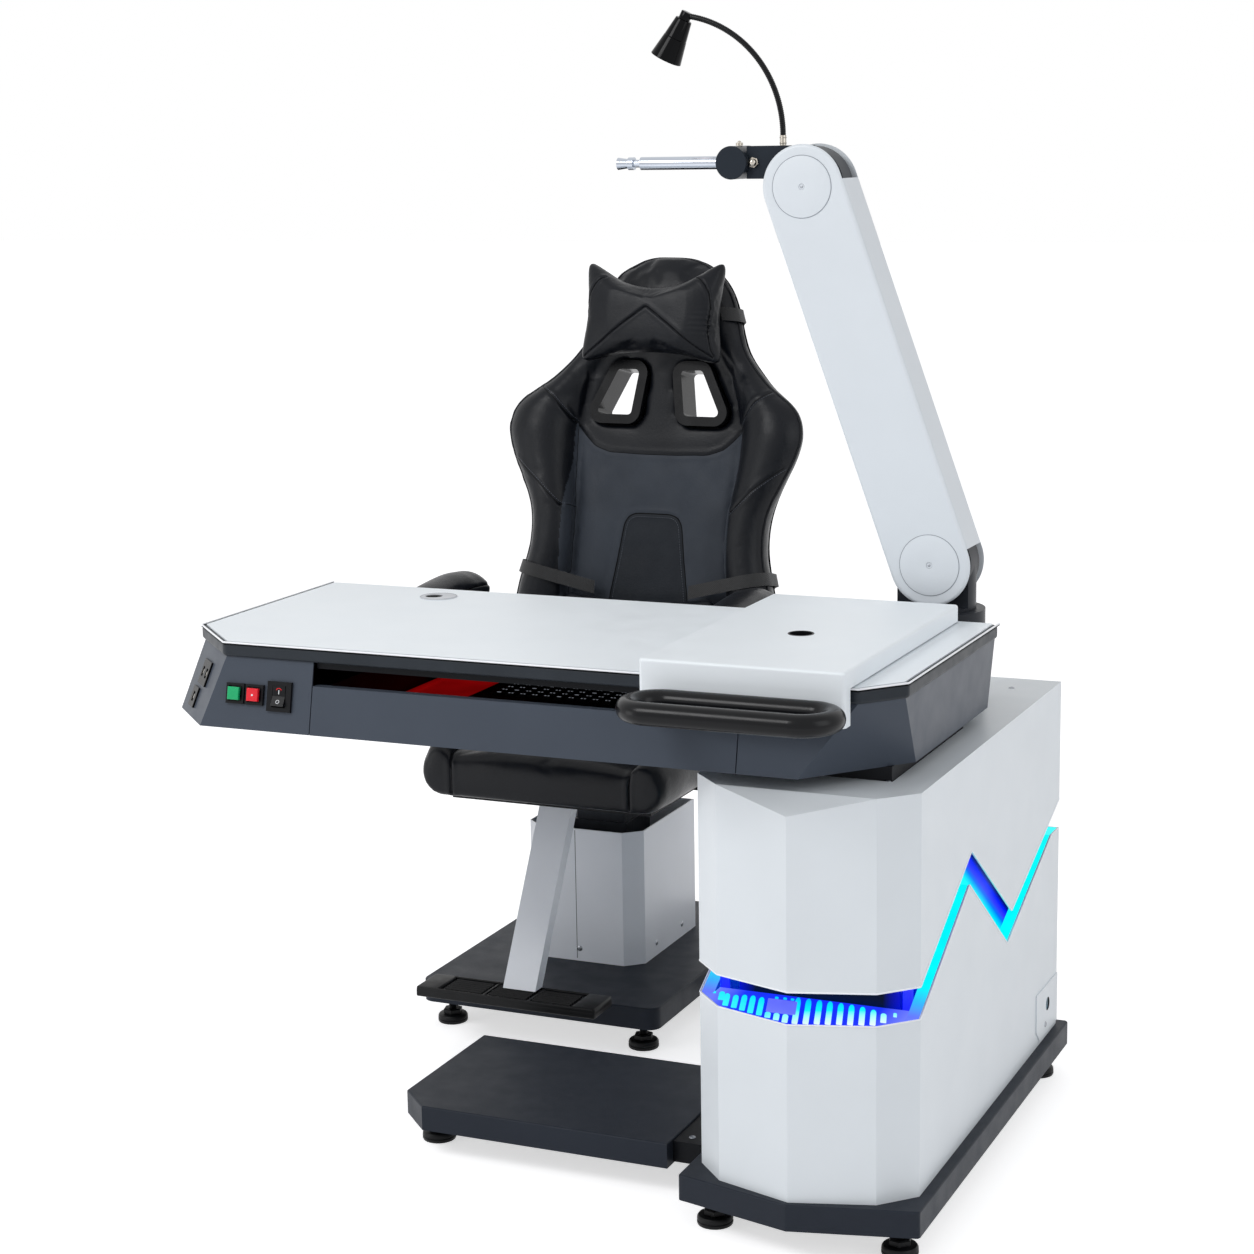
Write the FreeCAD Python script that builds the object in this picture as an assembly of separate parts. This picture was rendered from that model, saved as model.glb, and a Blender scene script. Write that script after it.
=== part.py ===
"""Ophthalmic examination unit: instrument table on a lit column, a lifting arm and a lift chair.

Millimetres, +Z up, +X to the examiner's right, +Y away from the examiner. Everything is drawn
from the foot of the column's front edge, and at the end it is moved so that the origin lies at
the middle of the floor area that the whole unit covers.
"""
import FreeCAD
import Part
import math
import os

# Shared small sizes
overrun = 5.0                # how far a cutting solid stands past what it cuts
seat_gap = 0.3               # between pieces that rest on each other at a curved face
running_gap = 0.05           # radial clearance of a turning shaft
slide_gap = 1.0              # beside a sliding piece
sheet = 2.5                  # folded steel covers
floor_plate = 38.0           # thickness of the heavy foot plates
foot_height = 45.0           # underside of the foot plates above the floor

# Column
column_height = 654.0
column_half_width = 161.0
column_shoulder_x = 115.0    # where the two front facets meet
column_shoulder_y = 36.0
column_corner_y = 85.0
column_depth = 830.0
column_nose_drop = 26.0      # how far the top slopes down at the front edge
plate_half_width = 177.0
plate_corner_y = 34.0
plate_nose = 10.0
plate_overhang = 20.0        # behind the housings
plate_rounding = 6.0
core_half_width = 118.0
core_front = 128.0
core_back_margin = 38.0
core_wall = 4.0
riser_half_width = 105.0
riser_front = 130.0
riser_back = 470.0
riser_wall = 6.0

# Light gap between the two housings, drawn on the side faces as a zigzag
gap_low_z = 338.0
gap_high_z = 384.0
peak_low_y = 317.0
peak_low_z = 462.0
peak_high_y = 326.0
peak_high_z = 510.0
valley_low_y = 525.0
valley_low_z = 312.0
valley_high_y = 547.0
valley_high_z = 357.0
tail_low_y = 781.0
tail_low_z = 414.0
tail_high_z = 462.0
ledge_thickness = 3.0
vent_width = 6.0
vent_pitch = 11.5
vent_count = 18
vent_margin = 9.0
lamp_panel_drop = 14.0
lamp_panel_thickness = 4.0

# Inside the core
supply_size = 160.0
supply_height = 90.0
supply_depth = 220.0

# Port plate at the back of the right face
port_plate_length = 128.0
port_plate_margin = 2.0
port_plate_low = 90.0
port_plate_high = 171.0
port_plate_thickness = 2.0
port_plate_corner = 20.0
port_inset = 62.0            # from the column's rear edge
port_z = 137.0
port_radius = 11.0
port_screw_inset = 76.0
port_screw_z = 107.0

# Screws with round heads
screw_head_radius = 5.0
screw_head_height = 1.5
screw_shank_radius = 2.5
screw_length = 10.0
top_screw_x = 100.0
top_screw_front = 143.0
top_screw_inset = 73.0

# Levelling feet
foot_pad_radius = 26.0
foot_pad_height = 15.0
foot_nut_radius = 17.0
foot_nut_height = 9.0
foot_stem_radius = 7.0
foot_inset = 40.0

# Extension plate and links between the foot plates
extension_left = -690.0
extension_right = -233.5
extension_front = 129.0
extension_back = 444.0
extension_chamfer = 54.0
joint_gap = 0.5
connector_margin = 22.0
connector_drop = 3.0
link_width = 50.0
link_thickness = 6.0
link_chair_x = -545.0
link_chair_y = 1012.0
link_column_x = -120.0
link_column_y = 690.0

# Table body and top
table_height = 800.0
board_thickness = 22.0
body_height = 103.5
table_left = -997.0
table_left_y = 145.0
table_front_left = -891.0
table_front = 38.5
table_front_right = 88.0
table_right = 138.0
table_right_y = 100.0
table_back = 542.0
body_foot_left = -1021.0
body_foot_front_left = -927.0
body_foot_front = 21.5
body_foot_front_right = 8.0
body_foot_right = 127.0
body_foot_back = 522.0
body_top_inset = 5.0
band_width = 9.0
band_rounding = 5.0
band_corner = 12.0
top_sheet = 2.0
top_sheet_inset = 4.0
grommet_x = -760.8
grommet_y = 466.8
grommet_radius = 30.0
grommet_rim = 1.5
grommet_neck_radius = 27.0
grommet_bore_radius = 14.0
grommet_bore_offset = 8.0

# Drawer
drawer_left = -742.0
drawer_right = -79.0
drawer_seam = 1.5
drawer_front_height = 69.5
drawer_front_thickness = 14.0
drawer_depth = 430.0
drawer_side_gap = 14.0
drawer_wall = 1.5
drawer_floor_gap = 6.0
drawer_height = 58.0
rail_height = 30.0
rail_thickness = 6.0
rail_gap = 0.4
mat_left = -715.0
mat_right = -608.0
keypad_right = -350.0
content_front = 250.0
content_depth = 130.0
mat_thickness = 6.0
mat_rim = 8.0
mat_recess = 3.0
keypad_thickness = 10.0
keypad_gap = 8.0
key_size = 14.0
key_height = 2.5
key_pitch = 20.0
key_columns = 10
key_rows = 4

# Controls on the left front panel, measured along the panel from its own centre line
button_drop = 74.5           # below the table's surface
green_x = -868.0
red_x = -835.5
button_size = 19.0
button_travel = 4.0
button_stand = 9.0
bezel_size = 30.0
bezel_stand = 4.5
bezel_wall = 3.5
barrel_radius = 10.0
barrel_depth = 24.0
rocker_x = -793.5
rocker_plate_width = 40.0
rocker_plate_height = 44.0
rocker_half_width = 10.5
rocker_half_height = 15.0
rocker_stand = 3.0
rocker_pin_radius = 2.0
rocker_hole_gap = 0.8
rocker_tilt = 8.0

# Sockets on the left facet
socket_stand = 3.0
double_socket_width = 42.0
double_socket_height = 38.0
double_socket_shift = 2.0
double_socket_rise = 14.0
single_socket_width = 29.0
single_socket_height = 31.0
single_socket_shift = -14.0
single_socket_rise = -27.0
socket_hole = 9.0
socket_hole_tall = 15.0
socket_hole_depth = 11.0
socket_box_depth = 18.0

# Sliding instrument tray
tray_left = -214.0
tray_right = 80.0
tray_front = 7.5
tray_back = 528.0
tray_height = 27.0
tray_float = 2.0             # lower edge of the tray's walls above the table
apron_low_z = 752.0
apron_return = 22.0
tray_corner = 6.0
tray_edge = 4.0
tray_hole_x = -65.0
tray_hole_y = 241.0
tray_hole_radius = 18.5
skid_width = 20.0
skid_margin = 70.0
guide_bar = 10.0
guide_bar_front = 50.0
guide_bar_margin = 2.0
shoe_length = 70.0
shoe_wall = 4.0
shoe_reach = 4.0
handle_radius = 15.7
handle_reach = 82.0          # between the middles of its two long sides
handle_length = 316.0
handle_x = -60.0
handle_z = 775.0
handle_boss_radius = 9.0
handle_boss_spread = 70.0

# Arm post and its bearing
post_x = 18.0
post_y = 620.0
bearing_radius = 74.0
bearing_top = 803.0
spindle_radius = 50.0
spindle_foot = 660.0
post_radius = 60.0
post_shoulder = 4.5
tongue_thickness = 44.0
pivot_low_z = 874.0
pin_radius = 12.0

# Arm
arm_length = 600.0
arm_lean = 19.7
arm_half_width = 64.0
arm_thickness = 80.0
arm_wall = 3.0
arm_rounding = 6.0
arm_low_window = 35.0
arm_high_window = -10.0
cover_radius = 47.0
cover_thickness = 1.2
cover_screw_radius = 5.0
cover_screw_height = 0.8
rod_offset = 32.0
rod_thickness = 8.0
rod_half_width = 8.0
rod_eye_radius = 10.0
rod_pin_radius = 5.0
rod_side_gap = 2.0

# Head bracket, knuckle and instrument rod
knuckle_reach = 115.0
knuckle_rise = 36.5
neck_half_height = 24.5
saddle_share = 0.8            # how far round the barrel the neck is cut away
knuckle_radius = 25.0
knuckle_length = 75.0
knuckle_edge = 1.0
shaft_radius = 10.0
shaft_length = 175.0
shaft_socket = 12.0
shaft_stem_radius = 8.0      # where it sits in the barrel
shaft_neck_radius = 6.0
shaft_neck_length = 12.0
shaft_collar_radius = 9.8
shaft_collar_length = 9.0
shaft_nose_radius = 7.0
shaft_nose_end = 9.5
shaft_nose_length = 18.0
clamp_stem_radius = 3.0
clamp_head_radius = 5.5
clamp_head_height = 4.5
clamp_knob_radius = 3.0

# Lamp on its flexible tube
lamp_offset_x = -44.0        # from the upper pivot
ferrule_radius = 5.0
ferrule_length = 15.0
ferrule_stem_radius = 3.0
ferrule_stem_length = 12.0
gooseneck_radius = 4.5
gooseneck_bend = 183.0
gooseneck_turn = 79.0
lamp_tilt = 28.0             # the lamp's axis from straight down
lamp_cap_radius = 9.0
lamp_cap_length = 12.0
lamp_neck_radius = 13.0
lamp_body_radius = 18.0
lamp_body_length = 30.0
lamp_mouth_radius = 25.0
lamp_mouth_length = 36.0
lamp_wall = 1.5
lamp_lens_thickness = 3.0
lamp_lens_recess = 3.0

# Chair base and lift
chair_x = -696.0
chair_plate_half_width = 222.0
chair_plate_front = 652.0
chair_plate_back = 1250.0
chair_plate_corner = 22.0
lift_front = 843.0
lift_back = 1103.0
lift_half_width = 110.0
lift_chamfer_x = 80.0
lift_chamfer_y = 28.0
lift_cover_top = 325.0
lift_y = 980.0
tube_half = 52.0
tube_wall = 5.0
tube_top = 318.0
lift_running_gap = 0.4
inner_tube_foot = 90.0
motor_radius = 28.0
motor_height = 120.0
motor_y = 1070.0
lift_screw_z = 106.0

# Seat
seat_front = 680.0
seat_back = 1118.0
seat_half_width = 232.0
seat_panel_half = 176.0
seat_low_z = 407.0
seat_thickness = 96.0
seat_bolster_rise = 20.0
seat_crown = 13.0
seat_front_drop = 34.0
seat_foot_round = 18.0
seat_draw_in = 34.0
seat_shoulder_draw = 8.0
seat_underlap = 0.5
pan_thickness = 12.0
pan_margin = 45.0
# rows: along the seat, width, rise of the underside, drop of the top
seat_shares = ((0.0, 0.86, 1.0, 1.0), (0.035, 0.94, 0.4, 0.5), (0.11, 0.985, 0.0, 0.15),
               (0.3, 1.0, 0.0, 0.0), (0.6, 1.0, 0.0, 0.0), (0.88, 0.97, 0.0, 0.12),
               (0.965, 0.93, 0.4, 0.45), (1.0, 0.86, 1.0, 1.0))

# Footrest
leg_width = 60.0
leg_depth = 24.0
leg_wall = 2.0
leg_low_y = 588.0
leg_high_y = 745.0
leg_shift = 7.0
footrest_half_width = 165.0
footrest_front = 530.0
footrest_back = 603.0
footrest_top = 117.0
footrest_thickness = 18.0
footrest_corner = 12.0
footrest_edge = 2.0
rib_height = 2.0
rib_width = 5.0
rib_count = 5
rib_margin = 12.0

# Armrests
armrest_offset = 283.0
armrest_hinge_y = 960.0
armrest_hinge_z = 680.0
armrest_front = 715.0
armrest_back = 1015.0
armrest_half_width = 46.0
armrest_top = 747.0
armrest_thickness = 48.0
armrest_crown = 20.0
armrest_arch = 48.0
armrest_draw_in = 8.0
armrest_base_half = 34.0
armrest_base_thickness = 6.0
armrest_base_margin = 95.0
armrest_lug_radius = 16.0
armrest_barrel_radius = 14.0
armrest_post_thickness = 9.0
armrest_foot_reach = 40.0
armrest_pin_radius = 8.0
# rows: along the pad, width, drop of the top, thickness
armrest_shares = ((0.0, 0.62, 1.0, 0.55), (0.06, 0.86, 0.72, 0.85), (0.25, 0.96, 0.28, 1.0),
                  (0.55, 1.0, 0.02, 1.0), (0.8, 1.0, 0.0, 1.0), (0.94, 0.9, 0.14, 0.9),
                  (1.0, 0.62, 0.38, 0.5))

# Backrest, in its own plane: across, along and forward of its edge seam
back_lean = 12.0
back_y = 1135.0              # where the edge seam's plane meets back_z
back_z = 700.0
back_half_width = 295.0
back_below = 185.0
back_above = 611.0
bolster_rise = 35.0
panel_crown = 6.0
back_lip_draw = 2.0
cushion_depth = 45.0
shell_back = 75.0
shell_taper_share = 0.93
shell_brow = 5.0
body_face_share = -0.86
head_face_share = -0.2
# rows: height, width, panel's part of the width, edge, crest and panel face as parts of the
# rise, the rear corners' part of the width
back_shares = ((0.0, 0.786, 0.70, 0.0, 0.6, -0.86, 0.98),
               (0.053, 0.847, 0.664, 0.17, 1.0, -0.86, 0.975),
               (0.155, 0.888, 0.634, 0.17, 1.0, -0.86, 0.965),
               (0.239, 0.858, 0.656, 0.17, 1.0, -0.86, 0.96),
               (0.335, 0.797, 0.706, 0.17, 1.0, -0.86, 0.96),
               (0.425, 0.817, 0.689, 0.17, 1.0, -0.86, 0.95),
               (0.489, 0.895, 0.629, 0.17, 1.0, -0.86, 0.93),
               (0.549, 0.969, 0.580, 0.17, 1.0, -0.86, 0.93),
               (0.604, 1.0, 0.563, 0.17, 1.0, -0.86, 0.93),
               (0.663, 0.934, 0.581, 0.1, 0.75, -0.8, 0.94),
               (0.709, 0.766, 0.664, -0.1, 0.35, -0.75, 0.96),
               (0.743, 0.671, 0.697, -0.3, 0.05, -0.68, 0.97),
               (0.786, 0.575, 0.66, -0.5, -0.1, -0.5, 0.98),
               (0.867, 0.495, 0.657, -0.7, -0.2, -0.2, 0.98),
               (0.933, 0.422, 0.643, -0.75, -0.25, -0.2, 0.98),
               (0.979, 0.308, 0.604, -0.85, -0.4, -0.3, 0.98),
               (1.0, 0.197, 0.586, -1.0, -0.65, -0.5, 0.98))

# Recliner at the back of the seat
recline_y = 1146.0
recline_z = 455.0
recliner_thickness = 8.0
recliner_width = 44.0
recliner_offset = 150.0
recliner_foot = 40.0
recliner_foot_height = 12.0
recliner_reach = 90.0
recliner_pin_radius = 9.0

# Openings in the backrest, half widths and heights above back_z along the plane
opening_inner_top = 41.0
opening_outer_top = 83.0
opening_outer_foot = 124.0
opening_inner_foot = 53.0
opening_top_high = 407.0
opening_foot_high = 323.0
opening_corner = 8.0
opening_front = 60.0
frame_width = 17.0
frame_front = -12.0
frame_lip = 2.0

# Pillows and their straps
pillow_waist_share = 0.86
# rows: across, fullness, how much of the edge's dip
pillow_shares = ((-1.0, 0.14, 0.0), (-0.9, 0.42, 0.08), (-0.55, 0.85, 0.6), (0.0, 1.0, 1.0),
                 (0.55, 0.85, 0.6), (0.9, 0.42, 0.08), (1.0, 0.14, 0.0))
head_pillow_half_width = 146.0
head_pillow_half_height = 95.0
head_pillow_thickness = 70.0
head_pillow_rise = 511.0
head_pillow_top_dip = 34.0
head_pillow_foot_dip = 22.0
lumbar_half_width = 160.0
lumbar_half_height = 82.0
lumbar_thickness = 64.0
lumbar_rise = -82.0
lumbar_dip = 6.0
strap_thickness = 1.6
strap_width = 24.0
strap_gap = 1.0
head_strap_gap = 108.0
lumbar_strap_rise = 0.0
lumbar_strap_slope = 14.0
lumbar_strap_gap = 148.0


def vec(x, y, z):
    return FreeCAD.Vector(x, y, z)


def box(x, y, z):
    """A block between pairs of coordinates."""
    return Part.makeBox(x[1] - x[0], y[1] - y[0], z[1] - z[0], vec(x[0], y[0], z[0]))


def cylinder_x(radius, y, z, low, high):
    return Part.makeCylinder(radius, high - low, vec(low, y, z), vec(1, 0, 0))


def cylinder_y(radius, x, z, low, high):
    return Part.makeCylinder(radius, high - low, vec(x, low, z), vec(0, 1, 0))


def cylinder_z(radius, x, y, low, high):
    return Part.makeCylinder(radius, high - low, vec(x, y, low), vec(0, 0, 1))


def face_of(corners):
    """A flat face through 3-D corners."""
    return Part.Face(Part.makePolygon(corners + corners[:1]))


def prism(outline, low, high):
    """A plan outline raised from one height to another."""
    return face_of([vec(x, y, low) for x, y in outline]).extrude(vec(0, 0, high - low))


def profile_x(outline, low, high):
    """An outline of (y, z) corners, drawn out along X."""
    return face_of([vec(low, y, z) for y, z in outline]).extrude(vec(high - low, 0, 0))


def turned(outline):
    """A solid turned about Z from (radius, height) corners."""
    return face_of([vec(r, 0, z) for r, z in outline]).revolve(vec(0, 0, 0), vec(0, 0, 1), 360)


def inset(outline, distance):
    """A counter-clockwise outline with every side moved inward."""
    moved = []
    count = len(outline)
    for i in range(count):
        (ax, ay), (bx, by), (cx, cy) = outline[i - 1], outline[i], outline[(i + 1) % count]
        first = math.atan2(by - ay, bx - ax)
        second = math.atan2(cy - by, cx - bx)
        half = (second - first) / 2
        middle = (first + second) / 2
        if abs(second - first) > math.pi:
            half += math.pi
            middle += math.pi
        reach = distance / math.cos(half)
        moved.append((bx - reach * math.sin(middle), by + reach * math.cos(middle)))
    return moved


def frustum(low, low_z, high, high_z):
    """A flat-faced solid between two outlines with parallel sides."""
    foot = [vec(x, y, low_z) for x, y in low]
    head = [vec(x, y, high_z) for x, y in high]
    faces = [face_of(foot), face_of(head)]
    for i in range(len(foot)):
        faces.append(face_of([foot[i - 1], foot[i], head[i], head[i - 1]]))
    solid = Part.makeSolid(Part.makeShell(faces))
    if solid.Volume < 0:
        solid.reverse()
    return solid


def blend_edges(shape, radius, wanted):
    """Round the edges that the test picks."""
    return shape.makeFillet(radius, [edge for edge in shape.Edges if wanted(edge)])


def is_upright(edge):
    ends = edge.Vertexes
    return len(ends) == 2 and abs(ends[0].Z - ends[1].Z) > seat_gap \
        and math.hypot(ends[0].X - ends[1].X, ends[0].Y - ends[1].Y) < running_gap


def lies_at(height):
    return lambda edge: abs(edge.BoundBox.ZMin - height) < running_gap \
        and abs(edge.BoundBox.ZMax - height) < running_gap


def turn(shape, axis, degrees, centre):
    return shape.rotated(centre, axis, degrees)


def mirrored_x(shape, x=0.0):
    return shape.mirror(vec(x, 0, 0), vec(1, 0, 0))


def join(shapes):
    first = shapes[0]
    return first.fuse(shapes[1:]).removeSplitter()


def group(shapes):
    return Part.makeCompound(shapes)


plate_top = foot_height + floor_plate
board_low = table_height - board_thickness
body_low = board_low - body_height
drawer_front_top = body_low + drawer_front_height
button_height_z = table_height - button_drop
plate_back = column_depth + plate_overhang
core_back = column_depth - core_back_margin
port_plate_back = column_depth - port_plate_margin
port_plate_front = port_plate_back - port_plate_length
port_y = column_depth - port_inset
port_screw_y = column_depth - port_screw_inset
top_screw_back = column_depth - top_screw_inset


# Column

def column_plan(inward=0.0):
    right = [(0.0, 0.0), (column_shoulder_x, column_shoulder_y),
             (column_half_width, column_corner_y), (column_half_width, column_depth)]
    left = [(-x, y) for x, y in reversed(right[1:])]
    return inset(right + left, inward)


def column_solid(inward, low, high, lowered):
    """The column's outline with its sloping nose, for the outside or the hollow."""
    slope = column_nose_drop / column_shoulder_y
    nose_z = column_height - column_nose_drop - slope * overrun - lowered
    wedge = [(column_shoulder_y, column_height - lowered), (-overrun, nose_z),
             (-overrun, column_height + overrun), (column_shoulder_y, column_height + overrun)]
    body = prism(column_plan(inward), low, high)
    return body.cut(profile_x(wedge, -column_half_width, column_half_width))


def gap_edge(upper):
    """The corners (y, z) of one edge of the light gap, front to back."""
    front = -plate_nose - overrun
    back = column_depth + overrun
    if upper:
        return [(front, gap_high_z), (column_corner_y, gap_high_z), (peak_high_y, peak_high_z),
                (valley_high_y, valley_high_z), (back, tail_high_z)]
    return [(front, gap_low_z), (column_corner_y, gap_low_z), (peak_low_y, peak_low_z),
            (valley_low_y, valley_low_z), (tail_low_y, tail_low_z), (back, tail_low_z)]


def zone(edge, level):
    """Everything between an edge of the gap and a level."""
    span = column_half_width + overrun
    return profile_x(edge + [(edge[-1][0], level), (edge[0][0], level)], -span, span)


def core_box(grown, low, high):
    return box((-core_half_width - grown, core_half_width + grown),
               (core_front - grown, core_back + grown), (low, high))


def build_column():
    hollow_top = column_height - sheet
    shell = column_solid(0.0, plate_top, column_height, 0.0)
    shell = shell.cut(column_solid(sheet, plate_top - overrun, hollow_top, sheet))
    lower = shell.common(zone(gap_edge(False), 0.0))
    port = cylinder_x(port_radius, port_y, port_z, column_half_width - sheet - overrun,
                      column_half_width + overrun)
    lower = lower.cut(port)
    upper = shell.common(zone(gap_edge(True), column_height + overrun))
    riser_hole = box((-riser_half_width - slide_gap, riser_half_width + slide_gap),
                     (riser_front - slide_gap, riser_back + slide_gap),
                     (hollow_top - overrun, column_height + overrun))
    bearing_hole = cylinder_z(bearing_radius + slide_gap, post_x, post_y, hollow_top - overrun,
                              column_height + overrun)
    upper = upper.cut(riser_hole).cut(bearing_hole)

    core = core_box(0.0, plate_top, hollow_top).cut(core_box(-core_wall, plate_top - overrun,
                                                             hollow_top - core_wall))
    riser = box((-riser_half_width, riser_half_width), (riser_front, riser_back),
                (hollow_top, body_low))
    riser_hollow = box((-riser_half_width + riser_wall, riser_half_width - riser_wall),
                       (riser_front + riser_wall, riser_back - riser_wall),
                       (hollow_top, body_low + overrun))
    core = join([core, riser.cut(riser_hollow)])

    plate = prism([(0.0, -plate_nose), (plate_half_width, plate_corner_y),
                   (plate_half_width, plate_back), (-plate_half_width, plate_back),
                   (-plate_half_width, plate_corner_y)], foot_height, plate_top)
    plate = blend_edges(plate, plate_rounding, is_upright)
    plate = blend_edges(plate, plate_rounding / 2, lies_at(plate_top))
    return {"column_base_plate": plate, "column_lower_housing": lower,
            "column_upper_housing": upper, "column_core": core}


def front_depth(x):
    """How far back the column's front face lies at a distance from its middle."""
    across = abs(x)
    if across < column_shoulder_x:
        return column_shoulder_y * across / column_shoulder_x
    rise = (column_corner_y - column_shoulder_y) / (column_half_width - column_shoulder_x)
    return column_shoulder_y + rise * (across - column_shoulder_x)


def build_light():
    low_edge = gap_edge(False)
    strip = [(y, z - ledge_thickness) for y, z in reversed(low_edge)]
    span = column_half_width + overrun
    ledge = profile_x(low_edge + strip, -span, span)
    ledge = ledge.common(prism(column_plan(sheet), 0.0, column_height))
    ledge = ledge.cut(core_box(0.0, 0.0, column_height))
    low = gap_low_z - ledge_thickness - overrun
    high = gap_low_z + overrun
    radius = vent_width / 2
    for i in range(vent_count):
        x = vent_pitch * (i - (vent_count - 1) / 2)
        front = front_depth(x) + vent_margin + radius
        back = core_front - vent_margin - radius
        slot = box((x - radius, x + radius), (front, back), (low, high))
        ends = [cylinder_z(radius, x, y, low, high) for y in (front, back)]
        ledge = ledge.cut([slot] + ends)
    top = gap_low_z - lamp_panel_drop
    panel = prism(column_plan(sheet), top - lamp_panel_thickness, top)
    panel = panel.common(box((-column_half_width, column_half_width), (0.0, core_front),
                             (0.0, column_height)))
    return {"led_ledge": ledge, "led_panel": panel}


def build_inside():
    supply = box((-supply_size / 2, supply_size / 2), (core_front + core_wall + supply_size,
                 core_front + core_wall + supply_size + supply_depth),
                 (plate_top, plate_top + supply_height))
    supply = blend_edges(supply, plate_rounding, is_upright)
    return {"power_supply": supply}


def screw(place, direction):
    """A pan head on a short shank, head outward along the direction."""
    outline = [(0.0, -screw_length), (screw_shank_radius, -screw_length),
               (screw_shank_radius, 0.0), (screw_head_radius, 0.0),
               (screw_head_radius - screw_head_height / 2, screw_head_height),
               (0.0, screw_head_height)]
    piece = turned(outline)
    piece.Placement = FreeCAD.Placement(place, FreeCAD.Rotation(vec(0, 0, 1), direction))
    return piece


def build_port_plate():
    corners = [(port_plate_front, port_plate_low + port_plate_corner),
               (port_plate_front + port_plate_corner, port_plate_low),
               (port_plate_back, port_plate_low), (port_plate_back, port_plate_high),
               (port_plate_front, port_plate_high)]
    face_x = column_half_width
    plate = profile_x(corners, face_x, face_x + port_plate_thickness)
    plate = plate.cut(cylinder_x(port_radius, port_y, port_z, face_x - overrun,
                                 face_x + overrun))
    return {"cable_port_plate": plate}


def lift_plan(inward=0.0):
    right = [(chair_x + lift_chamfer_x, lift_front),
             (chair_x + lift_half_width, lift_front + lift_chamfer_y),
             (chair_x + lift_half_width, lift_back)]
    left = [(2 * chair_x - x, y) for x, y in reversed(right)]
    return inset(right + left, inward)


def housing_screws():
    up = vec(0, 0, 1)
    right = vec(1, 0, 0)
    front = vec(0, -1, 0)
    side_x = chair_x + lift_half_width
    places = [(vec(x, y, column_height), up) for x in (-top_screw_x, top_screw_x)
              for y in (top_screw_back,)]
    places.append((vec(top_screw_x, top_screw_front - screw_head_radius * 2, column_height), up))
    places.append((vec(column_half_width + port_plate_thickness, port_screw_y, port_screw_z), right))
    places.append((vec(extension_right + connector_margin, extension_front + connector_margin * 2,
                       plate_top - connector_drop), up))
    places.append((vec(chair_x - screw_head_radius, lift_front, lift_screw_z), front))
    for share in (0.3, 0.75):
        y = lift_front + share * (lift_back - lift_front)
        places.append((vec(side_x, y, lift_screw_z), right))
    return [screw(place, direction) for place, direction in places]


def foot(x, y):
    outline = [(0.0, 0.0), (foot_pad_radius, 0.0), (foot_pad_radius, foot_pad_height),
               (foot_nut_radius, foot_pad_height),
               (foot_nut_radius, foot_pad_height + foot_nut_height),
               (foot_stem_radius, foot_pad_height + foot_nut_height),
               (foot_stem_radius, foot_height), (0.0, foot_height)]
    return turned(outline).translated(vec(x, y, 0))


def build_feet():
    column_x = plate_half_width - foot_inset
    spots = [(x, y) for x in (-column_x, column_x)
             for y in (plate_corner_y + foot_inset, plate_back - foot_inset)]
    spots += [(extension_left + foot_inset, y)
              for y in (extension_front + 2 * foot_inset, extension_back - foot_inset)]
    chair_reach = chair_plate_half_width - foot_inset
    spots += [(chair_x + side * chair_reach, y) for side in (-1, 1)
              for y in (chair_plate_front + foot_inset, chair_plate_back - foot_inset)]
    return {"levelling_feet": group([foot(x, y) for x, y in spots])}


def build_floor_plates():
    extension = prism([(extension_left + extension_chamfer, extension_front),
                       (extension_right, extension_front), (extension_right, extension_back),
                       (extension_left, extension_back),
                       (extension_left, extension_front + extension_chamfer)],
                      foot_height, plate_top)
    extension = blend_edges(extension, plate_rounding / 2, lies_at(plate_top))

    left = chair_x - chair_plate_half_width
    right = chair_x + chair_plate_half_width
    chair_plate = box((left, right), (chair_plate_front, chair_plate_back),
                      (foot_height, plate_top))
    chair_plate = blend_edges(chair_plate, chair_plate_corner, is_upright)
    chair_plate = blend_edges(chair_plate, plate_rounding / 2, lies_at(plate_top))

    connector = box((extension_right + joint_gap, -plate_half_width - joint_gap),
                    (extension_front + connector_margin, extension_back - connector_margin),
                    (foot_height + connector_drop, plate_top - connector_drop))
    along = vec(link_column_x - link_chair_x, link_column_y - link_chair_y, 0)
    angle = math.degrees(math.atan2(along.y, along.x))
    link = box((0.0, along.Length), (-link_width / 2, link_width / 2),
               (foot_height - link_thickness, foot_height))
    link = turn(link, vec(0, 0, 1), angle, vec(0, 0, 0))
    link = link.translated(vec(link_chair_x, link_chair_y, 0))
    return {"extension_plate": extension, "chair_base_plate": chair_plate,
            "base_links": group([connector, link])}


# Table

def band_outline():
    return [(table_front_left, table_front), (table_front_right, table_front),
            (table_right, table_right_y), (table_right, table_back),
            (table_left, table_back), (table_left, table_left_y)]


def body_foot_outline():
    """The lower outline, with its two chamfers parallel to those above."""
    right_slope = (table_right_y - table_front) / (table_right - table_front_right)
    left_slope = (table_left_y - table_front) / (table_front_left - table_left)
    right_y = body_foot_front + right_slope * (body_foot_right - body_foot_front_right)
    left_y = body_foot_front + left_slope * (body_foot_front_left - body_foot_left)
    return [(body_foot_front_left, body_foot_front), (body_foot_front_right, body_foot_front),
            (body_foot_right, right_y), (body_foot_right, body_foot_back),
            (body_foot_left, body_foot_back), (body_foot_left, left_y)]


def body_outline(height, inward=0.0):
    """The table body's outline at a height, between its foot and the board."""
    share = (height - body_low) / body_height
    low = inset(body_foot_outline(), inward)
    high = inset(band_outline(), body_top_inset + inward)
    return [(a + share * (c - a), b + share * (d - b)) for (a, b), (c, d) in zip(low, high)]


def body_slice(low, high, inward=0.0):
    return frustum(body_outline(low, inward), low, body_outline(high, inward), high)


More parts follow.
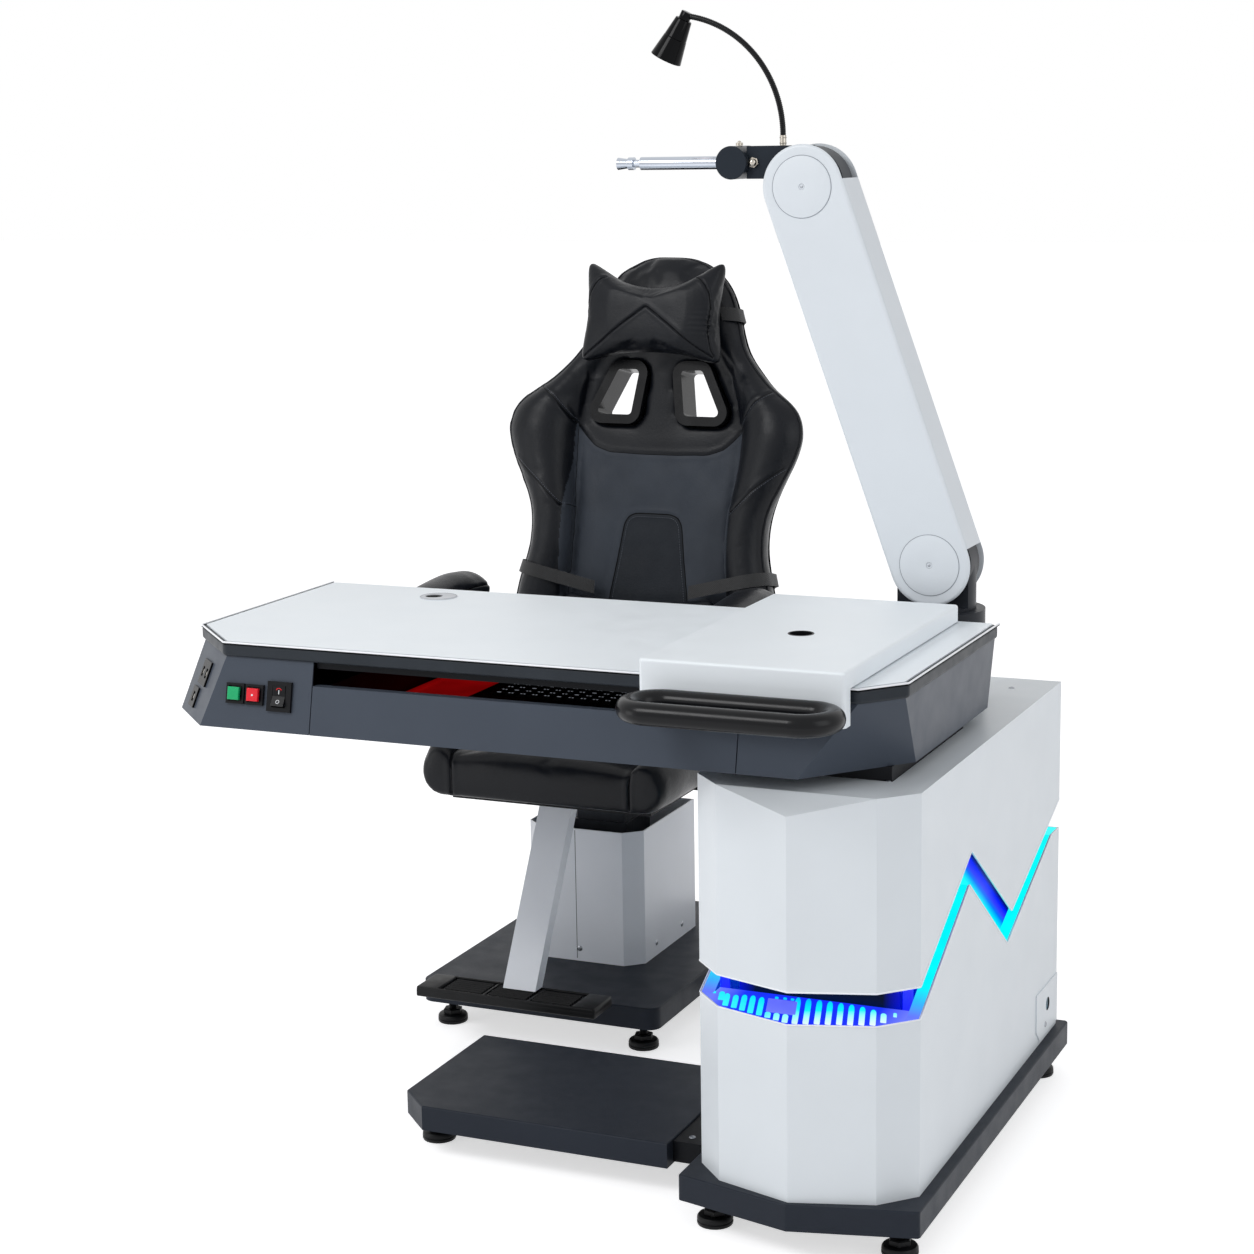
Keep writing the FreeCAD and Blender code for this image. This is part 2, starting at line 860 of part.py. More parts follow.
def panel_frame(corner_from, corner_to):
    """Origin, along, up and outward directions of one of the body's sloping faces."""
    low = body_outline(body_low)
    high = body_outline(board_low)
    start = vec(low[corner_from][0], low[corner_from][1], body_low)
    end = vec(low[corner_to][0], low[corner_to][1], body_low)
    above = vec(high[corner_to][0], high[corner_to][1], board_low)
    along = (end - start).normalize()
    outward = along.cross(above - end).normalize()
    up = outward.cross(along)
    return start, end, along, up, outward


def on_front_panel(shape, x, z):
    """Place a piece drawn with x along, y up and z outward on the front face."""
    start, end, along, up, outward = panel_frame(0, 1)
    height = (z - body_low) / up.z
    origin = vec(x, start.y, body_low) + up * height
    rotation = FreeCAD.Rotation(along, up, outward, "XYZ")
    return shape.transformGeometry(FreeCAD.Placement(origin, rotation).toMatrix())


def on_left_facet(shape, shift, rise):
    """Place a piece on the left front facet, from the middle of the face."""
    start, end, along, up, outward = panel_frame(5, 0)
    middle = (start + end) * 0.5 + up * (body_height / 2 / up.z)
    origin = middle + along * shift + up * rise
    rotation = FreeCAD.Rotation(along, up, outward, "XYZ")
    return shape.transformGeometry(FreeCAD.Placement(origin, rotation).toMatrix())


def square(size_x, size_y, low, high):
    return box((-size_x / 2, size_x / 2), (-size_y / 2, size_y / 2), (low, high))


def button_bezel():
    """A square frame round a button, with its barrel behind the panel."""
    frame = square(bezel_size, bezel_size, 0.0, bezel_stand)
    well = square(bezel_size - 2 * bezel_wall, bezel_size - 2 * bezel_wall,
                  0.0, bezel_stand + overrun)
    barrel = cylinder_z(barrel_radius, 0.0, 0.0, -barrel_depth, 0.0)
    flange = square(bezel_size, bezel_size, 0.0, slide_gap)
    bore = cylinder_z(barrel_radius - bezel_wall, 0.0, 0.0, -barrel_depth + bezel_wall,
                      slide_gap + overrun)
    return join([frame.cut(well), flange, barrel]).cut(bore)


def button_cap():
    """The pressed cap with the stem that slides in the barrel."""
    foot_z = slide_gap + button_travel + slide_gap
    cap = square(button_size, button_size, foot_z, foot_z + button_stand - bezel_stand)
    cap = blend_edges(cap, slide_gap, lies_at(foot_z + button_stand - bezel_stand))
    stem_radius = barrel_radius - bezel_wall - running_gap
    stem = cylinder_z(stem_radius, 0.0, 0.0, -barrel_depth + bezel_wall + button_travel + slide_gap,
                      foot_z)
    return join([cap, stem])


def rocker_plate():
    plate = square(rocker_plate_width, rocker_plate_height, 0.0, bezel_stand)
    hole = square(2 * (rocker_half_width + rocker_hole_gap),
                  2 * (rocker_half_height + rocker_hole_gap), -overrun, bezel_stand + overrun)
    can = square(rocker_plate_width - 2 * bezel_wall, rocker_plate_height - 2 * bezel_wall,
                 -barrel_depth, 0.0)
    well = square(2 * (rocker_half_width + rocker_hole_gap),
                  2 * (rocker_half_height + rocker_hole_gap), -barrel_depth + bezel_wall, 0.0)
    pin_hole = cylinder_x(rocker_pin_radius + running_gap, 0.0, 0.0,
                          -rocker_half_width - rocker_hole_gap - bezel_wall / 2,
                          rocker_half_width + rocker_hole_gap + bezel_wall / 2)
    return join([plate.cut(hole), can.cut(well)]).cut(pin_hole)


def rocker_cap():
    """A boat-shaped rocker on a cross pin, drawn pressed at its upper end."""
    top = bezel_stand + rocker_stand
    middle = bezel_stand
    outline = [(-rocker_half_height, -rocker_stand), (rocker_half_height, -rocker_stand),
               (rocker_half_height, top), (0.0, middle), (-rocker_half_height, top)]
    cap = profile_x(outline, -rocker_half_width, rocker_half_width)
    pin = cylinder_x(rocker_pin_radius, 0.0, 0.0,
                     -rocker_half_width - rocker_hole_gap - bezel_wall / 4,
                     rocker_half_width + rocker_hole_gap + bezel_wall / 4)
    return turn(join([cap, pin]), vec(1, 0, 0), -rocker_tilt, vec(0, 0, 0))


def socket_body(width, height, holes):
    plate = square(width, height, 0.0, socket_stand)
    can = square(width - 2 * socket_stand, height - 2 * socket_stand, -socket_box_depth, 0.0)
    piece = join([plate, can])
    for x, y in holes:
        hole = square(socket_hole, socket_hole_tall, socket_stand - socket_hole_depth,
                      socket_stand + overrun)
        piece = piece.cut(hole.translated(vec(x, y, 0)))
    return piece


def build_sockets():
    spread = double_socket_width / 4
    double = socket_body(double_socket_width, double_socket_height, [(-spread, 0), (spread, 0)])
    single = socket_body(single_socket_width, single_socket_height, [(0.0, 0.0)])
    return [on_left_facet(double, double_socket_shift, double_socket_rise),
            on_left_facet(single, single_socket_shift, single_socket_rise)]


def socket_cutters():
    cans = []
    sizes = [(double_socket_width, double_socket_height, double_socket_shift, double_socket_rise),
             (single_socket_width, single_socket_height, single_socket_shift, single_socket_rise)]
    for width, height, shift, rise in sizes:
        can = square(width - 2 * socket_stand, height - 2 * socket_stand,
                     -socket_box_depth - overrun, overrun)
        cans.append(on_left_facet(can, shift, rise))
    return cans


def control_cutters():
    barrel = cylinder_z(barrel_radius, 0.0, 0.0, -barrel_depth, overrun)
    can = square(rocker_plate_width - 2 * bezel_wall, rocker_plate_height - 2 * bezel_wall,
                 -barrel_depth, overrun)
    return [on_front_panel(barrel, green_x, button_height_z),
            on_front_panel(barrel, red_x, button_height_z),
            on_front_panel(can, rocker_x, button_height_z)]


def build_table():
    outer = body_slice(body_low, board_low)
    hollow = body_slice(body_low + sheet, board_low, sheet)
    front_cut = box((drawer_left, drawer_right), (0.0, table_front + drawer_front_thickness),
                    (body_low - overrun, board_low + overrun))
    body = outer.cut(hollow).cut([front_cut] + socket_cutters() + control_cutters())

    outline = band_outline()
    band = prism(outline, board_low, table_height - top_sheet)
    band = blend_edges(band, band_corner, is_upright)
    band = blend_edges(band, band_rounding, lies_at(board_low))
    band = blend_edges(band, band_rounding, lies_at(table_height - top_sheet))
    band = band.cut(prism(inset(outline, band_width), board_low - overrun,
                          table_height + overrun))
    board = prism(inset(outline, band_width), board_low, table_height - top_sheet)
    skin = prism(inset(outline, band_rounding + top_sheet_inset / 2), table_height - top_sheet,
                 table_height)
    skin = blend_edges(skin, band_rounding, is_upright)
    hole = cylinder_z(grommet_neck_radius + seat_gap, grommet_x, grommet_y,
                      board_low - overrun, table_height + overrun)
    top = join([board, skin]).cut(hole)

    rim = cylinder_z(grommet_radius, grommet_x, grommet_y, table_height,
                     table_height + grommet_rim)
    neck = cylinder_z(grommet_neck_radius, grommet_x, grommet_y, board_low, table_height)
    bore = cylinder_z(grommet_bore_radius, grommet_x - grommet_bore_offset, grommet_y,
                      board_low - overrun, table_height + overrun)
    grommet = join([rim, neck]).cut(bore)

    bezels = [on_front_panel(button_bezel(), green_x, button_height_z),
              on_front_panel(button_bezel(), red_x, button_height_z),
              on_front_panel(rocker_plate(), rocker_x, button_height_z)]
    return {"table_body": body, "edge_band": band, "tabletop": top, "table_grommet": grommet,
            "control_bezels": group(bezels), "socket_outlets": group(build_sockets()),
            "green_button": on_front_panel(button_cap(), green_x, button_height_z),
            "red_button": on_front_panel(button_cap(), red_x, button_height_z),
            "power_rocker": on_front_panel(rocker_cap(), rocker_x, button_height_z)}


# Drawer and rails

drawer_box_left = drawer_left + drawer_side_gap
drawer_box_right = drawer_right - drawer_side_gap
drawer_box_front = table_front + drawer_front_thickness - 2 * slide_gap
drawer_box_low = body_low + sheet + drawer_floor_gap


def build_drawer():
    full = body_slice(body_low, drawer_front_top)
    back_limit = drawer_box_front
    front = full.common(box((drawer_left + drawer_seam, drawer_right - drawer_seam),
                            (0.0, back_limit), (body_low, drawer_front_top)))
    tray = box((drawer_box_left, drawer_box_right),
               (drawer_box_front, drawer_box_front + drawer_depth),
               (drawer_box_low, drawer_box_low + drawer_height))
    room = box((drawer_box_left + drawer_wall, drawer_box_right - drawer_wall),
               (drawer_box_front + drawer_wall, drawer_box_front + drawer_depth - drawer_wall),
               (drawer_box_low + drawer_wall, drawer_box_low + drawer_height + overrun))
    floor = drawer_box_low + drawer_wall
    mat = box((mat_left, mat_right), (content_front, content_front + content_depth),
              (floor, floor + mat_thickness))
    mat = mat.cut(box((mat_left + mat_rim, mat_right - mat_rim),
                      (content_front + mat_rim, content_front + content_depth - mat_rim),
                      (floor + mat_thickness - mat_recess, floor + mat_thickness + overrun)))
    pad_left = mat_right + keypad_gap
    pad = box((pad_left, keypad_right), (content_front, content_front + content_depth),
              (floor, floor + keypad_thickness))
    keys = []
    middle_x = (pad_left + keypad_right) / 2
    middle_y = content_front + content_depth / 2
    for column in range(key_columns):
        for row in range(key_rows):
            x = middle_x + key_pitch * (column - (key_columns - 1) / 2)
            y = middle_y + key_pitch * (row - (key_rows - 1) / 2)
            keys.append(box((x - key_size / 2, x + key_size / 2),
                            (y - key_size / 2, y + key_size / 2),
                            (floor + keypad_thickness, floor + keypad_thickness + key_height)))
    return {"drawer_front": front, "drawer_box": tray.cut(room), "drawer_mat": mat,
            "drawer_keypad": join([pad] + keys)}


def build_rails():
    middle = drawer_box_low + drawer_height / 2
    rails = []
    for wall_x, box_x in ((drawer_left, drawer_box_left), (drawer_right, drawer_box_right)):
        low, high = sorted((wall_x, box_x))
        if wall_x < box_x:
            high -= rail_gap
        else:
            low += rail_gap
        web = (low, low + rail_thickness) if wall_x < box_x else (high - rail_thickness, high)
        y = (drawer_box_front + 2 * slide_gap, drawer_box_front + drawer_depth)
        upright = box(web, y, (body_low + sheet, middle + rail_height / 2))
        rails.append(upright)
        rails.append(box((low, high), y, (middle - rail_thickness / 2, middle + rail_thickness / 2)))
    bar_y = (guide_bar_front, guide_bar_front + guide_bar)
    bar = box((drawer_left + guide_bar_margin, drawer_right - guide_bar_margin), bar_y,
              (board_low - guide_bar, board_low))
    left_rail = join(rails[:2])
    right_rail = join(rails[2:])
    return {"table_rails": group([left_rail, right_rail, bar])}


# Instrument tray

def build_tray():
    low = table_height + tray_float
    high = table_height + tray_height
    outer = box((tray_left, tray_right), (tray_front, tray_back), (low, high))
    outer = blend_edges(outer, tray_corner, is_upright)
    outer = blend_edges(outer, tray_edge, lies_at(high))
    room = box((tray_left + sheet, tray_right - sheet), (tray_front + sheet, tray_back - sheet),
               (low - overrun, high - sheet))
    apron = box((tray_left, tray_right), (tray_front, tray_front + apron_return),
                (apron_low_z, low + tray_corner))
    apron = blend_edges(apron, tray_corner, lambda edge: is_upright(edge)
                        and edge.BoundBox.YMax < tray_front + sheet)
    apron = apron.cut(box((tray_left + sheet, tray_right - sheet),
                          (tray_front + sheet, tray_front + apron_return + overrun),
                          (apron_low_z - overrun, low + tray_corner + overrun)))
    apron = apron.cut(box((tray_left - overrun, tray_right + overrun),
                          (tray_front + tray_corner, tray_front + apron_return + overrun),
                          (low, low + tray_corner + overrun)))
    hole = cylinder_z(tray_hole_radius, tray_hole_x, tray_hole_y, low, high + overrun)
    tray = join([outer.cut(room), apron]).cut(hole)

    skids = []
    for y in (tray_front + skid_margin, tray_back - skid_margin):
        skids.append(box((tray_left + sheet + slide_gap, tray_right - sheet - slide_gap),
                         (y - skid_width / 2, y + skid_width / 2),
                         (table_height, high - sheet)))
    shoe_left = tray_left + tray_corner
    shoe_x = (shoe_left, shoe_left + shoe_length)
    shoe_low = board_low - guide_bar - seat_gap - shoe_wall
    shoe = box(shoe_x, (guide_bar_front - seat_gap - shoe_wall,
                        guide_bar_front + guide_bar + seat_gap + shoe_wall),
               (shoe_low, board_low - 2 * seat_gap))
    channel = box((shoe_x[0] - overrun, shoe_x[1] + overrun),
                  (guide_bar_front - seat_gap, guide_bar_front + guide_bar + seat_gap),
                  (shoe_low + shoe_wall, board_low + overrun))
    reach = box(shoe_x, (tray_front + sheet, guide_bar_front), (shoe_low, shoe_low + shoe_reach))
    shoe = join([shoe.cut(channel), reach.cut(channel)])

    rear_y = tray_front - handle_radius
    front_y = rear_y - handle_reach
    bend = handle_reach / 2
    half = handle_length / 2 - handle_radius - bend
    pieces = []
    for y in (rear_y, front_y):
        pieces.append(cylinder_x(handle_radius, y, handle_z, handle_x - half, handle_x + half))
    for side in (-1, 1):
        centre = vec(handle_x + side * half, (rear_y + front_y) / 2, handle_z)
        ring = Part.makeCircle(handle_radius, centre + vec(0, bend, 0), vec(1, 0, 0))
        disc = Part.Face(Part.Wire(ring))
        pieces.append(disc.revolve(centre, vec(0, 0, 1), -180 * side))
    for side in (-1, 1):
        pieces.append(cylinder_y(handle_boss_radius, handle_x + side * handle_boss_spread,
                                 handle_z, rear_y, tray_front))
    return {"instrument_tray": tray, "tray_glides": group(skids + [shoe]),
            "tray_handle": join(pieces)}


# Arm

pivot_low = vec(post_x, post_y, pivot_low_z)
pivot_high = pivot_low + vec(-arm_length * math.sin(math.radians(arm_lean)), 0,
                             arm_length * math.cos(math.radians(arm_lean)))
tongue = (post_y - tongue_thickness / 2, post_y + tongue_thickness / 2)
arm_faces = (post_y - arm_thickness / 2, post_y + arm_thickness / 2)
plates = (arm_faces[0] + arm_wall, arm_faces[1] - arm_wall)
barrel_x = pivot_high.x - knuckle_reach
barrel_z = pivot_high.z + knuckle_rise


def build_post():
    sleeve = cylinder_z(bearing_radius, post_x, post_y, column_height - sheet, bearing_top)
    bore = cylinder_z(spindle_radius + running_gap, post_x, post_y, spindle_foot - seat_gap,
                      bearing_top + overrun)
    shoulder_top = bearing_top + seat_gap + post_shoulder
    spindle = cylinder_z(spindle_radius, post_x, post_y, spindle_foot, bearing_top + seat_gap)
    shoulder = cylinder_z(post_radius, post_x, post_y, bearing_top + seat_gap, shoulder_top)
    stalk = cylinder_z(post_radius, post_x, post_y, shoulder_top, pivot_low.z)
    slab = box((post_x - post_radius, post_x + post_radius), tongue, (shoulder_top, pivot_low.z))
    hub = cylinder_y(post_radius, post_x, pivot_low.z, tongue[0], tongue[1])
    pin = cylinder_y(pin_radius, post_x, pivot_low.z, plates[0] - arm_wall + running_gap,
                     plates[1] + arm_wall - running_gap)
    side_pin = cylinder_y(rod_pin_radius, post_x + rod_offset, pivot_low.z, tongue[1],
                          tongue[1] + rod_side_gap + rod_thickness)
    post = join([spindle, shoulder, stalk.common(slab), hub, pin, side_pin])
    return {"post_bearing": sleeve.cut(bore), "arm_post": post}


def stadium(radius, low, high):
    """The arm's outline at a radius, along its own length, upright."""
    side = box((post_x - radius, post_x + radius), (low, high),
               (pivot_low.z, pivot_low.z + arm_length))
    ends = [cylinder_y(radius, post_x, z, low, high)
            for z in (pivot_low.z, pivot_low.z + arm_length)]
    return join([side] + ends)


def build_arm():
    body = stadium(arm_half_width, arm_faces[0], arm_faces[1])
    rims = [edge for edge in body.Edges
            if abs(edge.BoundBox.YMax - edge.BoundBox.YMin) < running_gap]
    body = body.makeFillet(arm_rounding, rims)
    body = body.cut(stadium(arm_half_width - arm_wall, plates[0], plates[1]))
    left = post_x - arm_half_width - overrun
    right = post_x + arm_half_width + overrun
    foot_z = pivot_low.z - arm_half_width - overrun
    head_z = pivot_low.z + arm_length
    windows = [box((left, post_x), plates, (foot_z, pivot_low.z + arm_low_window)),
               box((post_x, right), plates, (foot_z, pivot_low.z + arm_rounding)),
               box((left, right), plates, (head_z + arm_high_window,
                                           head_z + arm_half_width + overrun))]
    for z in (pivot_low.z, head_z):
        windows.append(cylinder_y(pin_radius + running_gap, post_x, z, arm_faces[0] - overrun,
                                  arm_faces[1] + overrun))
    shell = body.cut(windows)
    covers = []
    for z in (pivot_low.z, head_z):
        for face, outward in ((arm_faces[0], -1), (arm_faces[1], 1)):
            span = sorted((face, face + outward * cover_thickness))
            disc = cylinder_y(cover_radius, post_x, z, span[0], span[1])
            outer_face = face + outward * cover_thickness
            head = sorted((outer_face, outer_face + outward * cover_screw_height))
            covers.append(join([disc, cylinder_y(cover_screw_radius, post_x, z, head[0], head[1])]))
    lean = [turn(shape, vec(0, 1, 0), -arm_lean, pivot_low) for shape in [shell] + covers]

    eye_y = (tongue[1] + rod_side_gap / 2, tongue[1] + rod_side_gap / 2 + rod_thickness)
    offset = vec(rod_offset, 0, 0)
    start, end = pivot_low + offset, pivot_high + offset
    bar = box((start.x - rod_half_width, start.x + rod_half_width), eye_y,
              (start.z, start.z + arm_length))
    bar = turn(bar, vec(0, 1, 0), -arm_lean, start)
    eyes = [cylinder_y(rod_eye_radius, p.x, p.z, eye_y[0], eye_y[1]) for p in (start, end)]
    bores = [cylinder_y(rod_pin_radius + running_gap, p.x, p.z, eye_y[0] - overrun,
                        eye_y[1] + overrun) for p in (start, end)]
    rod = join([bar] + eyes).cut(bores)
    return {"arm_shell": lean[0], "pivot_covers": group(lean[1:]), "levelling_rod": rod}


def build_head():
    hub = cylinder_y(post_radius, pivot_high.x, pivot_high.z, tongue[0], tongue[1])
    neck = box((barrel_x, pivot_high.x), tongue,
               (barrel_z - neck_half_height, barrel_z + neck_half_height))
    saddle = cylinder_y(knuckle_radius + seat_gap, barrel_x, barrel_z, tongue[0] - overrun,
                        tongue[1] + overrun)
    beyond = box((barrel_x - overrun, barrel_x + knuckle_radius * saddle_share),
                 (tongue[0] - overrun, tongue[1] + overrun),
                 (barrel_z - knuckle_radius - overrun, barrel_z + knuckle_radius + overrun))
    pin = cylinder_y(pin_radius, pivot_high.x, pivot_high.z, plates[0] - arm_wall + running_gap,
                     plates[1] + arm_wall - running_gap)
    side_pin = cylinder_y(rod_pin_radius, pivot_high.x + rod_offset, pivot_high.z, tongue[1],
                          tongue[1] + rod_side_gap + rod_thickness)
    neck_top = barrel_z + neck_half_height
    socket = cylinder_z(ferrule_stem_radius + running_gap, pivot_high.x + lamp_offset_x, post_y,
                        neck_top - ferrule_stem_length - seat_gap, neck_top + overrun)
    bracket = join([hub, neck.cut([saddle, beyond]), pin, side_pin]).cut(socket)

    low = post_y - knuckle_length / 2
    barrel = cylinder_y(knuckle_radius, barrel_x, barrel_z, low, low + knuckle_length)
    barrel = barrel.makeFillet(knuckle_edge, [barrel.Edges[0], barrel.Edges[2]])
    shaft_bore = cylinder_x(shaft_stem_radius + running_gap, post_y, barrel_z,
                            barrel_x - knuckle_radius - overrun, barrel_x + shaft_socket)
    clamp_x = barrel_x
    stem_low = barrel_z + shaft_stem_radius + slide_gap
    clamp_bore = cylinder_z(clamp_stem_radius + running_gap, clamp_x, post_y,
                            barrel_z, barrel_z + knuckle_radius + overrun)
    barrel = barrel.cut([shaft_bore, clamp_bore])

    tip = shaft_length
    stem = shaft_socket + knuckle_radius
    outline = [(0.0, 0.0), (shaft_stem_radius, 0.0), (shaft_stem_radius, stem),
               (shaft_radius, stem), (shaft_radius, tip),
               (shaft_neck_radius, tip), (shaft_neck_radius, tip + shaft_neck_length)]
    collar = tip + shaft_neck_length
    outline += [(shaft_collar_radius, collar), (shaft_collar_radius, collar + shaft_collar_length),
                (shaft_nose_radius, collar + shaft_collar_length),
                (shaft_nose_end, collar + shaft_collar_length + shaft_nose_length),
                (0.0, collar + shaft_collar_length + shaft_nose_length)]
    shaft = turned(outline)
    start = vec(barrel_x + shaft_socket - seat_gap, post_y, barrel_z)
    shaft.Placement = FreeCAD.Placement(start, FreeCAD.Rotation(vec(0, 0, 1), vec(-1, 0, 0)))

    top = barrel_z + knuckle_radius + seat_gap
    thread = cylinder_z(clamp_stem_radius, clamp_x, post_y, stem_low, top)
    head = cylinder_z(clamp_head_radius, clamp_x, post_y, top, top + clamp_head_height)
    knob = Part.makeSphere(clamp_knob_radius, vec(clamp_x, post_y, top + clamp_head_height))
    return {"head_bracket": bracket, "knuckle_barrel": barrel, "instrument_rod": shaft,
            "clamp_screw": join([thread, head, knob])}


def build_lamp():
    lamp_x = pivot_high.x + lamp_offset_x
    neck_top = barrel_z + neck_half_height
    foot_z = neck_top + seat_gap
    ferrule = join([cylinder_z(ferrule_radius, lamp_x, post_y, foot_z, foot_z + ferrule_length),
                    cylinder_z(ferrule_stem_radius, lamp_x, post_y, neck_top - ferrule_stem_length,
                               foot_z)])
    tube_foot = foot_z + ferrule_length
    centre = vec(lamp_x - gooseneck_bend, post_y, tube_foot)
    disc = Part.Face(Part.Wire(Part.makeCircle(gooseneck_radius, vec(lamp_x, post_y, tube_foot),
                                               vec(0, 0, 1))))
    tube = disc.revolve(centre, vec(0, -1, 0), gooseneck_turn)
    turn_angle = math.radians(gooseneck_turn)
    end = centre + vec(gooseneck_bend * math.cos(turn_angle), 0,
                       gooseneck_bend * math.sin(turn_angle))
    wall = lamp_wall
    neck = lamp_cap_length
    body = neck + lamp_body_length
    mouth = body + lamp_mouth_length
    outside = [(0.0, 0.0), (lamp_cap_radius, 0.0), (lamp_cap_radius, neck),
               (lamp_neck_radius, neck), (lamp_body_radius, body),
               (lamp_mouth_radius, mouth)]
    inside = [(lamp_mouth_radius - wall, mouth), (lamp_body_radius - wall, body),
              (lamp_neck_radius - wall, neck + wall), (0.0, neck + wall)]
    head = turned(outside + inside)
    lens_low = mouth - lamp_lens_recess - lamp_lens_thickness
    spread = (lamp_mouth_radius - lamp_body_radius) / lamp_mouth_length
    lens_radius = lamp_mouth_radius - wall - spread * (mouth - lens_low) - seat_gap
    lens = cylinder_z(lens_radius, 0.0, 0.0, lens_low, lens_low + lamp_lens_thickness)
    axis = vec(-math.sin(math.radians(lamp_tilt)), 0, -math.cos(math.radians(lamp_tilt)))
    heading = vec(-math.sin(turn_angle), 0, math.cos(turn_angle))
    top = end + heading * (lamp_cap_radius + seat_gap) - axis * (neck / 2)
    place = FreeCAD.Placement(top, FreeCAD.Rotation(vec(0, 0, 1), axis))
    head.Placement = place
    lens.Placement = place
    plug = Part.makeCylinder(gooseneck_radius, lamp_cap_radius + 2 * seat_gap,
                             end, heading)
    tube = join([tube, plug]).cut(head)
    tube = max(tube.Solids, key=lambda solid: solid.Volume)
    return {"lamp_ferrule": ferrule, "lamp_gooseneck": tube, "lamp_head": head,
            "lamp_lens": lens}


# Chair

def build_chair_base():
    cover = prism(lift_plan(), plate_top, lift_cover_top)
    cover = cover.cut(prism(lift_plan(sheet), plate_top - overrun, lift_cover_top + overrun))

    def square_tube(half, wall, low, high):
        outer = box((chair_x - half, chair_x + half), (lift_y - half, lift_y + half), (low, high))
        room = half - wall
        return outer.cut(box((chair_x - room, chair_x + room), (lift_y - room, lift_y + room),
                             (low - overrun, high + overrun)))

    outer_tube = square_tube(tube_half, tube_wall, plate_top, tube_top)
    inner_tube = square_tube(tube_half - tube_wall - lift_running_gap, tube_wall, inner_tube_foot,
                             seat_low_z - pan_thickness)
    motor = cylinder_z(motor_radius, chair_x, motor_y, plate_top, plate_top + motor_height)
    return {"chair_column_housing": cover, "lift_column": group([outer_tube, motor]),
            "lift_inner_tube": inner_tube}


def closed_wire(start, steps):
    """A closed wire from (end,) lines and (middle, end) arcs."""
    edges = []
    here = start
    for step in steps:
        if len(step) == 1:
            edges.append(Part.makeLine(here, step[0]))
        else:
            edges.append(Part.Arc(here, step[0], step[1]).toShape())
        here = step[-1]
    return Part.Wire(edges)


def loft(wires):
    return Part.makeLoft(wires, True, False)


def seat_section(y, half, low, top):
    """Bolsters at both sides of a crowned panel, with the sides drawn in below."""
    panel = seat_panel_half * half / seat_half_width
    shoulder = top - seat_bolster_rise
    foot_x = half - seat_draw_in
    ridge = (half + panel) / 2

    def at(across, z):
        return vec(chair_x + across, y, z)

    middle = (low + shoulder) / 2
    shoulder_x = half - seat_shoulder_draw
    return closed_wire(at(-foot_x, low), [
        (at(foot_x, low),),
        (at(half, middle), at(shoulder_x, shoulder)),
        (at(ridge, top), at(panel, shoulder)),
        (at(0, shoulder + seat_crown), at(-panel, shoulder)),
        (at(-ridge, top), at(-shoulder_x, shoulder)),
        (at(-half, middle), at(-foot_x, low))])


def build_seat():
    wires = []
    for along, width, lift, drop in seat_shares:
        y = seat_front + along * (seat_back - seat_front)
        low = seat_low_z - seat_underlap + lift * seat_foot_round
        top = seat_low_z + seat_thickness - drop * seat_front_drop
        wires.append(seat_section(y, seat_half_width * width, low, top))
    under = box((chair_x - seat_half_width - overrun, chair_x + seat_half_width + overrun),
                (seat_front - overrun, seat_back + overrun),
                (seat_low_z - seat_thickness, seat_low_z))
    cushion = loft(wires).cut(under)
    pan = box((chair_x - seat_half_width + pan_margin, chair_x + seat_half_width - pan_margin),
              (seat_front + pan_margin, seat_back - pan_margin),
              (seat_low_z - pan_thickness, seat_low_z))
    return {"seat_cushion": cushion, "seat_pan": pan}


def build_footrest():
    high_z = seat_low_z - pan_thickness
    slope = (leg_high_y - leg_low_y) / (high_z - footrest_top)
    half = leg_depth * math.hypot(1, slope) / 2

    def tube(reach, wall):
        low_z = footrest_top - reach
        top_z = high_z + reach
        low_y = leg_low_y - reach * slope
        top_y = leg_high_y + reach * slope
        side = half - wall * math.hypot(1, slope)
        corners = [(low_y - side, low_z), (low_y + side, low_z),
                   (top_y + side, top_z), (top_y - side, top_z)]
        across = leg_width / 2 - wall
        return profile_x(corners, chair_x + leg_shift - across, chair_x + leg_shift + across)

    leg = tube(0.0, 0.0).cut(tube(overrun, leg_wall))
    plate = box((chair_x - footrest_half_width, chair_x + footrest_half_width),
                (footrest_front, footrest_back),
                (footrest_top - footrest_thickness, footrest_top))
    plate = blend_edges(plate, footrest_corner, is_upright)
    plate = blend_edges(plate, footrest_edge, lies_at(footrest_top))
    ribs = []
    room = footrest_back - footrest_front - 2 * rib_margin
    inner = leg_width / 2 + rib_margin / 2
    outer = footrest_half_width - rib_margin
    for i in range(rib_count):
        y = footrest_front + rib_margin + room * i / (rib_count - 1)
        for low, high in ((-outer, leg_shift - inner), (leg_shift + inner, outer)):
            ribs.append(box((chair_x + low, chair_x + high), (y - rib_width / 2, y + rib_width / 2),
                            (footrest_top - rib_height, footrest_top + rib_height)))
    return {"footrest_leg": leg, "footrest_plate": join([plate] + ribs)}


def armrest_pad():
    wires = []
    for along, width, drop, fullness in armrest_shares:
        y = armrest_front + along * (armrest_back - armrest_front)
        half = armrest_half_width * width
        top = armrest_top - armrest_arch * drop
        low = top - armrest_thickness * fullness
        brow = top - armrest_crown * fullness
        foot_x = half - armrest_draw_in
        brow_x = half - armrest_draw_in / 2
        wires.append(closed_wire(vec(-foot_x, y, low), [
            (vec(foot_x, y, low),),
            (vec(half, y, (low + brow) / 2), vec(brow_x, y, brow)),
            (vec(0, y, top), vec(-brow_x, y, brow)),
            (vec(-half, y, (low + brow) / 2), vec(-foot_x, y, low))]))
    return loft(wires)


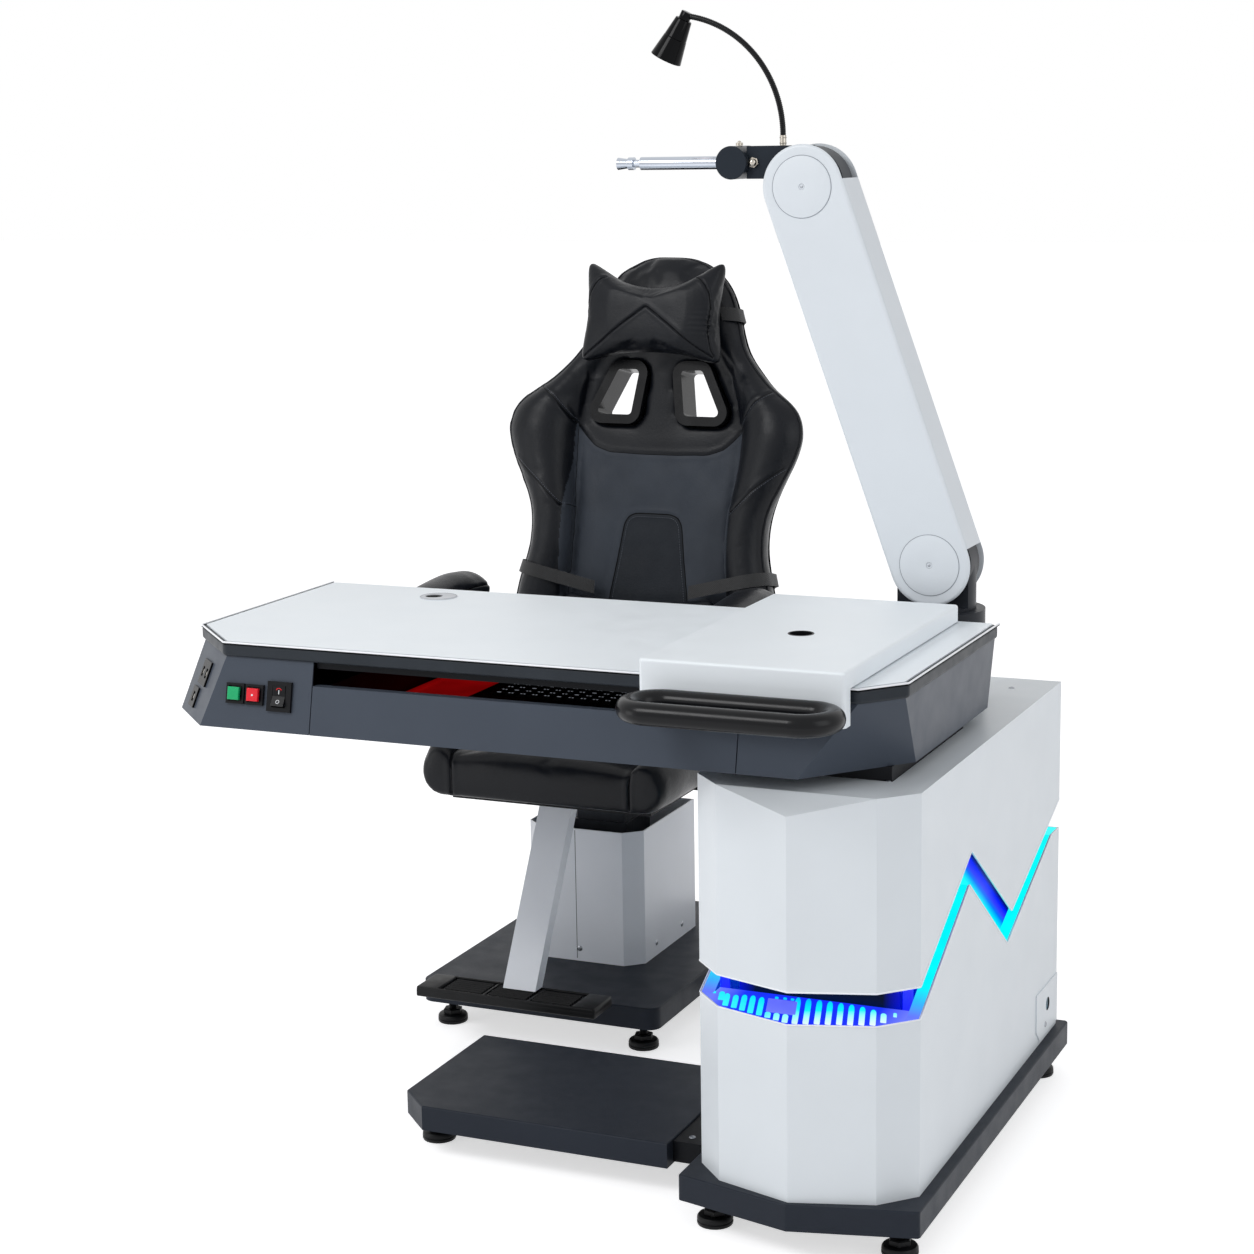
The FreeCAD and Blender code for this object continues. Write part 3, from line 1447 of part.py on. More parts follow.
def build_armrest(side):
    """The padded rest of one side, hinged outside its post."""
    lug_low = armrest_hinge_z - armrest_lug_radius
    base_low = armrest_hinge_z + armrest_lug_radius
    base_high = base_low + armrest_base_thickness
    base = box((-armrest_base_half, armrest_base_half),
               (armrest_front + armrest_base_margin, armrest_hinge_y + armrest_lug_radius),
               (base_low, base_high))
    clear = box((-armrest_base_half, armrest_base_half),
                (armrest_front + armrest_base_margin, armrest_hinge_y + armrest_lug_radius),
                (lug_low, base_high))
    pad = armrest_pad().cut(clear)
    lug_x = (-armrest_base_half, -armrest_base_half + armrest_post_thickness)
    lug = cylinder_x(armrest_lug_radius, armrest_hinge_y, armrest_hinge_z, lug_x[0], lug_x[1])
    web = box(lug_x, (armrest_hinge_y - armrest_lug_radius, armrest_hinge_y + armrest_lug_radius),
              (armrest_hinge_z, base_low))
    bore = cylinder_x(armrest_pin_radius + running_gap, armrest_hinge_y, armrest_hinge_z,
                      lug_x[0] - overrun, lug_x[1] + overrun)
    frame = join([base, lug, web]).cut(bore)
    whole = group([pad, frame]).translated(vec(armrest_offset, 0, 0))
    if side < 0:
        whole = mirrored_x(whole)
    return whole.translated(vec(chair_x, 0, 0))


def build_armrest_posts():
    post_high = armrest_offset - armrest_base_half - slide_gap
    post_x = (post_high - armrest_post_thickness, post_high)
    half = armrest_barrel_radius
    y = (armrest_hinge_y - half, armrest_hinge_y + half)
    foot_high = seat_low_z - pan_thickness
    upright = box(post_x, y, (foot_high - armrest_post_thickness, armrest_hinge_z))
    barrel = cylinder_x(half, armrest_hinge_y, armrest_hinge_z, post_x[0], post_x[1])
    pin = cylinder_x(armrest_pin_radius, armrest_hinge_y, armrest_hinge_z, post_x[0],
                     post_high + slide_gap + armrest_post_thickness)
    foot_low_x = seat_half_width - pan_margin - armrest_foot_reach
    foot_plate = box((foot_low_x, post_high), y, (foot_high - armrest_post_thickness, foot_high))
    post = join([upright, barrel, pin, foot_plate])
    posts = [post, mirrored_x(post)]
    return {"armrest_posts": group(posts).translated(vec(chair_x, 0, 0))}


# Backrest, drawn upright and tipped back at the end

def back_point(across, along, forward):
    return vec(chair_x + across, back_y - forward, back_z + along)


def lean_back(shape):
    return turn(shape, vec(1, 0, 0), -back_lean, vec(0, back_y, back_z))


def back_slab(across, along, forward):
    """An upright block between pairs of backrest coordinates."""
    return box((chair_x + across[0], chair_x + across[1]),
               (back_y - forward[1], back_y - forward[0]),
               (back_z + along[0], back_z + along[1]))


def back_section(row, grown, depth):
    height, width, panel_share, edge, crest, face, rear_share = row
    along = -back_below + height * (back_above + back_below)
    half = back_half_width * width + grown
    panel = (half - grown) * panel_share - grown
    lip = bolster_rise * edge + grown
    top = bolster_rise * crest + grown
    floor = bolster_rise * face + grown
    ridge = (half + panel) / 2
    waist = (lip - depth) / 2
    rear = half * rear_share
    side = (half + rear) / 2 + back_lip_draw

    def at(across, forward):
        return back_point(across, along, forward)

    return closed_wire(at(-rear, -depth), [
        (at(rear, -depth),),
        (at(side, waist), at(half - back_lip_draw, lip)),
        (at(ridge, top), at(panel, floor)),
        (at(0, floor + panel_crown), at(-panel, floor)),
        (at(-ridge, top), at(back_lip_draw - half, lip)),
        (at(-side, waist), at(-rear, -depth))])


def back_body(grown, depth):
    return loft([back_section(row, grown, depth) for row in back_shares])


def shell_wire(share, forward):
    """The backrest's outline at a share of its full size, as one smooth curve and a foot line."""
    middle = (back_above - back_below) / 2
    right = []
    for row in back_shares:
        along = -back_below + row[0] * (back_above + back_below)
        across = back_half_width * row[1] * row[-1]
        right.append((across * share, middle + (along - middle) * share))
    crown = (0.0, middle + (back_above + shell_brow - middle) * share)
    points = right + [crown] + [(-across, along) for across, along in reversed(right)]
    curve = Part.BSplineCurve()
    curve.interpolate([back_point(across, along, forward) for across, along in points])
    foot_line = Part.makeLine(back_point(points[-1][0], points[-1][1], forward),
                              back_point(points[0][0], points[0][1], forward))
    return Part.Wire([curve.toShape(), foot_line])


def opening_corners(side):
    corners = [(opening_inner_foot, opening_foot_high), (opening_outer_foot, opening_foot_high),
               (opening_outer_top, opening_top_high), (opening_inner_top, opening_top_high)]
    if side < 0:
        corners = [(-across, along) for across, along in reversed(corners)]
    return corners


def opening_prism(side, spread, back, front):
    """A rounded opening, or its frame, as a solid through the backrest."""
    core = inset(opening_corners(side), opening_corner)
    wire = Part.makePolygon([back_point(across, along, back) for across, along in core + core[:1]])
    rounded = wire.makeOffset2D(opening_corner + spread)
    return Part.Face(rounded).extrude(vec(0, back - front, 0))


def build_recliner():
    """Seat-side plates with pins, and the backrest-side plates that turn on them."""
    thick = recliner_thickness
    half = recliner_width / 2
    high = seat_low_z - pan_thickness
    lower = join([
        box((0, thick), (seat_back - pan_margin - recliner_foot, recline_y + half),
            (high - recliner_foot_height, high)),
        box((0, thick), (recline_y - half, recline_y + half), (high - recliner_foot_height,
                                                                recline_z)),
        cylinder_x(half, recline_y, recline_z, 0, thick),
        cylinder_x(recliner_pin_radius, recline_y, recline_z, 0, 2 * thick + slide_gap)])
    along, forward = back_position(recline_y, recline_z)
    strap = box((thick + slide_gap, 2 * thick + slide_gap),
                (back_y - forward - half, back_y - forward + half),
                (back_z + along, back_z - back_below + recliner_reach))
    strap = lean_back(strap)
    disc = cylinder_x(half, recline_y, recline_z, thick + slide_gap, 2 * thick + slide_gap)
    bore = cylinder_x(recliner_pin_radius + running_gap, recline_y, recline_z, -overrun,
                      2 * thick + slide_gap + overrun)
    upper = join([strap, disc]).cut(bore)
    lowers, uppers = [], []
    for side in (-1, 1):
        for shape, kept in ((lower, lowers), (upper, uppers)):
            placed = shape.translated(vec(recliner_offset, 0, 0))
            if side < 0:
                placed = mirrored_x(placed)
            kept.append(placed.translated(vec(chair_x, 0, 0)))
    return lowers, uppers


def back_position(y, z):
    """Where a point lies along and forward of the leaning backrest."""
    angle = math.radians(back_lean)
    along = (y - back_y) * math.sin(angle) + (z - back_z) * math.cos(angle)
    forward = (z - back_z) * math.sin(angle) - (y - back_y) * math.cos(angle)
    return along, forward


def build_backrest():
    openings = [opening_prism(side, 0.0, -shell_back - overrun, opening_front)
                for side in (-1, 1)]
    sockets = [opening_prism(side, frame_width, -shell_back - overrun, opening_front)
               for side in (-1, 1)]
    cushion = back_body(0.0, cushion_depth)
    shell = Part.makeLoft([shell_wire(1.0, -cushion_depth), shell_wire(shell_taper_share,
                                                                       -shell_back)], True, True)
    cushion = cushion.cut(sockets)
    shell = shell.cut(sockets)
    frames = [opening_prism(side, frame_width, -shell_back - frame_lip, frame_front).cut(hole)
              for side, hole in zip((-1, 1), openings)]
    cushion, shell, frames = lean_back(cushion), lean_back(shell), lean_back(group(frames))
    lowers, uppers = build_recliner()
    uppers = [plate.cut([shell, cushion]) for plate in uppers]
    return {"backrest_cushion": cushion, "backrest_shell": group([shell] + uppers),
            "opening_frames": frames, "recliner_plates": group(lowers)}


def pillow(half_width, half_height, half_thickness, rise, forward, top_dip, foot_dip):
    """A stuffed pillow with drawn-in edges, thinning to its corners."""
    wires = []
    for across, fullness, dip in pillow_shares:
        foot_h = rise - half_height + foot_dip * dip
        head_h = rise + half_height - top_dip * dip
        middle = (foot_h + head_h) / 2
        reach = across * half_width
        bulge = half_thickness * fullness
        wires.append(closed_wire(back_point(reach, foot_h, forward), [
            (back_point(reach, middle, forward + bulge), back_point(reach, head_h, forward)),
            (back_point(reach, middle, forward - bulge), back_point(reach, foot_h, forward))]))
    piece = loft(wires)
    sag = half_width * (1 - pillow_waist_share)
    radius = (half_height ** 2 + sag ** 2) / (2 * sag)
    for side in (-1, 1):
        x = chair_x + side * (half_width - sag + radius)
        piece = piece.cut(cylinder_y(radius, x, back_z + rise, back_y - forward - half_thickness
                                     - overrun, back_y - forward + half_thickness + overrun))
    return lean_back(piece)


def strap_ring(rise, slope, gap_half, reach):
    """A webbing loop round the backrest, open in front where the pillow covers it."""
    outer = back_body(strap_gap + strap_thickness, shell_back + strap_gap + strap_thickness)
    inner = back_body(strap_gap, shell_back + strap_gap)
    half = strap_width / 2
    deep = (-shell_back - bolster_rise, 2 * bolster_rise)
    bands = []
    for side in (-1, 1):
        band = back_slab((0, back_half_width + bolster_rise), (rise - half, rise + half), deep)
        band = turn(band, vec(0, 1, 0), -slope, back_point(0, rise, 0))
        if side < 0:
            band = mirrored_x(band, chair_x)
        bands.append(band)
    ring = outer.common(join(bands)).cut(inner)
    return ring.cut(back_slab((-gap_half, gap_half), (rise - reach, rise + reach),
                              (-cushion_depth, 2 * bolster_rise)))


def build_soft():
    head_forward = head_pillow_thickness / 2 + seat_gap + bolster_rise * head_face_share \
        + panel_crown
    head = pillow(head_pillow_half_width, head_pillow_half_height, head_pillow_thickness / 2,
                  head_pillow_rise, head_forward, head_pillow_top_dip, head_pillow_foot_dip)
    lumbar_forward = lumbar_thickness / 2 + seat_gap + bolster_rise * body_face_share \
        + panel_crown
    lumbar = pillow(lumbar_half_width, lumbar_half_height, lumbar_thickness / 2, lumbar_rise,
                    lumbar_forward, lumbar_dip, lumbar_dip)
    straps = [strap_ring(head_pillow_rise, 0.0, head_strap_gap, strap_width),
              strap_ring(lumbar_strap_rise, lumbar_strap_slope, lumbar_strap_gap,
                         back_half_width / 2)]
    return {"head_pillow": head, "lumbar_pillow": lumbar,
            "backrest_straps": lean_back(group(straps))}


def build_all():
    pieces = {}
    pieces.update(build_column())
    pieces.update(build_light())
    pieces.update(build_inside())
    pieces.update(build_port_plate())
    pieces.update(build_feet())
    pieces.update(build_floor_plates())
    pieces.update(build_table())
    pieces.update(build_drawer())
    pieces.update(build_rails())
    pieces.update(build_tray())
    pieces.update(build_post())
    pieces.update(build_arm())
    pieces.update(build_head())
    pieces.update(build_lamp())
    pieces.update(build_chair_base())
    pieces.update(build_seat())
    pieces.update(build_footrest())
    pieces.update({"left_armrest": build_armrest(-1), "right_armrest": build_armrest(1)})
    pieces.update(build_armrest_posts())
    pieces.update(build_backrest())
    pieces.update(build_soft())
    screws = housing_screws()
    pieces["housing_screws"] = group(screws)
    for name in ("column_lower_housing", "column_upper_housing", "column_core",
                 "cable_port_plate", "base_links", "chair_column_housing"):
        pieces[name] = pieces[name].cut(screws)
    return pieces


def origin_shift(pieces):
    """The move that brings the middle of the floor area to the origin."""
    bounds = Part.makeCompound(list(pieces.values())).optimalBoundingBox(False, False)
    return vec(-(bounds.XMin + bounds.XMax) / 2, -(bounds.YMin + bounds.YMax) / 2, -bounds.ZMin)


def main():
    os.makedirs("parts", exist_ok=True)
    pieces = build_all()
    shift = origin_shift(pieces)
    for name, shape in pieces.items():
        shape.translated(shift).exportStep("parts/" + name + ".step")
    print("moved by", shift.x, shift.y, shift.z, "pieces", len(pieces))


main()
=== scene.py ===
"""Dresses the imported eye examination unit: upholstery, paint, metal, light and small fittings.

Lengths in the tables below are millimetres in the unit's drawing, measured from the foot of the
column's front edge. place() and on_back() bring them into the model's frame, in metres.
"""
import math

import bmesh
import bpy
import numpy as np
from mathutils import Matrix, Vector, kdtree


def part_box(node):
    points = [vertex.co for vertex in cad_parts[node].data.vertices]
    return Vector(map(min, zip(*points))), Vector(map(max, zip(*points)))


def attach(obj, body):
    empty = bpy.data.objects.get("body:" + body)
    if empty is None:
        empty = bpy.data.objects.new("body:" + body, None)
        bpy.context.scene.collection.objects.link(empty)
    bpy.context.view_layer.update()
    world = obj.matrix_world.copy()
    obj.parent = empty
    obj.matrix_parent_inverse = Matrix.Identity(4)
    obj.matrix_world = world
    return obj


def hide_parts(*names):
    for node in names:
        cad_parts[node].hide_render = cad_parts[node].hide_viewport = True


bl_info = {
    "name": "Eye Examination Unit",
    "version": (1, 0, 0),
    "blender": (4, 5, 0),
    "location": "3D View > Sidebar > Exam Unit",
    "description": "Upholstery, finishes, fittings and studio for the packed examination unit",
    "category": "Object",
}

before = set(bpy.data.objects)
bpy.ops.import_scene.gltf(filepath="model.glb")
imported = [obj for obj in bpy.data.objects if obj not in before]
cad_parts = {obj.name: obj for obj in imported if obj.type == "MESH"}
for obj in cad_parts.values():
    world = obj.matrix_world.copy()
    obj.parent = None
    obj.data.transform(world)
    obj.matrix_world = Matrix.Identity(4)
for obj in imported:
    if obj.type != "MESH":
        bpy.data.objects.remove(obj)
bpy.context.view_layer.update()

MM = 0.001
CHAIR_X = -696.0
PLATE_BACK = 1250.0
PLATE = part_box("chair_base_plate")
SHIFT = Vector(((PLATE[0].x + PLATE[1].x) / 2 - CHAIR_X * MM, PLATE[1].y - PLATE_BACK * MM, 0.0))

# Backrest, as in the model: rows of height, width, panel share, edge, crest, panel face and
# rear width
BACK_Y = 1135.0
BACK_Z = 700.0
BACK_LEAN = math.radians(12.0)
BACK_HALF = 295.0
BACK_FOOT = -185.0
BACK_HEAD = 611.0
BACK_BROW = 5.0
BOLSTER = 35.0
PANEL_CROWN = 6.0
CUSHION_DEPTH = 45.0
SHELL_DEPTH = 75.0
BACK_ROWS = (
    (0.0, 0.786, 0.70, 0.0, 0.6, -0.86, 0.98), (0.053, 0.847, 0.664, 0.17, 1.0, -0.86, 0.975),
    (0.155, 0.888, 0.634, 0.17, 1.0, -0.86, 0.965), (0.239, 0.858, 0.656, 0.17, 1.0, -0.86, 0.96),
    (0.335, 0.797, 0.706, 0.17, 1.0, -0.86, 0.96), (0.425, 0.817, 0.689, 0.17, 1.0, -0.86, 0.95),
    (0.489, 0.895, 0.629, 0.17, 1.0, -0.86, 0.93), (0.549, 0.969, 0.580, 0.17, 1.0, -0.86, 0.93),
    (0.604, 1.0, 0.563, 0.17, 1.0, -0.86, 0.93), (0.663, 0.934, 0.581, 0.1, 0.75, -0.8, 0.94),
    (0.709, 0.766, 0.664, -0.1, 0.35, -0.75, 0.96), (0.743, 0.671, 0.697, -0.3, 0.05, -0.68, 0.97),
    (0.786, 0.575, 0.66, -0.5, -0.1, -0.5, 0.98), (0.867, 0.495, 0.657, -0.7, -0.2, -0.2, 0.98),
    (0.933, 0.422, 0.643, -0.75, -0.25, -0.2, 0.98), (0.979, 0.308, 0.604, -0.85, -0.4, -0.3, 0.98),
    (1.0, 0.197, 0.586, -1.0, -0.65, -0.5, 0.98))
OPENING = ((53.0, 323.0), (124.0, 323.0), (83.0, 407.0), (41.0, 407.0))
OPENING_ROUND = 8.0
FRAME_WIDTH = 17.0

# Seat, as in the model: rows along the seat of width, lift below and drop above
SEAT_FRONT = 680.0
SEAT_BACK = 1118.0
SEAT_HALF = 232.0
SEAT_PANEL = 176.0
SEAT_SEAM_FOOT = 166.3
SEAT_LOW = 407.0
SEAT_HIGH = 503.0
SEAT_BOLSTER = 20.0
SEAT_CROWN = 13.0
SEAT_ROWS = ((0.0, 0.945, 0.3, 0.5), (0.025, 0.97, 0.05, 0.22), (0.09, 0.99, 0.0, 0.08),
             (0.3, 1.0, 0.0, 0.0), (0.6, 1.0, 0.0, 0.0), (0.88, 0.97, 0.0, 0.12),
             (0.965, 0.93, 0.4, 0.45), (1.0, 0.86, 1.0, 1.0))

# Armrest pad: rows along it of width, drop of the top and thickness
REST_X = 283.0
REST_FRONT = 715.0
REST_BACK = 1015.0
REST_HALF = 46.0
REST_TOP = 747.0
REST_THICK = 48.0
REST_CROWN = 20.0
REST_ARCH = 48.0
REST_HINGE = (960.0, 680.0)
REST_BASE_HALF = 34
REST_ROWS = ((0.0, 0.62, 1.0, 0.55), (0.06, 0.86, 0.72, 0.85), (0.25, 0.96, 0.28, 1.0),
             (0.55, 1.0, 0.02, 1.0), (0.8, 1.0, 0.0, 1.0), (0.94, 0.9, 0.14, 0.9),
             (1.0, 0.62, 0.38, 0.5))


def place(x, y, z):
    """A point of the drawing, in the model's frame."""
    return Vector((x, y, z)) * MM + SHIFT


# Directions of the leaning backrest: across, along and forward
BACK_WAYS = np.array(((1.0, 0.0, 0.0), (0.0, math.sin(BACK_LEAN), math.cos(BACK_LEAN)),
                      (0.0, -math.cos(BACK_LEAN), math.sin(BACK_LEAN))))
BACK_FOOTING = np.array(place(CHAIR_X, BACK_Y, BACK_Z))


def on_back(across, along, forward):
    """A point of the leaning backrest, in the model's frame."""
    return Vector(BACK_FOOTING + MM * (np.array((across, along, forward)) @ BACK_WAYS))


def off_back(points):
    """Rows of across, along and forward of points of the model's frame."""
    return (np.asarray(points) - BACK_FOOTING) @ BACK_WAYS.T / MM


class Rows:
    """A table of rows, read as smooth curves at any share of its length."""

    def __init__(self, rows):
        table = np.array(rows, float)
        at = table[:, 0]
        slopes = np.gradient(table[:, 1:], at, axis=0)
        self.shares = np.linspace(0, 1, 801)
        i = np.clip(np.searchsorted(at, self.shares, side="right") - 1, 0, len(at) - 2)
        span = (at[i + 1] - at[i])[:, None]
        t = (self.shares[:, None] - at[i][:, None]) / span
        low, high = table[i, 1:], table[i + 1, 1:]
        self.columns = ((2 * t ** 3 - 3 * t ** 2 + 1) * low
                        + (t ** 3 - 2 * t ** 2 + t) * span * slopes[i]
                        + (3 * t ** 2 - 2 * t ** 3) * high
                        + (t ** 3 - t ** 2) * span * slopes[i + 1]).T

    def at(self, share):
        return [np.interp(share, self.shares, column) for column in self.columns]


BACK_FORM = Rows(BACK_ROWS)
SEAT_FORM = Rows(SEAT_ROWS)
REST_FORM = Rows(REST_ROWS)


def turns(count):
    """Angles evenly round a circle."""
    return [math.tau * k / count for k in range(count)]


def circle(radius, count):
    """Points of a flat circle."""
    return [(radius * math.cos(q), radius * math.sin(q)) for q in turns(count)]


def arc(start, middle, end, count):
    """Points of the circle through three points, without the last one."""
    a, b, c = (complex(*p) for p in (start, middle, end))
    w = (c - a) / (b - a)
    if abs(w.imag) < 1e-6:
        return [tuple(np.array(start) + (np.array(end) - np.array(start)) * k / count)
                for k in range(count)]
    centre = a - (a - b) * (w - abs(w) ** 2) / (2j * w.imag)
    radius = abs(a - centre)
    turn_b = np.angle((b - centre) / (a - centre))
    turn_c = np.angle((c - centre) / (a - centre))
    if turn_b > 0 > turn_c:
        turn_c += math.tau
    if turn_b < 0 < turn_c:
        turn_c -= math.tau
    start_angle = np.angle(a - centre)
    angles = [start_angle + turn_c * k / count for k in range(count)]
    return [(centre.real + radius * math.cos(q), centre.imag + radius * math.sin(q))
            for q in angles]


def back_row(along):
    """Half width, panel half width, lip, crest, panel face and rear half width at a height."""
    share = (along - BACK_FOOT) / (BACK_HEAD - BACK_FOOT)
    width, panel_share, edge, crest, face, rear = BACK_FORM.at(share)
    half = BACK_HALF * width
    return half, half * panel_share, BOLSTER * edge, BOLSTER * crest, BOLSTER * face, half * rear


def back_ring(along, grown=0.0, depth=CUSHION_DEPTH):
    """The outline of the backrest's section at a height, as (across, forward) points."""
    half, panel, lip, top, floor, rear = back_row(along)
    half, rear, lip, top, floor = (v + grown for v in (half, rear, lip, top, floor))
    back = -depth
    ridge = (half + panel) / 2
    waist = (lip + back) / 2
    side = (half + rear) / 2 + 2
    right = arc((rear, back), (side, waist), (half - 2, lip), 8)
    right += arc((half - 2, lip), (ridge, top), (panel, floor), 16)
    middle = arc((panel, floor), (0, floor + PANEL_CROWN), (-panel, floor), 32)
    left = arc((-panel, floor), (-ridge, top), (2 - half, lip), 16)
    left += arc((2 - half, lip), (-side, waist), (-rear, back), 8)
    line = [(-rear + 2 * rear * k / 24, back) for k in range(24)]
    return right + middle + left + line


def back_face(across, along):
    """How far forward the backrest's front stands at places of it."""
    half, panel, lip, top, floor, _ = back_row(along)
    a = np.abs(across)
    # the bolster's circle through the panel's edge, its crest and the edge seam
    bx, by, cx, cy = (half - panel) / 2, top - floor, half - 2 - panel, lip - floor
    cross = 2 * (bx * cy - by * cx)
    mid_x = (cy * (bx ** 2 + by ** 2) - by * (cx ** 2 + cy ** 2)) / cross
    mid_y = (bx * (cx ** 2 + cy ** 2) - cx * (bx ** 2 + by ** 2)) / cross
    size = mid_x ** 2 + mid_y ** 2
    out = np.clip(a - panel - mid_x, -np.sqrt(size), np.sqrt(size))
    bolster = floor + mid_y + np.sqrt(np.maximum(size - out ** 2, 0))
    crown = floor + PANEL_CROWN * (1 - (a / panel) ** 2)
    return np.where(a <= panel + 0.5, crown, bolster)


def seat_y(share):
    return SEAT_FRONT + share * (SEAT_BACK - SEAT_FRONT)


def rest_y(share):
    return REST_FRONT + share * (REST_BACK - REST_FRONT)


def seat_ring(along):
    """The outline of the seat cushion's section, as (across, z) points."""
    width, lift, drop = SEAT_FORM.at(along)
    half = SEAT_HALF * width
    low = SEAT_LOW + lift * 18
    top = SEAT_HIGH - drop * 34
    panel = SEAT_PANEL * width
    shoulder = top - SEAT_BOLSTER
    foot = half - 34
    middle = (low + shoulder) / 2
    ridge = (half + panel) / 2
    ring = arc((foot, low), (half, middle), (half - 8, shoulder), 12)
    ring += arc((half - 8, shoulder), (ridge, top), (panel, shoulder), 10)
    ring += arc((panel, shoulder), (0, shoulder + SEAT_CROWN), (-panel, shoulder), 34)
    ring += arc((-panel, shoulder), (-ridge, top), (8 - half, shoulder), 10)
    ring += arc((8 - half, shoulder), (-half, middle), (-foot, low), 12)
    ring += [(-foot + 2 * foot * k / 40, low) for k in range(40)]
    return ring


def rest_ring(along):
    """The outline of an armrest pad's section, as (across, z) points."""
    width, drop, fullness = REST_FORM.at(along)
    half = REST_HALF * width
    top = REST_TOP - REST_ARCH * drop
    low = top - REST_THICK * fullness
    brow = top - REST_CROWN * fullness
    ring = arc((half - 8, low), (half, (low + brow) / 2), (half - 4, brow), 8)
    ring += arc((half - 4, brow), (0, top), (4 - half, brow), 18)
    ring += arc((4 - half, brow), (-half, (low + brow) / 2), (8 - half, low), 8)
    ring += [(8 - half + (2 * half - 16) * k / 14, low) for k in range(14)]
    return ring


# Meshes

def mesh_object(name, verts, faces):
    """A new piece from its points and faces."""
    mesh = bpy.data.meshes.new(name)
    mesh.from_pydata([tuple(v) for v in verts], [], faces)
    obj = bpy.data.objects.new(name, mesh)
    bpy.context.scene.collection.objects.link(obj)
    return obj


def rings_object(name, rings, closed_ends=True, loop=False):
    """A skin over rings of equally many points."""
    count = len(rings[0])
    verts = [p for ring in rings for p in ring]
    faces = []
    steps = len(rings) if loop else len(rings) - 1
    for i in range(steps):
        a, b = i * count, (i + 1) % len(rings) * count
        for k in range(count):
            n = (k + 1) % count
            faces.append((a + k, a + n, b + n, b + k))
    if closed_ends and not loop:
        faces.append(tuple(range(count - 1, -1, -1)))
        faces.append(tuple(range(len(verts) - count, len(verts))))
    obj = mesh_object(name, verts, faces)
    outward(obj)
    return obj


def outward(obj):
    """Turns a new mesh's faces outwards."""
    bm = bmesh.new()
    bm.from_mesh(obj.data)
    bmesh.ops.remove_doubles(bm, verts=bm.verts, dist=1e-6)
    bmesh.ops.recalc_face_normals(bm, faces=bm.faces)
    bm.to_mesh(obj.data)
    bm.free()


def apply_all(obj):
    """Gives the object the mesh that its modifiers make."""
    graph = bpy.context.evaluated_depsgraph_get()
    mesh = bpy.data.meshes.new_from_object(obj.evaluated_get(graph))
    obj.modifiers.clear()
    obj.data = mesh
    return obj


def delete(obj):
    """Removes a helper object."""
    bpy.data.objects.remove(obj, do_unlink=True)


def joined(name, objects):
    """Several new pieces as one mesh."""
    bm = bmesh.new()
    for obj in objects:
        bm.from_mesh(obj.data)
        delete(obj)
    mesh = bpy.data.meshes.new(name)
    bm.to_mesh(mesh)
    bm.free()
    obj = bpy.data.objects.new(name, mesh)
    bpy.context.scene.collection.objects.link(obj)
    return obj


def smooth(obj, angle=None):
    """Smooth shading, with edges sharper than an angle kept."""
    obj.data.polygons.foreach_set("use_smooth", [True] * len(obj.data.polygons))
    if angle is not None:
        obj.data.set_sharp_from_angle(angle=math.radians(angle))
    obj.data.update()


def dress(obj, finish, body):
    """A new piece's material, by the name of its finish, and its body."""
    obj.data.materials.clear()
    obj.data.materials.append(FINISHES[finish])
    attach(obj, body)
    return obj


def tube(name, points, radius, sides=10, loop=False):
    """A round tube along points, with closed ends."""
    points = [Vector(p) for p in points]
    count = len(points)
    rings = []
    normal = None
    for i, p in enumerate(points):
        before = points[i - 1] if i or loop else p
        after = points[(i + 1) % count] if i < count - 1 or loop else p
        tangent = (after - before).normalized()
        if normal is None:
            normal = tangent.orthogonal().normalized()
        normal = (normal - tangent * normal.dot(tangent)).normalized()
        side = tangent.cross(normal)
        size = radius[i] if isinstance(radius, (list, tuple)) else radius
        rings.append([p + (normal * math.cos(q) + side * math.sin(q)) * size
                      for q in turns(sides)])
    obj = rings_object(name, rings, loop=loop)
    smooth(obj, 50)
    return obj


def lathe(name, profile, origin, axis, sides=32):
    """A turned solid of (radius, distance along the axis) rows, in metres."""
    axis = Vector(axis).normalized()
    normal = axis.orthogonal().normalized()
    side = axis.cross(normal)
    rings = []
    for radius, reach in profile:
        rings.append([Vector(origin) + axis * reach
                      + (normal * math.cos(q) + side * math.sin(q)) * max(radius, 1e-5)
                      for q in turns(sides)])
    obj = rings_object(name, rings)
    smooth(obj, 35)
    return obj


def block(name, low, high, round_off, segments=3):
    """A block with rounded edges between two corners, in metres."""
    obj = mesh_object(name, [Vector((x, y, z)) for x in (low[0], high[0])
                             for y in (low[1], high[1]) for z in (low[2], high[2])],
                      [(0, 1, 3, 2), (4, 6, 7, 5), (0, 4, 5, 1), (2, 3, 7, 6), (0, 2, 6, 4),
                       (1, 5, 7, 3)])
    outward(obj)
    if round_off:
        bevel = obj.modifiers.new("edges", "BEVEL")
        bevel.width = round_off
        bevel.segments = segments
        bevel.limit_method = "ANGLE"
        apply_all(obj)
    smooth(obj, 35)
    return obj


def resampled(points, pitch):
    """The same path with a point at each pitch."""
    points = [Vector(p) for p in points]
    reach = [0.0]
    for a, b in zip(points, points[1:]):
        reach.append(reach[-1] + (b - a).length)
    count = max(2, int(reach[-1] / pitch) + 1)
    at = np.linspace(0, reach[-1], count)
    xyz = np.array(points, float)
    return [Vector([float(np.interp(s, reach, xyz[:, k])) for k in range(3)]) for s in at]


def rounded_path(points, pitch=0.004, passes=6):
    """A path with its corners softened."""
    path = np.array(resampled(points, pitch), float)
    for _ in range(passes):
        path[1:-1] = (path[:-2] + 2 * path[1:-1] + path[2:]) / 4
    return [Vector(p) for p in path]


# Upholstery: the frames in which a filling settles, and half the width of a drawn-in seam

SETTLING = 20
SEAM_WIDTH = 0.0022


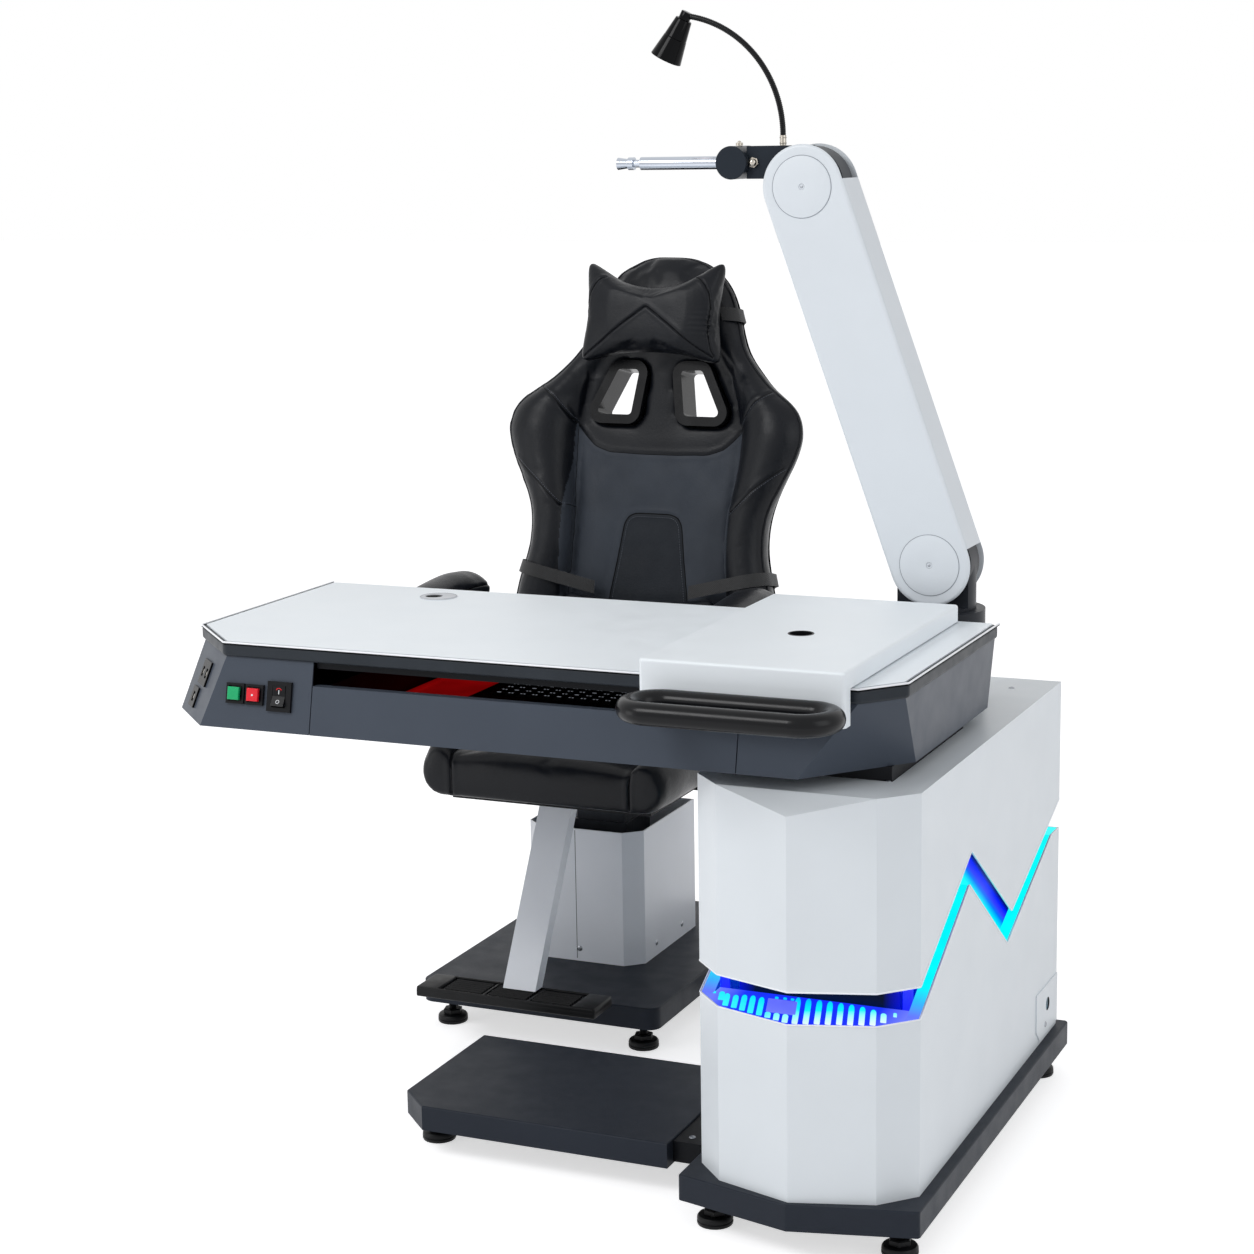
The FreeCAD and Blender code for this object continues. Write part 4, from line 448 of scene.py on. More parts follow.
def near_paths(obj, paths):
    """Each vertex's distance to the nearest of the paths."""
    points = [p for path in paths for p in resampled(path, 0.0015)]
    tree = kdtree.KDTree(len(points))
    for i, p in enumerate(points):
        tree.insert(p, i)
    tree.balance()
    return np.array([tree.find(v.co)[2] for v in obj.data.vertices])


def coordinates(mesh):
    """A mesh's points, as rows."""
    co = np.empty(len(mesh.vertices) * 3)
    mesh.vertices.foreach_get("co", co)
    return co.reshape(-1, 3)


def set_coordinates(mesh, co):
    """Moves a mesh's points to rows of places."""
    mesh.vertices.foreach_set("co", np.ascontiguousarray(co, dtype=np.float32).ravel())
    mesh.update()


def swell(obj, voxel, pressure, cap, seams, held):
    """Fills a pad: an even skin that cloth pressure swells between its sewn lines."""
    form = obj.modifiers.new("skin", "REMESH")
    form.mode = "VOXEL"
    form.voxel_size = voxel
    apply_all(obj)
    rest = coordinates(obj.data)
    pinned = held(rest)
    if seams:
        pinned |= near_paths(obj, seams) < voxel * 0.9
    group = obj.vertex_groups.new(name="sewn")
    group.add(np.flatnonzero(pinned).tolist(), 1.0, "REPLACE")
    cloth = obj.modifiers.new("padding", "CLOTH")
    cloth.settings.effector_weights.gravity = 0
    cloth.settings.use_pressure = True
    cloth.settings.uniform_pressure_force = pressure
    cloth.settings.vertex_group_mass = "sewn"
    cloth.point_cache.frame_end = SETTLING
    for number in range(1, SETTLING + 1):
        bpy.context.scene.frame_set(number)
    apply_all(obj)
    bpy.context.scene.frame_set(1)
    obj.vertex_groups.clear()
    moved = coordinates(obj.data) - rest
    size = np.linalg.norm(moved, axis=1, keepdims=True)
    set_coordinates(obj.data, rest + moved * np.minimum(1.0, cap / np.maximum(size, 1e-9)))
    fine = obj.modifiers.new("fine", "SUBSURF")
    fine.levels = fine.render_levels = 1
    apply_all(obj)
    return obj


def none_held(points):
    """A pillow's skin is held nowhere."""
    return np.zeros(len(points), bool)


def sew(obj, seams, width, depth, puff):
    """Makes the skin finer beside its seams and draws it in along them."""
    for reach in (0.009, 0.0045):
        distance = near_paths(obj, seams)
        bm = bmesh.new()
        bm.from_mesh(obj.data)
        bm.edges.ensure_lookup_table()
        close = [e for e in bm.edges
                 if max(distance[e.verts[0].index], distance[e.verts[1].index]) < reach]
        bmesh.ops.subdivide_edges(bm, edges=close, cuts=1, use_grid_fill=True)
        bm.to_mesh(obj.data)
        bm.free()
    distance = near_paths(obj, seams)
    normals = np.empty(len(obj.data.vertices) * 3)
    obj.data.vertices.foreach_get("normal", normals)
    inward = (depth * np.exp(-(distance / width) ** 2)
              - puff * np.exp(-((distance - 3 * width) / (1.8 * width)) ** 2))
    set_coordinates(obj.data, coordinates(obj.data) - normals.reshape(-1, 3) * inward[:, None])
    return obj


def gather(obj, centre, across, reach, pitch, depth):
    """Small folds that run out from a seam, side by side along a direction."""
    co = coordinates(obj.data)
    normals = np.empty(len(co) * 3)
    obj.data.vertices.foreach_get("normal", normals)
    off = co - np.array(centre)
    beside = off @ np.array(Vector(across).normalized())
    away = np.linalg.norm(off, axis=1)
    fold = (np.cos(math.tau * beside / pitch) - 1) / 2 * np.exp(-(away / reach) ** 2)
    set_coordinates(obj.data, co + normals.reshape(-1, 3) * (fold * depth)[:, None])


def on_skin(obj, path, lift=0.0):
    """A path brought onto a piece's surface, with the surface's outward direction."""
    points, ways = [], []
    for p in path:
        found, hit, normal, _ = obj.closest_point_on_mesh(Vector(p))
        points.append((hit if found else Vector(p)) + normal * lift)
        ways.append(normal.copy())
    return points, ways


# Geometry Nodes

def row_tree(along_path):
    """Sets a piece on points, or at an even pitch along a path, turned to the stored directions."""
    tree = bpy.data.node_groups.new("RowOfPieces", "GeometryNodeTree")
    face = tree.interface
    face.new_socket("Geometry", in_out="INPUT", socket_type="NodeSocketGeometry")
    face.new_socket("Piece", in_out="INPUT", socket_type="NodeSocketObject")
    face.new_socket("Finish", in_out="INPUT", socket_type="NodeSocketMaterial")
    if along_path:
        pitch = face.new_socket("Pitch", in_out="INPUT", socket_type="NodeSocketFloat")
        pitch.subtype = "DISTANCE"
    face.new_socket("Geometry", in_out="OUTPUT", socket_type="NodeSocketGeometry")
    add, link = tree.nodes.new, tree.links.new
    given, made = add("NodeGroupInput"), add("NodeGroupOutput")
    carrier = given.outputs["Geometry"]
    outward_way = add("GeometryNodeInputNamedAttribute")
    outward_way.data_type = "FLOAT_VECTOR"
    outward_way.inputs["Name"].default_value = "outward"
    turn = add("FunctionNodeAlignRotationToVector")
    turn.axis = "Z"
    link(outward_way.outputs["Attribute"], turn.inputs["Vector"])
    if along_path:
        path = add("GeometryNodeMeshToCurve")
        link(carrier, path.inputs["Mesh"])
        even = add("GeometryNodeResampleCurve")
        even.mode = "LENGTH"
        link(path.outputs["Curve"], even.inputs["Curve"])
        link(given.outputs["Pitch"], even.inputs["Length"])
        carrier = even.outputs["Curve"]
        tangent = add("GeometryNodeInputTangent")
        follow = add("FunctionNodeAlignRotationToVector")
        follow.axis = "X"
        link(tangent.outputs["Tangent"], follow.inputs["Vector"])
        turn.pivot_axis = "X"
        link(follow.outputs["Rotation"], turn.inputs["Rotation"])
    seed = add("GeometryNodeObjectInfo")
    link(given.outputs["Piece"], seed.inputs["Object"])
    stretch = add("GeometryNodeInputNamedAttribute")
    stretch.data_type = "FLOAT_VECTOR"
    stretch.inputs["Name"].default_value = "stretch"
    rows = add("GeometryNodeInstanceOnPoints")
    link(stretch.outputs["Attribute"], rows.inputs["Scale"])
    link(carrier, rows.inputs["Points"])
    link(seed.outputs["Geometry"], rows.inputs["Instance"])
    link(turn.outputs["Rotation"], rows.inputs["Rotation"])
    real = add("GeometryNodeRealizeInstances")
    link(rows.outputs["Instances"], real.inputs["Geometry"])
    paint = add("GeometryNodeSetMaterial")
    link(real.outputs["Geometry"], paint.inputs["Geometry"])
    link(given.outputs["Finish"], paint.inputs["Material"])
    link(paint.outputs["Geometry"], made.inputs["Geometry"])
    return tree


def row_of(name, piece, points, ways, finish, body, pitch=None, paths=None, sizes=None):
    """Copies of a piece on points, or along paths at a pitch, as one mesh."""
    edges = []
    if paths:
        points, ways = [], []
        for line, line_ways in paths:
            start = len(points)
            points += line
            ways += line_ways
            edges += [(i, i + 1) for i in range(start, len(points) - 1)]
    mesh = bpy.data.meshes.new(name)
    mesh.from_pydata([tuple(p) for p in points], edges, [])
    attribute = mesh.attributes.new("outward", "FLOAT_VECTOR", "POINT")
    attribute.data.foreach_set("vector", [c for w in ways for c in w])
    attribute = mesh.attributes.new("stretch", "FLOAT_VECTOR", "POINT")
    attribute.data.foreach_set("vector", [c for s in sizes or [(1, 1, 1)] * len(points)
                                          for c in s])
    obj = bpy.data.objects.new(name, mesh)
    bpy.context.scene.collection.objects.link(obj)
    tree = row_tree(bool(paths))
    nodes = obj.modifiers.new("row", "NODES")
    nodes.node_group = tree
    values = {"Piece": piece, "Finish": FINISHES[finish], "Pitch": pitch}
    for item in tree.interface.items_tree:
        if item.in_out == "INPUT" and item.name in values:
            nodes[item.identifier] = values[item.name]
    apply_all(obj)
    delete(piece)
    smooth(obj, 40)
    return dress(obj, finish, body)


# Finishes

def rgb(colour):
    """Linear colour of three sRGB bytes."""
    return [((c / 255 + 0.055) / 1.055) ** 2.4 if c > 10 else c / 255 / 12.92 for c in colour]


class Finish:
    """A procedural material on the piece's own coordinates."""

    def __init__(self, name, colour, roughness, metallic=0.0):
        self.material = bpy.data.materials.new(name)
        self.material.use_nodes = True
        self.tree = self.material.node_tree
        self.shader = self.tree.nodes["Principled BSDF"]
        self.colour = rgb(colour)
        self.shader.inputs["Base Color"].default_value = (*self.colour, 1)
        self.shader.inputs["Roughness"].default_value = roughness
        self.shader.inputs["Metallic"].default_value = metallic
        self.material.diffuse_color = (*self.colour, 1)
        self.coords = self.add("ShaderNodeTexCoord").outputs["Object"]
        self.height = None

    def add(self, kind):
        return self.tree.nodes.new(kind)

    def link(self, a, b):
        self.tree.links.new(a, b)

    def noise(self, scale, detail=2.0, coords=None):
        node = self.add("ShaderNodeTexNoise")
        node.inputs["Scale"].default_value = scale
        node.inputs["Detail"].default_value = detail
        self.link(coords or self.coords, node.inputs["Vector"])
        return node.outputs["Fac"]

    def cells(self, scale, feature="F1"):
        node = self.add("ShaderNodeTexVoronoi")
        node.feature = feature
        node.inputs["Scale"].default_value = scale
        self.link(self.coords, node.inputs["Vector"])
        return node.outputs["Distance"]

    def stretched(self, scale):
        node = self.add("ShaderNodeMapping")
        node.inputs["Scale"].default_value = scale
        self.link(self.coords, node.inputs["Vector"])
        return node.outputs["Vector"]

    def ranged(self, value, low, high, to_low, to_high):
        node = self.add("ShaderNodeMapRange")
        for name, number in (("From Min", low), ("From Max", high), ("To Min", to_low),
                             ("To Max", to_high)):
            node.inputs[name].default_value = number
        self.link(value, node.inputs["Value"])
        return node.outputs["Result"]

    def times(self, *values):
        """The product of several values."""
        total = values[0]
        for value in values[1:]:
            node = self.add("ShaderNodeMath")
            node.operation = "MULTIPLY"
            self.link(total, node.inputs[0])
            self.link(value, node.inputs[1])
            total = node.outputs[0]
        return total

    def drawing(self):
        """The place in the unit's drawing, in millimetres."""
        node = self.add("ShaderNodeMapping")
        node.inputs["Scale"].default_value = (1 / MM, 1 / MM, 1 / MM)
        node.inputs["Location"].default_value = -SHIFT / MM
        self.link(self.coords, node.inputs["Vector"])
        return node.outputs["Vector"]

    def towards(self, way, start, end, place=None):
        """0 to 1 between two distances along a direction of the drawing."""
        node = self.add("ShaderNodeVectorMath")
        node.operation = "DOT_PRODUCT"
        self.link(place or self.drawing(), node.inputs[0])
        node.inputs[1].default_value = way
        return self.ranged(node.outputs["Value"], start, end, 0, 1)

    def from_middle(self, near, far, place):
        """0 to 1 between two distances from the column's middle plane."""
        parts = self.add("ShaderNodeSeparateXYZ")
        self.link(place, parts.inputs["Vector"])
        size = self.add("ShaderNodeMath")
        size.operation = "ABSOLUTE"
        self.link(parts.outputs["X"], size.inputs[0])
        return self.ranged(size.outputs["Value"], near, far, 0, 1)

    def ramp(self, value, stops):
        node = self.add("ShaderNodeValToRGB")
        elements = node.color_ramp.elements
        elements[0].position, elements[0].color = stops[0][0], (*rgb(stops[0][1]), 1)
        elements[1].position, elements[1].color = stops[-1][0], (*rgb(stops[-1][1]), 1)
        for at, colour in stops[1:-1]:
            elements.new(at).color = (*rgb(colour), 1)
        self.link(value, node.inputs["Fac"])
        return node.outputs["Color"]

    def blend(self, factor, first, second):
        mix = self.add("ShaderNodeMix")
        mix.data_type = "RGBA"
        self.link(factor, mix.inputs["Factor"])
        for name, colour in (("A", first), ("B", second)):
            if isinstance(colour, tuple):
                mix.inputs[name].default_value = (*rgb(colour), 1)
            else:
                self.link(colour, mix.inputs[name])
        return mix.outputs["Result"]

    def shine(self, colour, strength=1.0):
        """Lights the surface with a colour that varies over it."""
        self.link(colour, self.shader.inputs["Emission Color"])
        if isinstance(strength, float):
            self.shader.inputs["Emission Strength"].default_value = strength
        else:
            self.link(strength, self.shader.inputs["Emission Strength"])
        return self

    def dull(self, level):
        """How strongly a dark surface mirrors the bright room."""
        self.shader.inputs["Specular IOR Level"].default_value = level
        return self

    def vary_colour(self, value, darker, lighter, low=0.35, high=0.65):
        """Moves the colour between two strengths of itself."""
        mix = self.add("ShaderNodeMix")
        mix.data_type = "RGBA"
        mix.inputs["A"].default_value = (*[c * darker for c in self.colour], 1)
        mix.inputs["B"].default_value = (*[min(1, c * lighter) for c in self.colour], 1)
        self.link(self.ranged(value, low, high, 0, 1), mix.inputs["Factor"])
        self.link(mix.outputs["Result"], self.shader.inputs["Base Color"])
        return self

    def vary_roughness(self, value, low, high):
        self.link(self.ranged(value, 0.3, 0.7, low, high), self.shader.inputs["Roughness"])
        return self

    def relief(self, value, distance, strength=1.0):
        """Adds a layer of bump."""
        node = self.add("ShaderNodeBump")
        node.inputs["Distance"].default_value = distance
        node.inputs["Strength"].default_value = strength
        self.link(value, node.inputs["Height"])
        if self.height:
            self.link(self.height, node.inputs["Normal"])
        self.height = node.outputs["Normal"]
        self.link(self.height, self.shader.inputs["Normal"])
        return self

    def set(self, **values):
        for name, value in values.items():
            self.shader.inputs[name.replace("_", " ").title()].default_value = value
        return self


def paint(name, colour, roughness, grain, depth, spread=0.03, gloss=0.5):
    """Baked enamel with a fine orange peel."""
    made = Finish(name, colour, roughness).dull(gloss)
    made.vary_colour(made.noise(7.0, 4.0), 1 - spread, 1 + spread)
    made.vary_roughness(made.noise(23.0, 3.0), roughness * 0.9, roughness * 1.12)
    return made.relief(made.noise(grain, 2.0), depth).material


def grained(name, colour, roughness, grain, depth, sheen=0.0, gloss=0.13):
    """Coated leather: pebbles with fine creases between them."""
    made = Finish(name, colour, roughness).dull(gloss)
    made.vary_colour(made.noise(11.0, 4.0), 0.92, 1.09)
    made.vary_roughness(made.noise(30.0, 4.0), roughness * 0.85, roughness * 1.18)
    made.relief(made.cells(grain, "F1"), depth)
    made.relief(made.noise(grain * 0.22, 3.0), depth * 1.6)
    made.set(sheen_weight=sheen, sheen_roughness=0.4)
    return made.material


def plastic(name, colour, roughness, grain=900.0, depth=0.00004, gloss=0.15):
    """Moulded plastic or rubber with a fine texture."""
    made = Finish(name, colour, roughness).dull(gloss)
    made.vary_colour(made.noise(14.0, 3.0), 0.92, 1.08)
    made.vary_roughness(made.noise(40.0, 3.0), roughness * 0.85, roughness * 1.15)
    return made.relief(made.noise(grain, 2.0), depth).material


def metal(name, colour, roughness, brushed=(300.0, 300.0, 20.0), depth=0.00001):
    """Bare metal with fine brushed lines."""
    made = Finish(name, colour, roughness, metallic=1.0)
    lines = made.noise(1.0, 3.0, made.stretched(brushed))
    made.vary_colour(lines, 0.93, 1.05)
    made.vary_roughness(lines, roughness * 0.8, roughness * 1.3)
    return made.relief(lines, depth).material


def slot_light():
    """The row of lit slots: white at the front, blue at the back, and cyan at the left."""
    made = Finish("SlotLight", (0, 12, 40), 0.4).dull(0.1)
    place = made.drawing()
    along = made.from_middle(0.0, 300.0, place)
    back = made.towards((0.0, 1.0, 0.0), 0.0, 120.0, place)
    off = made.add("ShaderNodeMath")
    off.operation = "SUBTRACT"
    made.link(back, off.inputs[0])
    made.link(along, off.inputs[1])
    hot = made.ramp(off.outputs["Value"], ((0.0, (236, 255, 255)), (0.22, (190, 255, 255)),
                                           (0.5, (20, 250, 255)), (0.8, (0, 214, 255)),
                                           (1.0, (0, 110, 255))))
    cool = made.ramp(off.outputs["Value"], ((0.0, (60, 250, 255)), (0.5, (0, 236, 255)),
                                            (1.0, (0, 150, 255))))
    side = made.towards((1.0, 0.0, 0.0), -50.0, 10.0, place)
    haze = made.ranged(made.noise(40.0, 2.0), 0.3, 0.7, 0.95, 1.05)
    return made.shine(made.blend(side, cool, hot), haze).material


def ledge_light():
    """The ledge in the gap, with the slots' light painted on as glow: blue between its slots, paler
    at its ends, cyan on its strips.
    """
    made = Finish("LedgeLight", (6, 8, 40), 0.45).dull(0.15)
    place = made.drawing()
    run = made.ramp(made.towards((0.0, 1.0, 0.0), 0.0, 830.0, place),
                    ((0.0, (112, 128, 255)), (0.107, (104, 124, 255)), (0.13, (60, 180, 255)),
                     (0.165, (0, 250, 255)), (1.0, (0, 255, 255))))
    shelf = made.ramp(made.from_middle(0.0, 142.0, place),
                      ((0.0, (20, 44, 255)), (0.7, (30, 56, 255)), (0.9, (96, 112, 255)),
                       (1.0, (112, 128, 255))))
    haze = made.ranged(made.noise(30.0, 2.0), 0.3, 0.7, 0.94, 1.06)
    return made.shine(made.blend(made.from_middle(140.0, 142.0, place), shelf, run),
                      haze).material


def core_light():
    """The dark core behind the gap, with the light that falls on its sides."""
    made = Finish("CoreLight", (13, 15, 20), 0.5).dull(0.2)
    place = made.drawing()
    fall = made.ramp(made.towards((0.0, 0.569, 0.822), 647.7, 603.1, place),
                     ((0.0, (0, 0, 110)), (0.18, (0, 14, 255)), (0.42, (52, 56, 255)),
                      (0.6, (0, 110, 255)), (0.85, (0, 225, 255)), (1.0, (0, 255, 255))))
    behind = made.towards((0.0, 1.0, 0.0), 380.0, 398.0, place)
    colour = made.blend(behind, (0, 0, 190), fall)
    lit = made.times(made.from_middle(94.0, 116.0, place),
                     made.towards((0.0, 0.0, -1.0), -545.0, -515.0, place),
                     made.towards((0.0, 0.0, 1.0), 200.0, 230.0, place))
    return made.shine(colour, lit).material


def glow(name, colour, strength):
    """A surface that gives light of its own colour."""
    made = Finish(name, colour, 0.4)
    made.shader.inputs["Emission Color"].default_value = (*made.colour, 1)
    haze = made.ranged(made.noise(18.0, 2.0), 0.3, 0.7, strength * 0.85, strength * 1.15)
    made.link(haze, made.shader.inputs["Emission Strength"])
    return made.material


def woven(name, colour, pitch):
    """Flat webbing with a twill."""
    made = Finish(name, colour, 0.75)
    wave = made.add("ShaderNodeTexWave")
    wave.inputs["Scale"].default_value = pitch
    wave.inputs["Distortion"].default_value = 0.6
    wave.bands_direction = "DIAGONAL"
    made.link(made.coords, wave.inputs["Vector"])
    made.vary_colour(wave.outputs["Fac"], 0.75, 1.25, 0.2, 0.8)
    made.relief(wave.outputs["Fac"], 0.0004)
    made.set(sheen_weight=0.3)
    return made.material


FINISHES = {}
NODE_FINISH = {
    "column_base_plate": "navy_plate", "extension_plate": "navy_plate",
    "chair_base_plate": "navy_plate", "base_links": "black_metal",
    "column_lower_housing": "white_sheet", "column_upper_housing": "white_sheet",
    "cable_port_plate": "white_sheet", "column_core": "core_light",
    "led_ledge": "ledge_light", "led_panel": "panel_glow", "power_supply": "steel",
    "housing_screws": "steel", "levelling_feet": "black_rubber",
    "table_body": "slate_sheet", "control_bezels": "black_plastic",
    "socket_outlets": "black_gloss", "tabletop": "white_board", "edge_band": "slate_band",
    "table_grommet": "grey_plastic", "table_rails": "black_metal", "post_bearing": "dark_post",
    "chair_column_housing": "light_grey_sheet", "lift_column": "core_steel",
    "drawer_front": "slate_sheet", "drawer_box": "black_metal", "drawer_mat": "red_mat",
    "drawer_keypad": "black_plastic", "green_button": "green_cap", "red_button": "red_cap",
    "power_rocker": "black_plastic", "instrument_tray": "white_board",
    "tray_handle": "black_satin", "tray_glides": "nylon", "arm_post": "dark_post",
    "arm_shell": "white_arm", "pivot_covers": "white_arm", "levelling_rod": "steel",
    "head_bracket": "bracket_slate", "knuckle_barrel": "bracket_slate",
    "instrument_rod": "polished_rod",
    "clamp_screw": "nickel", "lamp_ferrule": "nickel", "lamp_gooseneck": "black_rubber",
    "lamp_head": "black_gloss", "lamp_lens": "lens", "lift_inner_tube": "core_steel",
    "seat_pan": "board_shell", "footrest_leg": "light_grey_sheet",
    "footrest_plate": "black_rubber", "armrest_posts": "black_metal",
    "recliner_plates": "black_metal", "backrest_shell": "board_shell",
    "opening_frames": "black_satin"}


def make_finishes(tones):
    """Every material of the unit, by the name of its finish."""
    def tone(name):
        return [round(255 * c) for c in getattr(tones, name)]

    FINISHES.update(
        white_sheet=paint("WhiteSheet", tone("white_paint"), 0.38, 900.0, 0.00003, 0.012),
        white_arm=paint("WhiteArm", tone("white_arm"), 0.36, 1100.0, 0.00003, 0.01),
        white_board=paint("WhiteBoard", tone("white_top"), 0.42, 1400.0, 0.00002, 0.01),
        # white_edge: near-white cords that paint highlights along bright edges
        white_edge=paint("WhiteEdge", (248, 250, 255), 0.3, 900.0, 0.00001, 0.01),
        light_grey_sheet=paint("LightGreySheet", tone("grey_paint"), 0.32, 900.0, 0.00003, 0.02),
        slate_sheet=paint("SlateSheet", tone("slate"), 0.36, 1000.0, 0.00004, 0.03, 0.18),
        slate_band=plastic("SlateBand", tone("slate_band"), 0.38),
        navy_plate=paint("NavyPlate", tone("navy"), 0.45, 650.0, 0.00016, 0.05, 0.14),
        dark_post=paint("DarkPost", (38, 41, 47), 0.38, 800.0, 0.00008, 0.05, 0.15),
        bracket_slate=paint("BracketSlate", (38, 44, 52), 0.36, 900.0, 0.00004, 0.05, 0.1),
        black_metal=paint("BlackMetal", (14, 16, 20), 0.36, 900.0, 0.00005, 0.08, 0.1),
        black_satin=plastic("BlackSatin", (11, 12, 15), 0.24, 900.0, 0.000006, 0.2),
        black_gloss=plastic("BlackGloss", (5, 6, 8), 0.12, 300.0, 0.000003, 0.1),
        black_plastic=plastic("BlackPlastic", (14, 15, 18), 0.36),
        groove_grey=plastic("GrooveGrey", (150, 155, 163), 0.5),
        mark_white=plastic("MarkWhite", (232, 236, 240), 0.45),
        mark_red=plastic("MarkRed", (210, 40, 44), 0.45),
        grey_plastic=plastic("GreyPlastic", (204, 207, 212), 0.42),
        black_rubber=plastic("BlackRubber", (15, 16, 18), 0.42, 500.0, 0.00008, 0.18),
        nylon=plastic("Nylon", (225, 224, 218), 0.5),
        core_steel=metal("CoreSteel", (62, 65, 70), 0.42),
        # ledge_light: painted light, the slots' glow on the ledge given as emission
        core_light=core_light(), ledge_light=ledge_light(), slot_light=slot_light(),
        slot_cover=glow("SlotCover", (98, 108, 238), 1.0),
        steel=metal("Steel", (158, 162, 168), 0.3),
        nickel=metal("Nickel", (182, 176, 166), 0.2, (60.0, 60.0, 60.0)),
        polished_rod=metal("PolishedRod", (190, 196, 206), 0.12, (8.0, 160.0, 160.0), 0.0),
        # key_mark: the keypad's pale print, given a painted glow
        key_mark=glow("KeyMark", (160, 166, 176), 0.5),
        # painted light: the slots' blue glow on the ledge's upright ends
        ledge_end=glow("LedgeEnd", (22, 32, 232), 1.0),
        green_cap=plastic("GreenCap", (0, 168, 104), 0.22, 200.0, 0.00001, 0.4),
        red_cap=plastic("RedCap", (222, 20, 40), 0.22, 200.0, 0.00001, 0.4),
        # red_mat: the mat's own red, made to glow as painted light in the shaded drawer
        red_mat=glow("RedMat", (150, 6, 8), 0.4),
        lens=glow("Lens", (255, 250, 248), 0.9),
        lens_dot=glow("LensDot", (255, 206, 196), 0.85),
        panel_glow=glow("PanelGlow", (0, 120, 255), 2.0),
        black_leather=grained("BlackLeather", tone("leather"), 0.34, 750.0, 0.00014, 0.01, 0.2),
        panel_leather=grained("PanelLeather", tone("panel_leather"), 0.48, 900.0, 0.00013, 0.04),
        patch_leather=grained("PatchLeather", tone("patch_leather"), 0.5, 1100.0, 0.0002, 0.05),
        seam_line=plastic("SeamLine", (7, 8, 9), 0.7, gloss=0.1),
        # thread: the dark thread's own colour, lightened as a painted highlight on the stitches
        thread=plastic("Thread", (86, 91, 100), 0.6),
        webbing=woven("BlackWebbing", (20, 21, 23), 160.0),
        board_shell=grained("RearLeather", (18, 20, 23), 0.5, 650.0, 0.0002))


def finish_nodes():
    """Paints the model's own pieces."""
    for node, name in NODE_FINISH.items():
        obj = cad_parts[node]
        obj.data.materials.clear()
        obj.data.materials.append(FINISHES[name])


# Backrest

WING_HIGH = ((228, 371), (198, 350), (180, 328), (168, 310))
WING_LOW = ((266, 232), (214, 192), (166, 148))
YOKE = ((167, 309), (152, 287), (129, 265), (98, 254), (33, 252), (0, 252))
PATCH = ((-80, -40), (-76, -2), (-67, 52), (-57, 124), (-50, 137), (-36, 143), (36, 143), (50, 137),
         (57, 124), (67, 52), (76, -2), (80, -40))


def back_path(points, lift=0.0, pitch=0.004):
    """A path drawn on the backrest's front, from (across, along) points."""
    flat = rounded_path([Vector((a, h, 0)) * MM for a, h in points], pitch, 4)
    return [on_back(p.x / MM, p.y / MM, back_face(p.x / MM, p.y / MM) + lift) for p in flat]


def both_sides(points):
    """A line of (across, along) points and its mirror image."""
    return [points, [(-a, h) for a, h in points]]


def panel_edge(low, high, step=12):
    """The edge of the backrest's panel between two heights."""
    return [(back_row(h)[1], h) for h in range(low, high, step)]


def rounded_outline(corners, radius, spread, steps=6):
    """The corners of a polygon rounded, then moved out by a spread."""
    pts = [Vector(c) for c in corners]
    count = len(pts)
    out = []
    for i, p in enumerate(pts):
        into = (p - pts[i - 1]).normalized()
        away = (pts[(i + 1) % count] - p).normalized()
        n_in = Vector((into.y, -into.x))
        n_out = Vector((away.y, -away.x))
        half = into.angle_signed(away) / 2
        core = p - (n_in + n_out).normalized() * radius / math.cos(half)
        start = math.atan2(n_in.y, n_in.x)
        sweep = (math.atan2(n_out.y, n_out.x) - start) % math.tau
        for k in range(steps + 1):
            q = start + sweep * k / steps
            out.append(core + Vector((math.cos(q), math.sin(q))) * (radius + spread))
    return out


def opening_cutter(side, spread):
    """A prism through the backrest at one of its openings."""
    corners = OPENING if side > 0 else [(-a, h) for a, h in reversed(OPENING)]
    outline = rounded_outline(corners, OPENING_ROUND, spread)
    rings = [[on_back(p.x, p.y, f) for p in outline] for f in (-120.0, 80.0)]
    return rings_object("opening_cutter", rings)


